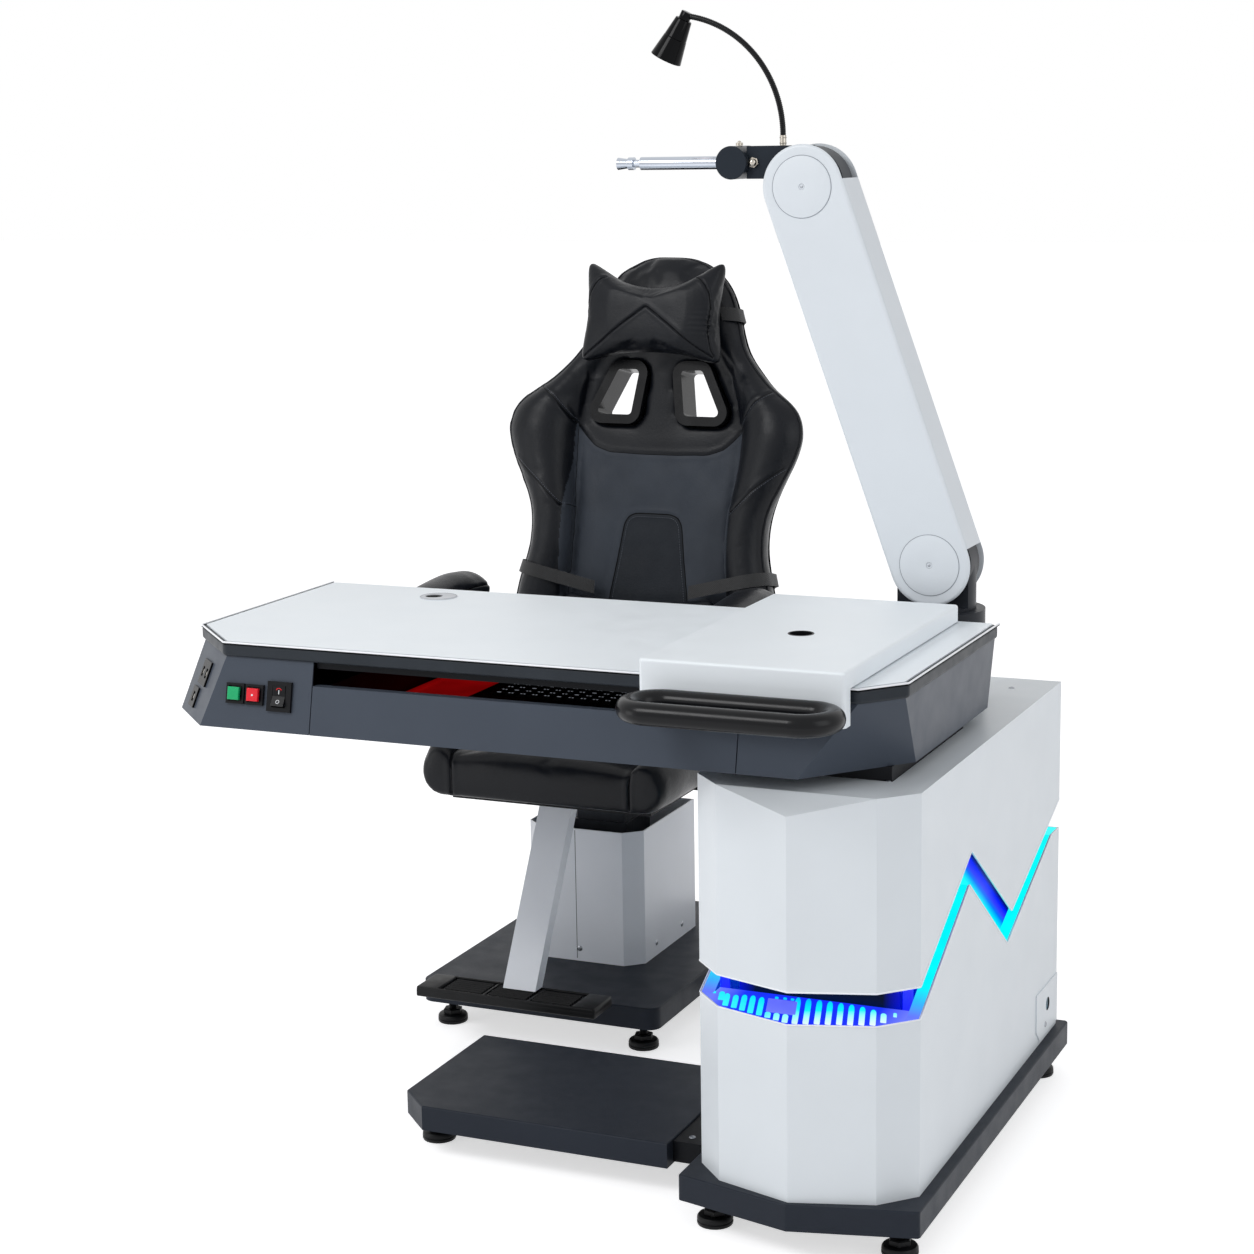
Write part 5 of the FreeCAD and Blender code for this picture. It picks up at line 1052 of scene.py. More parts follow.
def build_back_cushion(settings):
    """The backrest's padding, with its wings, openings, yoke and patch."""
    heights = list(np.linspace(BACK_FOOT, BACK_HEAD, 108))
    rings = [[on_back(a, h, f) for a, f in back_ring(h, -settings.start_inset)] for h in heights]
    for share, rise in ((0.72, 3.0), (0.4, BACK_BROW)):
        rings.append([on_back(a * share, BACK_HEAD + rise, -CUSHION_DEPTH / 2
                              + (f + CUSHION_DEPTH / 2) * share)
                      for a, f in back_ring(BACK_HEAD, -settings.start_inset)])
    obj = rings_object("backrest_padding", rings)
    cutters = [opening_cutter(side, FRAME_WIDTH + 1.0) for side in (-1, 1)]
    for cutter in cutters:
        hole = obj.modifiers.new("opening", "BOOLEAN")
        hole.operation = "DIFFERENCE"
        hole.solver = "EXACT"
        hole.object = cutter
    apply_all(obj)
    for cutter in cutters:
        delete(cutter)
    seams = [back_path(p) for line in (WING_HIGH, WING_LOW) for p in both_sides(line)]
    seams += [back_path(p) for p in both_sides(panel_edge(-170, 316))]
    seams += [back_path(list(YOKE) + [(-a, h) for a, h in reversed(YOKE[:-1])])]
    patch = back_path(PATCH)

    def held(co):
        return off_back(co)[:, 2] < -CUSHION_DEPTH + 6

    swell(obj, settings.back_skin * MM, settings.pressure, settings.back_swell * MM,
          seams + [patch], held)
    sew(obj, seams, SEAM_WIDTH, settings.seam_depth * MM, 0.0009)
    sew(obj, [patch], SEAM_WIDTH, settings.seam_depth * MM, 0.0009)
    smooth(obj)
    mesh = obj.data
    for name in ("black_leather", "panel_leather", "patch_leather"):
        mesh.materials.append(FINISHES[name])
    patch_h, patch_a = zip(*sorted((h, a) for a, h in PATCH if a > 0))
    yoke_a, yoke_h = zip(*sorted(YOKE))
    centres = np.empty(len(mesh.polygons) * 3)
    mesh.polygons.foreach_get("center", centres)
    a, h, f = off_back(centres.reshape(-1, 3)).T
    a = np.abs(a)
    index = ((f > -36) & (h < 316) & (a < back_row(h)[1]) & (h < np.interp(a, yoke_a, yoke_h)))
    index = index.astype(np.int32)
    index[(index == 1) & (h < 143) & (a < np.interp(h, patch_h, patch_a))] = 2
    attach(obj, "backrest")
    mesh.polygons.foreach_set("material_index", index)
    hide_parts("backrest_cushion")
    return obj, seams, patch


def build_piping(cushion, settings):
    """The cord sewn into the edge seam, round both wings and over the head."""
    right = []
    for h in np.linspace(BACK_FOOT + 6, BACK_HEAD - 1, 90):
        half, _, lip, _, _, _ = back_row(h)
        right.append((half - 2, h, lip))
    crown = [(a, BACK_HEAD + BACK_BROW * (1 - (a / 58) ** 2), right[-1][2]) for a in (40, 20, 0)]
    side = right + crown
    whole = side + [(-a, h, f) for a, h, f in reversed(side[:-1])]
    path = rounded_path([on_back(a, h, f) for a, h, f in whole], 0.006, 3)
    points, _ = on_skin(cushion, path, 0.0004)
    obj = tube("backrest_piping", points, settings.piping * MM, 8)
    return dress(obj, "black_leather", "backrest")


def stitch_piece(length, thick):
    """One stitch, tapered at its ends."""
    return tube("stitch", [Vector((s * length / 2, 0, 0.0)) for s in (-1, -0.6, 0.6, 1)],
                [thick * 0.4, thick, thick, thick * 0.4], 5)


def stitch_rows(name, skin, paths, body, pitch, thick=0.0004):
    """Rows of thread on a skin, beside its seams."""
    lines = []
    for path in paths:
        lines.append(on_skin(skin, resampled(path, 0.002), thick * 0.4))
    return row_of(name, stitch_piece(pitch * 0.68, thick), None, None, "thread", body,
                  pitch, lines)


def seam_lines(name, skin, paths, body, thick=0.0008):
    """The closed edge at the foot of each seam."""
    cords = []
    for path in paths:
        points, _ = on_skin(skin, resampled(path, 0.003), -thick * 0.35)
        cords.append(tube(name, rounded_path(points, 0.003, 2), thick, 6))
    return dress(joined(name, cords), "seam_line", body)


def beside(points, distance):
    """A flat path moved sideways, as (across, along) points."""
    out = []
    for i, (a, h) in enumerate(points):
        a0, h0 = points[max(i - 1, 0)]
        a1, h1 = points[min(i + 1, len(points) - 1)]
        length = math.hypot(a1 - a0, h1 - h0)
        out.append((a - (h1 - h0) / length * distance, h + (a1 - a0) / length * distance))
    return out


# Pillows: the size of their skin's faces, and for each its half width, half height, half
# thickness, height on the back, distance in front of it, waist, and dip of the top and the foot

PILLOW_SKIN = 0.004
LUMBAR_SKIN = 0.0045
HEAD_PILLOW = (144.0, 96.0, 27.0, 505.0, 36.0, 0.07, 43.0, 16.0)
LUMBAR_PILLOW = (156.0, 76.0, 25.0, -82.0, 14.0, 0.03, 5.0, 5.0)
HEAD_V = ((-135, 413), (-100, 438), (-50, 477), (0, 513), (50, 477), (100, 438), (135, 413))
HEAD_EAR = ((86, 575), (105, 558), (120, 537), (132, 508))
HEAD_GUSSET = ((131, 512), (125, 494), (124, 464), (129, 438), (138, 416))


def pillow_form(name, half_width, half_height, thick, rise, forward, waist, top_dip, foot_dip,
                rim=4.0):
    """A stuffed pillow before it is filled: thin at its edges and drawn in between its ears."""
    count = 40
    verts, faces = [], []
    for layer in (1, -1):
        for i in range(count + 1):
            u = -1 + 2 * i / count
            for k in range(count + 1):
                v = -1 + 2 * k / count
                blunt = 1 - 0.065 * (abs(u) * abs(v)) ** 7
                across = half_width * u * (1 - waist * (1 - v * v) * abs(u)) * blunt
                dip = (1 - u * u) ** 1.3
                reach = (half_height - (top_dip if v > 0 else foot_dip) * dip) * blunt
                full = ((1 - abs(u) ** 4.2) * (1 - abs(v) ** 3.6)) ** 0.5
                verts.append(on_back(across, rise + reach * v,
                                     forward + layer * (thick * full + rim)))
    size = (count + 1) ** 2
    for i in range(count):
        for k in range(count):
            a = i * (count + 1) + k
            quad = (a, a + 1, a + count + 2, a + count + 1)
            faces.append(quad)
            faces.append(tuple(size + q for q in reversed(quad)))
    around = [i * (count + 1) for i in range(count + 1)]
    around += [count * (count + 1) + k for k in range(1, count + 1)]
    around += [i * (count + 1) + count for i in range(count - 1, -1, -1)]
    around += list(range(count - 1, 0, -1))
    for a, b in zip(around, around[1:] + around[:1]):
        faces.append((a, b, size + b, size + a))
    obj = mesh_object(name, verts, faces)
    outward(obj)
    return obj


def rest_on_back(obj, gap):
    """Keeps a pillow's back on the backrest's front."""
    co = coordinates(obj.data)
    a, h, f = off_back(co).T
    rise = np.maximum(back_face(a, h) + gap - f, 0)
    set_coordinates(obj.data, co + rise[:, None] * MM * BACK_WAYS[2])


def build_head_pillow(settings):
    """The eared pillow, with its sewn peak, ear seams, gusset and gathers."""
    obj = pillow_form("head_pillow_padding", *HEAD_PILLOW)

    def path(points):
        return [on_back(a, h, 66.0) for a, h in points]

    swell(obj, PILLOW_SKIN, settings.pressure, settings.pillow_swell * MM, [], none_held)
    seams = [on_skin(obj, rounded_path(path(HEAD_V), 0.003, 2))[0]]
    for line in (*both_sides(HEAD_EAR), HEAD_GUSSET):
        seams.append(on_skin(obj, rounded_path(path(line), 0.003, 3))[0])
    sew(obj, seams, 0.0018, settings.seam_depth * 0.7 * MM, 0.0005)
    up = on_back(0, 1, 0) - on_back(0, 0, 0)
    gather(obj, on_back(-138, 512, 45), up, 0.012, 0.0075, 0.0012)
    gather(obj, on_back(112, 482, 55), up, 0.021, 0.0095, 0.002)
    gather(obj, on_back(-6, 550, 50), Vector((1, 0, 0)), 0.013, 0.0075, 0.0008)
    rest_on_back(obj, 0.4)
    smooth(obj)
    dress(obj, "black_leather", "backrest")
    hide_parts("head_pillow")
    return obj, seams


def build_lumbar_pillow(settings):
    """The plain pillow, with a seam across each end."""
    obj = pillow_form("lumbar_pillow_padding", *LUMBAR_PILLOW)
    swell(obj, LUMBAR_SKIN, settings.pressure, settings.pillow_swell * MM, [], none_held)
    ends = [on_skin(obj, [on_back(side * 128, h, 60.0) for h in range(-150, -14, 8)])[0]
            for side in (-1, 1)]
    sew(obj, ends, 0.002, settings.seam_depth * 0.8 * MM, 0.0006)
    rest_on_back(obj, 0.4)
    smooth(obj)
    dress(obj, "black_leather", "backrest")
    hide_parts("lumbar_pillow")
    return obj, ends


# Straps

STRAP_WIDTH = 24.0
STRAP_THICK = 1.6
STRAP_LIFT = 1.8
STRAP_SLOPE = math.radians(12.3)


def strap_band(name, rise, slope, gap_half, taut=None):
    """A webbing loop round the backrest that ends under its pillow.

    Where it is taut, it runs straight from the wing's crest to a height behind the pillow.
    """
    depth = SHELL_DEPTH + STRAP_LIFT
    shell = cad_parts["backrest_shell"]
    pitch = 3.0
    levels = np.arange(rise - STRAP_WIDTH,
                       rise + STRAP_WIDTH + math.tan(slope) * BACK_HALF, pitch)
    table = np.array([back_ring(h, STRAP_LIFT, depth) for h in levels])
    each = np.arange(table.shape[1])
    lines = []
    count = 7
    for offset in np.linspace(-STRAP_WIDTH / 2, STRAP_WIDTH / 2, count):
        h = np.full(len(each), rise + offset)
        for _ in range(4):
            at = (h - levels[0]) / pitch
            i = np.clip(at.astype(int), 0, len(levels) - 2)
            part = (at - i)[:, None]
            a, f = (table[i, each] * (1 - part) + table[i + 1, each] * part).T
            h = rise + offset + math.tan(slope) * np.abs(a)
        if taut is not None:
            crest = np.array([sum(back_row(v)[:2]) / 2 for v in h])
            top = np.array([back_row(v)[3] for v in h]) + STRAP_LIFT
            part = np.clip((crest - np.abs(a)) / (crest - gap_half), 0, 1)
            f = np.where((f > -CUSHION_DEPTH) & (np.abs(a) < crest),
                         top + (taut - top) * part, f)
        hidden = np.flatnonzero((f > -CUSHION_DEPTH) & (np.abs(a) < gap_half))
        kept = np.r_[hidden.max() + 1:len(each), 0:hidden.min()]
        line = []
        for k in kept:
            spot = on_back(a[k], h[k], f[k])
            if f[k] < -CUSHION_DEPTH - 1:
                found, hit, way, _ = shell.closest_point_on_mesh(spot)
                spot = hit + way * STRAP_LIFT * MM if found else spot
            line.append(spot)
        lines.append(line)
    steps = min(len(line) for line in lines)
    verts = [lines[k][i] for k in range(count) for i in range(steps)]
    faces = [(k * steps + i, k * steps + i + 1, (k + 1) * steps + i + 1, (k + 1) * steps + i)
             for k in range(count - 1) for i in range(steps - 1)]
    obj = mesh_object(name, verts, faces)
    thickness = obj.modifiers.new("cloth", "SOLIDIFY")
    thickness.thickness = STRAP_THICK * MM
    thickness.offset = 0
    apply_all(obj)
    outward(obj)
    smooth(obj, 50)
    return dress(obj, "webbing", "backrest")


# Seat and armrests

def build_seat_cushion(settings):
    """The seat, with a seam along each bolster and two across its panel."""
    rings = []
    for share in np.linspace(0, 1, 64):
        rings.append([place(CHAIR_X + a, seat_y(share), z) for a, z in seat_ring(share)])
    obj = rings_object("seat_padding", rings)

    def top_at(across, share):
        ring = seat_ring(share)
        upper = [(a, z) for a, z in ring if z > SEAT_LOW + 45]
        return min(upper, key=lambda p: abs(p[0] - across))[1]

    seams = []
    for side in (-1, 1):
        line = [place(CHAIR_X + side * SEAT_SEAM_FOOT, SEAT_FRONT, z)
                for z in range(414, 462, 6)]
        for share in np.linspace(0.0, 0.97, 40):
            a = side * SEAT_PANEL * SEAT_FORM.at(share)[0]
            line.append(place(CHAIR_X + a, seat_y(share), top_at(a, share)))
        seams.append(line)
    for share in (0.4, 0.62):
        seams.append([place(CHAIR_X + a, seat_y(share), top_at(a, share))
                      for a in range(-170, 171, 10)])

    def held(co):
        return co[:, 2] < (SEAT_LOW + 8) * MM

    swell(obj, settings.seat_skin * MM, settings.pressure, settings.seat_swell * MM, seams, held)
    seams = [on_skin(obj, rounded_path(line, 0.004, 3))[0] for line in seams]
    sew(obj, seams, SEAM_WIDTH, settings.seam_depth * MM, 0.0008)
    smooth(obj)
    dress(obj, "black_leather", "seat")
    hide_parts("seat_cushion")
    return obj, seams


def build_armrest(side, settings):
    """A padded armrest on its steel base, with the lug that it folds on."""
    name = "left_armrest" if side < 0 else "right_armrest"
    x = CHAIR_X + side * REST_X
    rings = []
    for share in np.linspace(0, 1, 46):
        rings.append([place(x + a, rest_y(share), z) for a, z in rest_ring(share)])
    pad = rings_object(name + "_padding", rings)
    swell(pad, PILLOW_SKIN, settings.pressure, settings.rest_swell * MM, [], none_held)
    lines = []
    for edge in (-1, 1):
        line = []
        for share in np.linspace(0.03, 0.97, 36):
            width, drop, full = REST_FORM.at(share)
            brow = REST_TOP - REST_ARCH * drop - REST_CROWN * full
            line.append(place(x + edge * (REST_HALF * width - 3), rest_y(share), brow))
        lines.append(on_skin(pad, line)[0])
    sew(pad, lines, 0.002, settings.seam_depth * 0.8 * MM, 0.0005)
    smooth(pad)
    seam_lines(name + "_seams", pad, lines, name, 0.0007)
    dress(pad, "black_leather", name)
    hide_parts(name)
    y, z = REST_HINGE
    inner = x - side * REST_BASE_HALF
    base = block(name + "_base", place(x - REST_BASE_HALF, REST_FRONT + 95, z + 16),
                 place(x + REST_BASE_HALF, y + 16, z + 22), 0.0012)
    dress(base, "black_metal", name)
    lug_low, lug_high = sorted((inner, inner + side * 9))
    lug = lathe(name + "_lug", [(0.0082, 0), (0.0148, 0), (0.016, 0.001), (0.016, 0.008),
                                (0.0148, 0.009), (0.0082, 0.009)],
                place(lug_low, y, z), (1, 0, 0))
    dress(lug, "black_metal", name)
    web = block(name + "_web", place(lug_low, y - 15, z + 8), place(lug_high, y + 15, z + 16.5),
                0.0008)
    dress(web, "black_metal", name)
    return pad


# Fittings

class Face:
    """A flat face of the unit with its own directions, in millimetres of the drawing."""

    def __init__(self, origin, along, up):
        self.origin = Vector(origin)
        self.along = Vector(along).normalized()
        self.up = Vector(up).normalized()
        self.outward = self.along.cross(self.up)

    def at(self, across, rise, out=0.0):
        return place(*(self.origin + self.along * across + self.up * rise + self.outward * out))

    def on(self, node, across, rise):
        """A point of a model's piece under a place of this face, and its outward direction."""
        start = self.at(across, rise, 60.0)
        found, spot, normal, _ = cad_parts[node].ray_cast(start, -self.outward)
        if not found:
            raise RuntimeError("no %s under %g, %g" % (node, across, rise))
        return spot, normal


def slab(name, face, outline, low, high):
    """A flat piece of any outline, between two heights over a face."""
    obj = rings_object(name, [[face.at(u, v, w) for u, v in outline] for w in (low, high)])
    smooth(obj, 35)
    return obj


def rectangle(width, height, corner, middle=(0.0, 0.0)):
    """The outline of a rectangle with rounded corners."""
    w, h = width / 2, height / 2
    points = rounded_outline(((-w, -h), (w, -h), (w, h), (-w, h)), corner, 0.0, 3)
    return [(p.x + middle[0], p.y + middle[1]) for p in points]


def ring_tube(name, centre, way, radius, thick, sides=6, count=48):
    """A thin ring of round section, in metres."""
    way = Vector(way).normalized()
    first = way.orthogonal().normalized()
    second = way.cross(first)
    points = [Vector(centre) + (first * math.cos(q) + second * math.sin(q)) * radius
              for q in turns(count)]
    return tube(name, points, thick, sides, loop=True)


FRONT = Face((0.0, 32.34, 725.5), (1, 0, 0), (0, 0.20792, 0.97815))
SIDE = Face((-958.936, 83.715, 726.25), (0.70544, -0.70877, 0), (0.26927, 0.26801, 0.92502))


# Light gap

LEDGE = Face((0, 0, 338.0), (1, 0, 0), (0, 1, 0))
LEDGE_BACK = 113.0
STRIP_INNER = 141.5
STRIP_OUTER = 158.9
SLOT_LEAN = 0.3
SLOTS = ((-121, 63, 96), (-106.7, 43, 91), (-92.4, 39, 89), (-78.1, 33, 94), (-63.8, 27, 95),
         (-49.5, 23, 93), (-35.2, 18, 39), (-20.9, 13, 39), (-6.6, 8, 39), (7.7, 8, 110),
         (22, 12, 110), (36.3, 17, 110), (50.6, 21, 110), (64.9, 26, 109), (79.2, 30, 108),
         (93.5, 35, 105), (107.8, 40, 99), (118, 55, 90), (126, 82, 97), (-50, 95, 102),
         (-38, 96, 103), (-27, 96, 103), (-140, 86, 94))
COLUMN_FRONT = ((-161.0, 85.0), (-115.0, 36.0), (0.0, 0.0), (115.0, 36.0), (161.0, 85.0))
GAP_LOW = ((85.0, 338.0), (317.0, 462.0), (525.0, 312.0), (781.0, 414.0), (829.0, 414.0))
GAP_HIGH = ((85.0, 384.0), (326.0, 510.0), (547.0, 357.0), (829.0, 462.0))


def build_ledge():
    """The ledge with its painted glow: a flat shelf with upright ends, and strips along the gap's
    lower edge.
    """
    front = [(x * 0.987, y + 2.2) for x, y in COLUMN_FRONT]
    outline = front + [(STRIP_INNER, front[-1][1]), (STRIP_INNER, LEDGE_BACK),
                       (-STRIP_INNER, LEDGE_BACK), (-STRIP_INNER, front[0][1])]
    parts = [slab("shelf", LEDGE, outline, -3.0, -0.2)]
    for side in (-1, 1):
        rings = [[place(side * x, y, z - drop) for x, drop in
                  ((STRIP_INNER, 0.3), (STRIP_OUTER, 0.3), (STRIP_OUTER, 3.3),
                   (STRIP_INNER, 3.3))] for y, z in GAP_LOW]
        parts.append(rings_object("strip", rings))
    ledge = joined("ledge", parts)
    dress(ledge, "ledge_light", "frame")
    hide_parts("led_ledge")
    ends = []
    for side in (-1, 1):
        low, high = sorted((side * 127.0, side * STRIP_INNER))
        ends.append(block("end", place(low, LEDGE_BACK, 336), place(high, LEDGE_BACK + 2, 396),
                          0.0005))
    # the upright ends carry a painted glow
    dress(joined("ledge_ends", ends), "ledge_end", "frame")


def build_slots(settings):
    """The lit slots in the ledge, and the plate that covers three of them."""
    half = settings.slot_width / 2
    shape = ((-0.88, 0), (0.88, 0), (1, 0.05), (1, 0.78), (0.85, 0.9), (0.45, 0.98), (0, 1),
             (-0.45, 0.98), (-0.85, 0.9), (-1, 0.78), (-1, 0.05))
    lights = []
    for x, front, back in SLOTS:
        size = back - front
        wide = half if size > 15 else half * 0.6
        lights.append(slab("slot", LEDGE, [(x + u * wide - SLOT_LEAN * v * size, front + v * size)
                                           for u, v in shape], -1.0, 0.4))
    dress(joined("slot_lights", lights), "slot_light", "frame")
    plate = [(x - SLOT_LEAN * y, y) for x, y in rectangle(43.0, 51.0, 2.0, (-12.0, 66.0))]
    cover = slab("slot_cover", LEDGE, plate, -0.5, 0.7)
    dress(cover, "slot_cover", "frame")


def build_gap_edges():
    """Painted highlights along the cut edges of the two housings at the gap, as thin pale cords."""
    cords = []
    for edge in (GAP_LOW, GAP_HIGH):
        level = edge[0][1]
        line = [place(-161.0, y, z) for y, z in reversed(edge[1:])]
        line += [place(x, y, level) for x, y in COLUMN_FRONT]
        line += [place(161.0, y, z) for y, z in edge[1:]]
        cords.append(tube("edge", resampled_corners(line), 0.0012, 6))
    dress(joined("gap_edges", cords), "white_edge", "frame")


TABLE_EDGE = ((-997.0, 542.0), (-997.0, 145.0), (-891.0, 38.5), (88.0, 38.5), (138.0, 100.0),
              (138.0, 542.0))


def build_table_edge():
    """A painted highlight along the rim of the white top, and the dark joint under it."""
    for name, z, radius, finish, slot in (("top_rim", 799.2, 0.0014, "white_edge", "white_board"),
                                          ("top_joint", 797.0, 0.0009, "seam_line", "slate_band")):
        line = resampled_corners([place(x, y, z) for x, y in TABLE_EDGE])
        dress(tube(name, line, radius, 8), finish, "frame")


def resampled_corners(line):
    """A path with a point close to each side of its corners, so that a tube keeps its girth."""
    out = [line[0]]
    for before, at, after in zip(line, line[1:], line[2:]):
        out.append(at + (before - at).normalized() * 0.0008)
        out.append(at + (after - at).normalized() * 0.0008)
    return out + [line[-1]]


# Arm and lamp

PIVOTS = ((-184.257, 1438.882), (18.0, 874.0))
ARM_FACES = ((580.0, -1), (660.0, 1))
ARM_WALLS = ((582.1, 1), (657.9, -1))
ARM_Y = 620.0
BARREL = (-299.257, 1475.382)
LAMP_X = -228.257
LAMP_FOOT = 1515.18
LAMP_BEND = 183.0
LAMP_TURN = math.radians(79.0)
LAMP_TILT = math.radians(28.0)


def build_pivot_covers():
    """The flush covers over the arm's pivots, each in its groove, ringed by grey lines of painted
    shade, and with its screw.
    """
    discs, grooves, screws = [], [], []
    for x, z in PIVOTS:
        for y, side in ARM_FACES:
            spot, way = place(x, y, z), Vector((0, side, 0))
            profile = ((1e-5, 0.0002), (0.0042, 0.0002), (0.0044, 0.00035), (0.0048, 0.00115),
                       (0.0052, 0.0012), (0.0452, 0.0012), (0.0459, 0.001), (0.0462, 0.0005),
                       (0.0462, -0.0004), (1e-5, -0.0004))
            discs.append(lathe("cover", profile, spot, way, 96))
            # grey rings in the cover's groove and round its screw: painted shade
            grooves.append(ring_tube("groove", spot + way * 0.0002, way, 0.0467, 0.0005, 6, 96))
            grooves.append(ring_tube("rim", spot + way * 0.0009, way, 0.0047, 0.00025, 6, 24))
            screws.append(lathe("screw", ((1e-5, 0.0009), (0.0006, 0.0009), (0.0009, 0.0011),
                                          (0.0016, 0.001), (0.0021, 0.0006), (0.0021, 0.0)),
                                spot, way, 20))
    covers = joined("pivot_discs", discs)
    dress(covers, "white_arm", "arm")
    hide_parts("pivot_covers")
    dress(joined("pivot_grooves", grooves), "groove_grey", "arm")
    dress(joined("pivot_screws", screws), "steel", "arm")


def build_arm_liners():
    """Dark discs inside the walls of the arm's two ends: painted shade in the hollow arm."""
    liners = []
    for x, z in PIVOTS:
        for y, side in ARM_WALLS:
            # each dark disc is painted shade inside one of the arm's end walls
            liners.append(lathe("liner", [(0.0001, 0), (0.061, 0), (0.061, 0.0004),
                                          (0.0001, 0.0004)], place(x, y, z), (0, side, 0), 64))
    dress(joined("arm_liners", liners), "dark_post", "arm")


SHADE_OUTSIDE = ((0.001, 0.0), (7.6, 0.0), (8.6, 0.4), (9.0, 1.3), (9.0, 11.2), (9.6, 11.8),
                 (11.6, 12.0), (12.7, 12.4), (13.1, 13.4), (17.9, 41.6), (17.5, 42.4),
                 (18.4, 43.2), (24.8, 76.9), (24.9, 77.6), (24.5, 78.0))
SHADE_INSIDE = ((23.6, 78.0), (23.2, 77.5), (22.6, 74.0), (22.4, 71.6), (0.001, 71.6))


def build_lamp(settings):
    """The ribbed lamp tube, the turned head and the little lights behind its lens."""
    def tube_at(share):
        turn = LAMP_TURN * share
        return place(LAMP_X - LAMP_BEND + LAMP_BEND * math.cos(turn), ARM_Y,
                     LAMP_FOOT + LAMP_BEND * math.sin(turn))

    path = [tube_at(k / 90) for k in range(91)]
    core = tube("lamp_tube", path, 0.0041, 14)
    dress(core, "black_satin", "lamp")
    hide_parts("lamp_gooseneck")
    rib = lathe("rib", [(0.0039, -0.0013), (0.0045, -0.0006), (0.0045, 0.0006),
                        (0.0039, 0.0013)], (0, 0, 0), (1, 0, 0), 16)
    row_of("lamp_tube_ribs", rib, None, None, "black_satin", "lamp",
           settings.rib_pitch * MM, [(path, [Vector((0, 1, 0))] * len(path))])
    axis = Vector((-math.sin(LAMP_TILT), 0, -math.cos(LAMP_TILT)))
    heading = Vector((-math.sin(LAMP_TURN), 0, math.cos(LAMP_TURN)))
    top = path[-1] + heading * 0.0093 - axis * 0.006
    head = lathe("lamp_shade", [(r * MM, s * MM) for r, s in SHADE_OUTSIDE + SHADE_INSIDE], top,
                 axis, 64)
    dress(head, "black_gloss", "lamp")
    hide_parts("lamp_head")
    side = axis.orthogonal().normalized()
    other = axis.cross(side)
    spots = [(0.0, 0.0)] + circle(13.0, 6)
    points = [top + axis * 0.0751 + side * u * MM + other * v * MM for u, v in spots]
    dot = lathe("dot", [(0.0042, -0.0003), (0.0042, 0.0001), (0.0034, 0.0005),
                        (0.0012, 0.0007)], (0, 0, 0), (0, 0, 1), 18)
    row_of("lamp_lights", dot, points, [axis] * len(points), "lens_dot", "lamp")
    for reach, radius in ((0.0035, 0.0056), (0.0115, 0.0055)):
        band = ring_tube("ferrule_band", place(LAMP_X, ARM_Y, LAMP_FOOT - 15.0)
                         + Vector((0, 0, reach)), (0, 0, 1), radius - 0.0006, 0.0008, 8, 32)
        band.name = "ferrule_band_%d" % round(reach * 10000)
        dress(band, "nickel", "lamp")


def build_bracket_nut():
    """The domed nut on the bracket's neck, and the line round the knuckle's barrel."""
    x, z = BARREL
    spot = place(x + 32.0, 598.0, z)
    base = lathe("nut", [(0.0001, -0.001), (0.0078, -0.001), (0.0078, 0.0002), (0.0084, 0.0008),
                         (0.0084, 0.0042), (0.0078, 0.0048), (0.0001, 0.0048)],
                 spot, (0, -1, 0), 6)
    dome = lathe("dome", [(0.0001, 0.004), (0.0062, 0.004), (0.0062, 0.0055), (0.0057, 0.0078),
                          (0.0044, 0.0098), (0.0024, 0.0109), (0.0006, 0.0112)],
                 spot, (0, -1, 0), 28)
    nut = joined("neck_nut", [base, dome])
    dress(nut, "nickel", "head")
    line = ring_tube("barrel_seam", place(x, 583.6, z), (0, 1, 0), 0.0249, 0.00025, 6, 64)
    dress(line, "seam_line", "knuckle")


# Controls

RED_BUTTON_X = -835.5
ROCKER_X = -793.5


def build_marks():
    """The rocker's bar and ring, and the light spot of the red button."""
    def mark(name, node, across, rise, outline, finish):
        spot, way = FRONT.on(node, across, rise)
        up = (FRONT.up - way * FRONT.up.dot(way)).normalized()
        along = up.cross(way)
        obj = rings_object(name, [[spot + along * u * MM + up * v * MM + way * w
                                   for u, v in outline] for w in (-0.0002, 0.00025)])
        return dress(obj, finish, node)

    mark("rocker_bar", "power_rocker", ROCKER_X, 6.5, rectangle(1.3, 6.0, 0.4), "mark_white")
    arc_line = [(5.4 * math.cos(q), 5.4 * math.sin(q))
                for q in np.linspace(math.radians(25), math.radians(155), 14)]
    arc_line += [(4.2 * math.cos(q), 4.2 * math.sin(q))
                 for q in np.linspace(math.radians(155), math.radians(25), 14)]
    mark("rocker_arc", "power_rocker", ROCKER_X, 7.5, arc_line, "mark_red")
    spot, way = FRONT.on("power_rocker", ROCKER_X, -7.5)
    ring = ring_tube("rocker_ring", spot + way * 0.0001, way, 0.0026, 0.00045, 6, 28)
    dress(ring, "mark_white", "power_rocker")
    mark("red_button_spot", "red_button", RED_BUTTON_X + 0.5, -0.5, circle(1.5, 20),
         "mark_white")


def build_keys():
    """The pale printed marks on the drawer's keypad, with a painted glow that keeps them bright in
    the drawer.
    """
    low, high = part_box("drawer_keypad")
    middle = (low + high) / 2
    points, sizes = [], []
    for row in range(4):
        for column in range(10):
            wide = 2.6 if (row * 7 + column * 3) % 5 == 0 else 1.0
            for off in ((0.0,) if wide > 1 else (-0.0026, 0.0026)):
                points.append(Vector((middle.x + (column - 4.5) * 0.02 + off,
                                      middle.y + (row - 1.5) * 0.02, high.z)))
                sizes.append((wide, 1.0, 1.0))
    mark = rings_object("mark", [[Vector((x * MM, y * MM, z)) for x, y in
                                  rectangle(2.6, 2.2, 0.6)] for z in (-0.0002, 0.0003)])
    row_of("keypad_marks", mark, points, [Vector((0, 0, 1))] * len(points),
           "key_mark", "drawer", sizes=sizes)


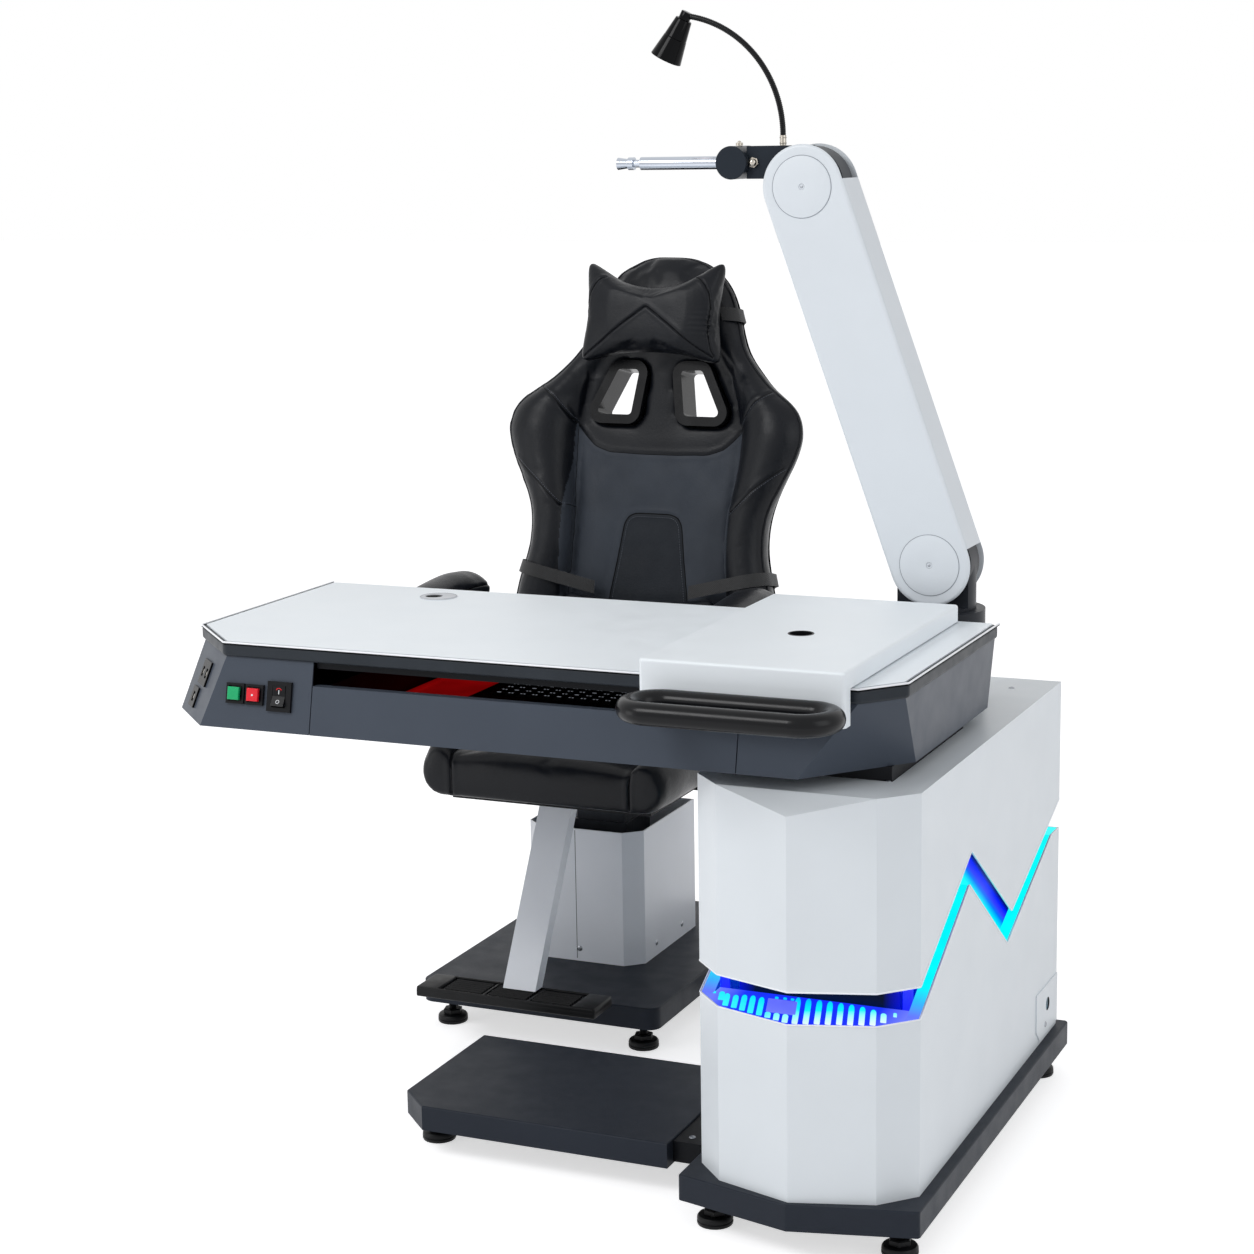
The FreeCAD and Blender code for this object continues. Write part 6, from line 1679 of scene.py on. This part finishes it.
def build_clips():
    """The metal contacts in the socket outlets."""
    clips = [slab("clip", SIDE, rectangle(3.2, 6.5, 0.6, spot), 1.2, 2.2)
             for spot in ((-8.0, 14.0), (12.0, 14.0), (-14.0, -27.0))]
    dress(joined("socket_clips", clips), "nickel", "frame")


TRAY_HOLE = (-65.0, 241.0, 0.0)
GROMMET = (-760.8, 466.8, 801.4)
GROMMET_SLOT = (-768.8, 466.8, 0.0)
CABLE_PORT = (161.8, 768.0, 137.0)


def build_liners():
    """The ring in the tray's hole, the grommet's line, a black disc of painted shade in the
    grommet's hole, and the port's bush.
    """
    liner = lathe("tray_hole_liner", [(0.0163, 0.8035), (0.0182, 0.8035), (0.0182, 0.8266),
                                      (0.0188, 0.8271), (0.0186, 0.8276), (0.0168, 0.8276),
                                      (0.0163, 0.827), (0.0163, 0.8035)],
                  place(*TRAY_HOLE), (0, 0, 1), 48)
    dress(liner, "black_plastic", "tray")
    line = ring_tube("grommet_line", place(*GROMMET), (0, 0, 1), 0.0286, 0.0004, 6, 64)
    dress(line, "groove_grey", "frame")
    # a black disc just under the grommet's top: painted shade in its hole
    hole = lathe("grommet_hole", [(0.0001, 0.7995), (0.0137, 0.7995), (0.0137, 0.8002),
                                  (0.0001, 0.8002)], place(*GROMMET_SLOT), (0, 0, 1), 40)
    dress(hole, "seam_line", "frame")
    bush = ring_tube("port_bush", place(*CABLE_PORT), (1, 0, 0), 0.0108, 0.0011, 8, 40)
    dress(bush, "black_plastic", "frame")


# Footrest, screws and feet

TREAD_LOW = 99.0
TREAD_HIGH = 117.0


def build_footrest(settings):
    """The ribbed foot plate with its raised rim and end pads."""
    def bar(name, x, y, z, off):
        return block(name, place(CHAIR_X + x[0], y[0], z[0]), place(CHAIR_X + x[1], y[1], z[1]),
                     off)

    parts = [bar("tread", (-165, 165), (530, 603), (TREAD_LOW, 112.4), 0.003)]
    for low in (530.0, 598.5):
        parts.append(bar("rim", (-164, 164), (low, low + 4.5), (108, TREAD_HIGH - 0.4), 0.0021))
    for low, high in ((-165, -123), (123, 165)):
        parts.append(bar("pad", (low, high), (530.4, 602.6), (104, TREAD_HIGH), 0.0035))
    for x in (-42.0, 42.0):
        parts.append(bar("step", (x - 2.2, x + 2.2), (532, 601), (110, 114.6), 0.0008))
    plate = joined("footrest_tread", parts)
    dress(plate, "black_rubber", "seat")
    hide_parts("footrest_plate")
    rib = tube("rib", [Vector((s, 0, 0)) for s in (-0.0355, -0.0345, 0.0345, 0.0355)],
               [0.0014, 0.0027, 0.0027, 0.0014], 8)
    count = max(2, int(60 / settings.tread))
    points = [place(CHAIR_X + x, 566.5 + (k - (count - 1) / 2) * settings.tread, 113.9)
              for x in (-81.5, 0.0, 81.5) for k in range(count)]
    row_of("footrest_ribs", rib, points, [Vector((0, 0, 1))] * len(points),
           "black_rubber", "seat")


SCREWS = (((-100, 757, 654), (0, 0, 1)), ((100, 757, 654), (0, 0, 1)),
          ((100, 133, 654), (0, 0, 1)), ((163, 754, 107), (1, 0, 0)),
          ((-211.5, 173, 80), (0, 0, 1)), ((-701, 843, 106), (0, -1, 0)),
          ((-586, 921, 106), (1, 0, 0)), ((-586, 1038, 106), (1, 0, 0)))


def build_screws():
    """The dome screws of the housings, each with a socket in its head."""
    head = lathe("head", [(0.0001, 0.0006), (0.0017, 0.0006), (0.0019, 0.0016), (0.003, 0.0015),
                          (0.0043, 0.001), (0.005, 0.0002), (0.005, -0.0006)],
                 (0, 0, 0), (0, 0, 1), 18)
    row = row_of("dome_screws", head, [place(*spot) for spot, _ in SCREWS],
                 [Vector(way) for _, way in SCREWS], "steel", "frame")
    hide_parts("housing_screws")


FEET = ([(x, y) for x in (-137, 137) for y in (74, 810)] + [(-650, 209), (-650, 404)]
        + [(x, y) for x in (-878, -514) for y in (692, 1210)])
FOOT_PAD = ((0.01, 0.0), (23.5, 0.0), (25.2, 0.8), (26.0, 2.6), (26.0, 5.6), (24.8, 6.4),
            (24.8, 7.4), (26.0, 8.2), (25.6, 11.8), (23.8, 14.2), (20.0, 15.0), (0.01, 15.0))
FOOT_NUT = ((0.01, 15.0), (15.4, 15.0), (17.0, 16.0), (17.0, 22.6), (15.4, 24.0), (0.01, 24.0))


def build_feet():
    """The levelling feet: a ribbed pad, a hexagon nut and a threaded stem each."""
    pad = lathe("pad", [(r * MM, z * MM) for r, z in FOOT_PAD], (0, 0, 0), (0, 0, 1), 30)
    nut = lathe("nut", [(r * MM, z * MM) for r, z in FOOT_NUT], (0, 0, 0), (0, 0, 1), 6)
    turns = [(r * MM, z * MM) for k in range(10)
             for r, z in ((6.4, 24.0 + 2.1 * k), (7.0, 25.05 + 2.1 * k))]
    stem = lathe("stem", [(0.00001, 0.024)] + turns + [(0.00001, 0.045)],
                 (0, 0, 0), (0, 0, 1), 14)
    foot = joined("foot", [pad, nut, stem])
    points = [place(x, y, 0.0) for x, y in FEET]
    row = row_of("feet_row", foot, points, [Vector((0, 0, 1))] * len(points),
                 "black_rubber", "frame")
    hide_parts("levelling_feet")


def build_housing_seam():
    """The upright joint in the front of the chair's housing."""
    face = Face((-706.0, 843.0, 205.0), (1, 0, 0), (0, 0, 1))
    line = slab("housing_seam", face, rectangle(1.0, 234.0, 0.3), -0.4, 0.15)
    dress(line, "seam_line", "frame")


# Settings, operators and panel

def colour_setting(name, about, tone):
    """A colour given as three sRGB bytes."""
    return bpy.props.FloatVectorProperty(name=name, description=about, subtype="COLOR_GAMMA",
                                         size=3, min=0.0, max=1.0,
                                         default=[c / 255 for c in tone])


def length_setting(name, about, value):
    """A small length in millimetres."""
    return bpy.props.FloatProperty(name=name, description=about, default=value, min=0.0,
                                   max=100.0, precision=2)


class UnitTones(bpy.types.PropertyGroup):
    white_paint: colour_setting("White paint", "Column enamel", (225, 231, 236))
    white_top: colour_setting("White top", "Table top and tray", (237, 243, 248))
    white_arm: colour_setting("White arm", "Jointed arm's enamel", (219, 225, 231))
    grey_paint: colour_setting("Grey paint", "Chair housing and leg", (234, 238, 245))
    slate: colour_setting("Slate", "Table body and drawer", (66, 73, 84))
    slate_band: colour_setting("Edge band", "Band under the table top", (42, 47, 53))
    navy: colour_setting("Foot plates", "Textured enamel of the plates", (36, 41, 50))
    leather: colour_setting("Leather", "Wings, pillows and seat", (13, 16, 22))
    panel_leather: colour_setting("Panel leather", "Middle of the backrest", (54, 59, 67))
    patch_leather: colour_setting("Patch leather", "Patch in the panel", (30, 34, 40))


class UnitPadding(bpy.types.PropertyGroup):
    pressure: bpy.props.FloatProperty(name="Filling pressure", min=0.0, max=20.0, default=4.0,
                                      description="How hard the padding fills its skin")
    start_inset: length_setting("Start inset", "How far inside its form the back starts", 3.0)
    back_skin: length_setting("Back skin", "Size of the backrest's skin faces", 7.0)
    seat_skin: length_setting("Seat skin", "Size of the seat's skin faces", 6.5)
    back_swell: length_setting("Back swell", "Most that the backrest swells", 9.0)
    seat_swell: length_setting("Seat swell", "Most that the seat swells", 8.0)
    pillow_swell: length_setting("Pillow swell", "Most that a pillow swells", 8.0)
    rest_swell: length_setting("Armrest swell", "Most that an armrest swells", 3.0)
    seam_depth: length_setting("Seam depth", "How deep a seam draws the skin in", 2.6)
    piping: length_setting("Piping", "Radius of the cord in the edge seam", 2.2)
    stitch: length_setting("Stitch pitch", "Distance between two stitches", 4.5)


class UnitFittings(bpy.types.PropertyGroup):
    slot_width: length_setting("Slot width", "Width of a lit slot", 8.4)
    rib_pitch: length_setting("Lamp tube ribs", "Distance between the lamp tube's ribs", 3.0)
    tread: length_setting("Tread ribs", "Distance between the footrest's ribs", 8.6)


class UnitStudio(bpy.types.PropertyGroup):
    eye: bpy.props.FloatVectorProperty(name="Camera", description="Place of the camera",
                                       subtype="XYZ", unit="LENGTH", size=3,
                                       default=(1.1354, -3.0737, 1.5205))
    yaw: bpy.props.FloatProperty(name="Turn", description="The camera's turn to the left",
                                 subtype="ANGLE", default=0.4169)
    pitch: bpy.props.FloatProperty(name="Tilt", description="The camera's tilt upwards",
                                   subtype="ANGLE", default=-0.191)
    roll: bpy.props.FloatProperty(name="Roll", description="The camera's roll",
                                  subtype="ANGLE", default=-0.0167)
    lens: bpy.props.FloatProperty(name="Lens", description="Focal length in millimetres",
                                  default=73.15, min=10.0, max=300.0)
    ambient: bpy.props.FloatProperty(name="Ambient", description="Strength of the room's light",
                                     default=0.55, min=0.0, max=5.0)
    key: bpy.props.FloatProperty(name="Key light", description="Power of the large lamp",
                                 default=70.0, min=0.0, max=5000.0, unit="POWER")
    fill: bpy.props.FloatProperty(name="Fill light", description="Power of the second lamp",
                                  default=22.0, min=0.0, max=5000.0, unit="POWER")
    side: bpy.props.FloatProperty(name="Side light", description="Power of the low left lamp",
                                  default=16.0, min=0.0, max=5000.0, unit="POWER")


class UnitOperator:
    """What every step of the unit shares"""
    bl_options = {"REGISTER", "UNDO"}

    @classmethod
    def poll(cls, context):
        return context.scene is not None


class UNIT_OT_finishes(UnitOperator, bpy.types.Operator):
    """Makes the materials and paints the model's own pieces"""
    bl_idname = "unit.finishes"
    bl_label = "Paint and metal"

    def execute(self, context):
        make_finishes(context.scene.unit_tones)
        finish_nodes()
        return {"FINISHED"}


class UNIT_OT_backrest(UnitOperator, bpy.types.Operator):
    """Upholsters the backrest, with its piping and stitching"""
    bl_idname = "unit.backrest"
    bl_label = "Backrest"

    def execute(self, context):
        settings = context.scene.unit_padding
        cushion, seams, patch = build_back_cushion(settings)
        build_piping(cushion, settings)
        seam_lines("backrest_seams", cushion, seams, "backrest")
        seam_lines("patch_seam", cushion, [patch], "backrest", 0.0013)
        rows = [back_path(beside(PATCH, -6.0))]
        rows += [back_path(beside(line, 3.5)) for low in (WING_HIGH, WING_LOW)
                 for line in both_sides(low)]
        stitch_rows("backrest_stitches", cushion, rows, "backrest", settings.stitch * MM)
        return {"FINISHED"}


class UNIT_OT_pillows(UnitOperator, bpy.types.Operator):
    """Fills the head and lumbar pillows and straps them on"""
    bl_idname = "unit.pillows"
    bl_label = "Pillows"

    def execute(self, context):
        settings = context.scene.unit_padding
        for build in (build_head_pillow, build_lumbar_pillow):
            pillow, seams = build(settings)
            seam_lines(pillow.name.replace("padding", "seams"), pillow, seams, "backrest", 0.0006)
        head = strap_band("head_strap", 511.0, 0.0, 108.0)
        strap_band("lumbar_strap", -19.0, STRAP_SLOPE, 84.0, 6.0)
        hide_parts("backrest_straps")
        return {"FINISHED"}


class UNIT_OT_seat(UnitOperator, bpy.types.Operator):
    """Upholsters the seat"""
    bl_idname = "unit.seat"
    bl_label = "Seat"

    def execute(self, context):
        cushion, seams = build_seat_cushion(context.scene.unit_padding)
        seam_lines("seat_seams", cushion, seams, "seat")
        return {"FINISHED"}


class UNIT_OT_armrests(UnitOperator, bpy.types.Operator):
    """Pads the two armrests"""
    bl_idname = "unit.armrests"
    bl_label = "Armrests"

    def execute(self, context):
        for side in (-1, 1):
            build_armrest(side, context.scene.unit_padding)
        return {"FINISHED"}


class UNIT_OT_light(UnitOperator, bpy.types.Operator):
    """Lights the gap in the column, with painted glow on its ledge and painted highlights on its
    edges
    """
    bl_idname = "unit.light"
    bl_label = "Light gap"

    def execute(self, context):
        build_ledge()
        build_slots(context.scene.unit_fittings)
        build_gap_edges()
        return {"FINISHED"}


class UNIT_OT_arm(UnitOperator, bpy.types.Operator):
    """Fits the arm's pivot covers, the dark discs of painted shade in its ends, the lamp and the
    bracket's nut
    """
    bl_idname = "unit.arm"
    bl_label = "Arm and lamp"

    def execute(self, context):
        build_pivot_covers()
        build_arm_liners()
        build_lamp(context.scene.unit_fittings)
        build_bracket_nut()
        return {"FINISHED"}


class UNIT_OT_controls(UnitOperator, bpy.types.Operator):
    """Marks the switches and the keypad, lines the holes, paints shade into the grommet's hole and
    a highlight along the table's edge
    """
    bl_idname = "unit.controls"
    bl_label = "Controls"

    def execute(self, context):
        build_marks()
        build_keys()
        build_clips()
        build_liners()
        build_table_edge()
        return {"FINISHED"}


class UNIT_OT_base(UnitOperator, bpy.types.Operator):
    """Fits the footrest, the screws and the levelling feet"""
    bl_idname = "unit.base"
    bl_label = "Footrest, screws and feet"

    def execute(self, context):
        build_footrest(context.scene.unit_fittings)
        build_screws()
        build_feet()
        build_housing_seam()
        return {"FINISHED"}


class UNIT_OT_studio(UnitOperator, bpy.types.Operator):
    """Sets the floor, the lamps and the camera"""
    bl_idname = "unit.studio"
    bl_label = "Studio"

    def execute(self, context):
        studio = context.scene.unit_studio
        set_camera(studio)
        set_room(studio)
        return {"FINISHED"}


def set_camera(studio):
    """The camera at the picture's viewing angle."""
    data = bpy.data.cameras.new("camera")
    camera = bpy.data.objects.new("camera", data)
    bpy.context.scene.collection.objects.link(camera)
    bpy.context.scene.camera = camera
    data.sensor_width = 36.0
    data.lens = studio.lens
    data.clip_end = 100.0
    cy, sy, cp, sp = (math.cos(studio.yaw), math.sin(studio.yaw), math.cos(studio.pitch),
                      math.sin(studio.pitch))
    ahead = Vector((-sy * cp, cy * cp, sp))
    right = Vector((cy, sy, 0))
    up = Vector((sp * sy, -sp * cy, cp))
    cr, sr = math.cos(studio.roll), math.sin(studio.roll)
    right, up = right * cr + up * sr, up * cr - right * sr
    turn = Matrix((right, up, -ahead)).transposed()
    camera.matrix_world = Matrix.LocRotScale(Vector(studio.eye) + SHIFT, turn, None)


def soft_box(name, spot, aim, size, power, colour):
    """A rectangular lamp turned to a point."""
    data = bpy.data.lights.new(name, "AREA")
    data.shape = "RECTANGLE"
    data.size, data.size_y = size
    data.energy = power
    data.color = colour
    lamp = bpy.data.objects.new(name, data)
    bpy.context.scene.collection.objects.link(lamp)
    lamp.location = spot
    lamp.rotation_euler = (Vector(aim) - Vector(spot)).to_track_quat("-Z", "Y").to_euler()


def seen_directly(tree):
    """1 for rays from the camera and for what shows in gloss and glass."""
    path = tree.nodes.new("ShaderNodeLightPath")
    total = path.outputs["Is Camera Ray"]
    for kind in ("Is Glossy Ray", "Is Transmission Ray"):
        either = tree.nodes.new("ShaderNodeMath")
        either.operation = "MAXIMUM"
        tree.links.new(total, either.inputs[0])
        tree.links.new(path.outputs[kind], either.inputs[1])
        total = either.outputs[0]
    return total


def set_room(studio):
    """The pale floor, the bright room and its lamps."""
    scene = bpy.context.scene
    scene.view_settings.view_transform = "Standard"
    world = bpy.data.worlds.new("room")
    scene.world = world
    world.use_nodes = True
    tree = world.node_tree
    sky = tree.nodes["Background"]
    sky.inputs["Color"].default_value = (1, 1, 1, 1)
    strength = tree.nodes.new("ShaderNodeMapRange")
    strength.inputs["To Min"].default_value = studio.ambient
    strength.inputs["To Max"].default_value = 1.0
    tree.links.new(seen_directly(tree), strength.inputs["Value"])
    tree.links.new(strength.outputs["Result"], sky.inputs["Strength"])
    size = 30.0
    floor = mesh_object("floor", [(-size, -size, 0), (size, -size, 0), (size, size, 0),
                                  (-size, size, 0)], [(0, 1, 2, 3)])
    pale = Finish("PaleFloor", (238, 238, 240), 0.9)
    pale.vary_colour(pale.noise(3.0, 3.0), 0.99, 1.01)
    pale.shader.inputs["Emission Color"].default_value = (1, 1, 1, 1)
    lifted = pale.ranged(seen_directly(pale.tree), 0, 1, 0, 0.6)
    pale.link(lifted, pale.shader.inputs["Emission Strength"])
    floor.data.materials.append(pale.material)
    soft_box("key", (-1.6, -3.2, 3.6), (0, 0, 0.7), (1.8, 1.5), studio.key, (1, 1, 1))
    soft_box("side", (-3.2, -2.6, 0.9), (-0.5, 0.4, 0.4), (1.6, 1.6), studio.side, (1, 1, 1))
    soft_box("fill", (3.4, -1.2, 2.2), (0, 0, 0.7), (2.0, 2.4), studio.fill, (0.96, 0.98, 1))


GROUPS = {"unit_tones": UnitTones, "unit_padding": UnitPadding, "unit_fittings": UnitFittings,
          "unit_studio": UnitStudio}
OPERATORS = (UNIT_OT_finishes, UNIT_OT_backrest, UNIT_OT_pillows, UNIT_OT_seat,
             UNIT_OT_armrests, UNIT_OT_light, UNIT_OT_arm, UNIT_OT_controls, UNIT_OT_base,
             UNIT_OT_studio)


class UNIT_PT_panel(bpy.types.Panel):
    """Lists the unit's steps and settings"""
    bl_idname = "UNIT_PT_panel"
    bl_label = "Examination unit"
    bl_space_type = "VIEW_3D"
    bl_region_type = "UI"
    bl_category = "Exam Unit"

    def draw(self, context):
        for operator in OPERATORS:
            self.layout.operator(operator.bl_idname)
        for group in GROUPS:
            box = self.layout.box()
            holder = getattr(context.scene, group)
            for name in holder.__annotations__:
                box.prop(holder, name)


def register():
    for cls in (*GROUPS.values(), *OPERATORS, UNIT_PT_panel):
        bpy.utils.register_class(cls)
    for name, group in GROUPS.items():
        setattr(bpy.types.Scene, name, bpy.props.PointerProperty(type=group))


def unregister():
    for name in GROUPS:
        delattr(bpy.types.Scene, name)
    for cls in reversed((*GROUPS.values(), *OPERATORS, UNIT_PT_panel)):
        bpy.utils.unregister_class(cls)


def main():
    register()
    for operator in OPERATORS:
        group, name = operator.bl_idname.split(".")
        getattr(getattr(bpy.ops, group), name)()


if __name__ == "__main__":
    main()
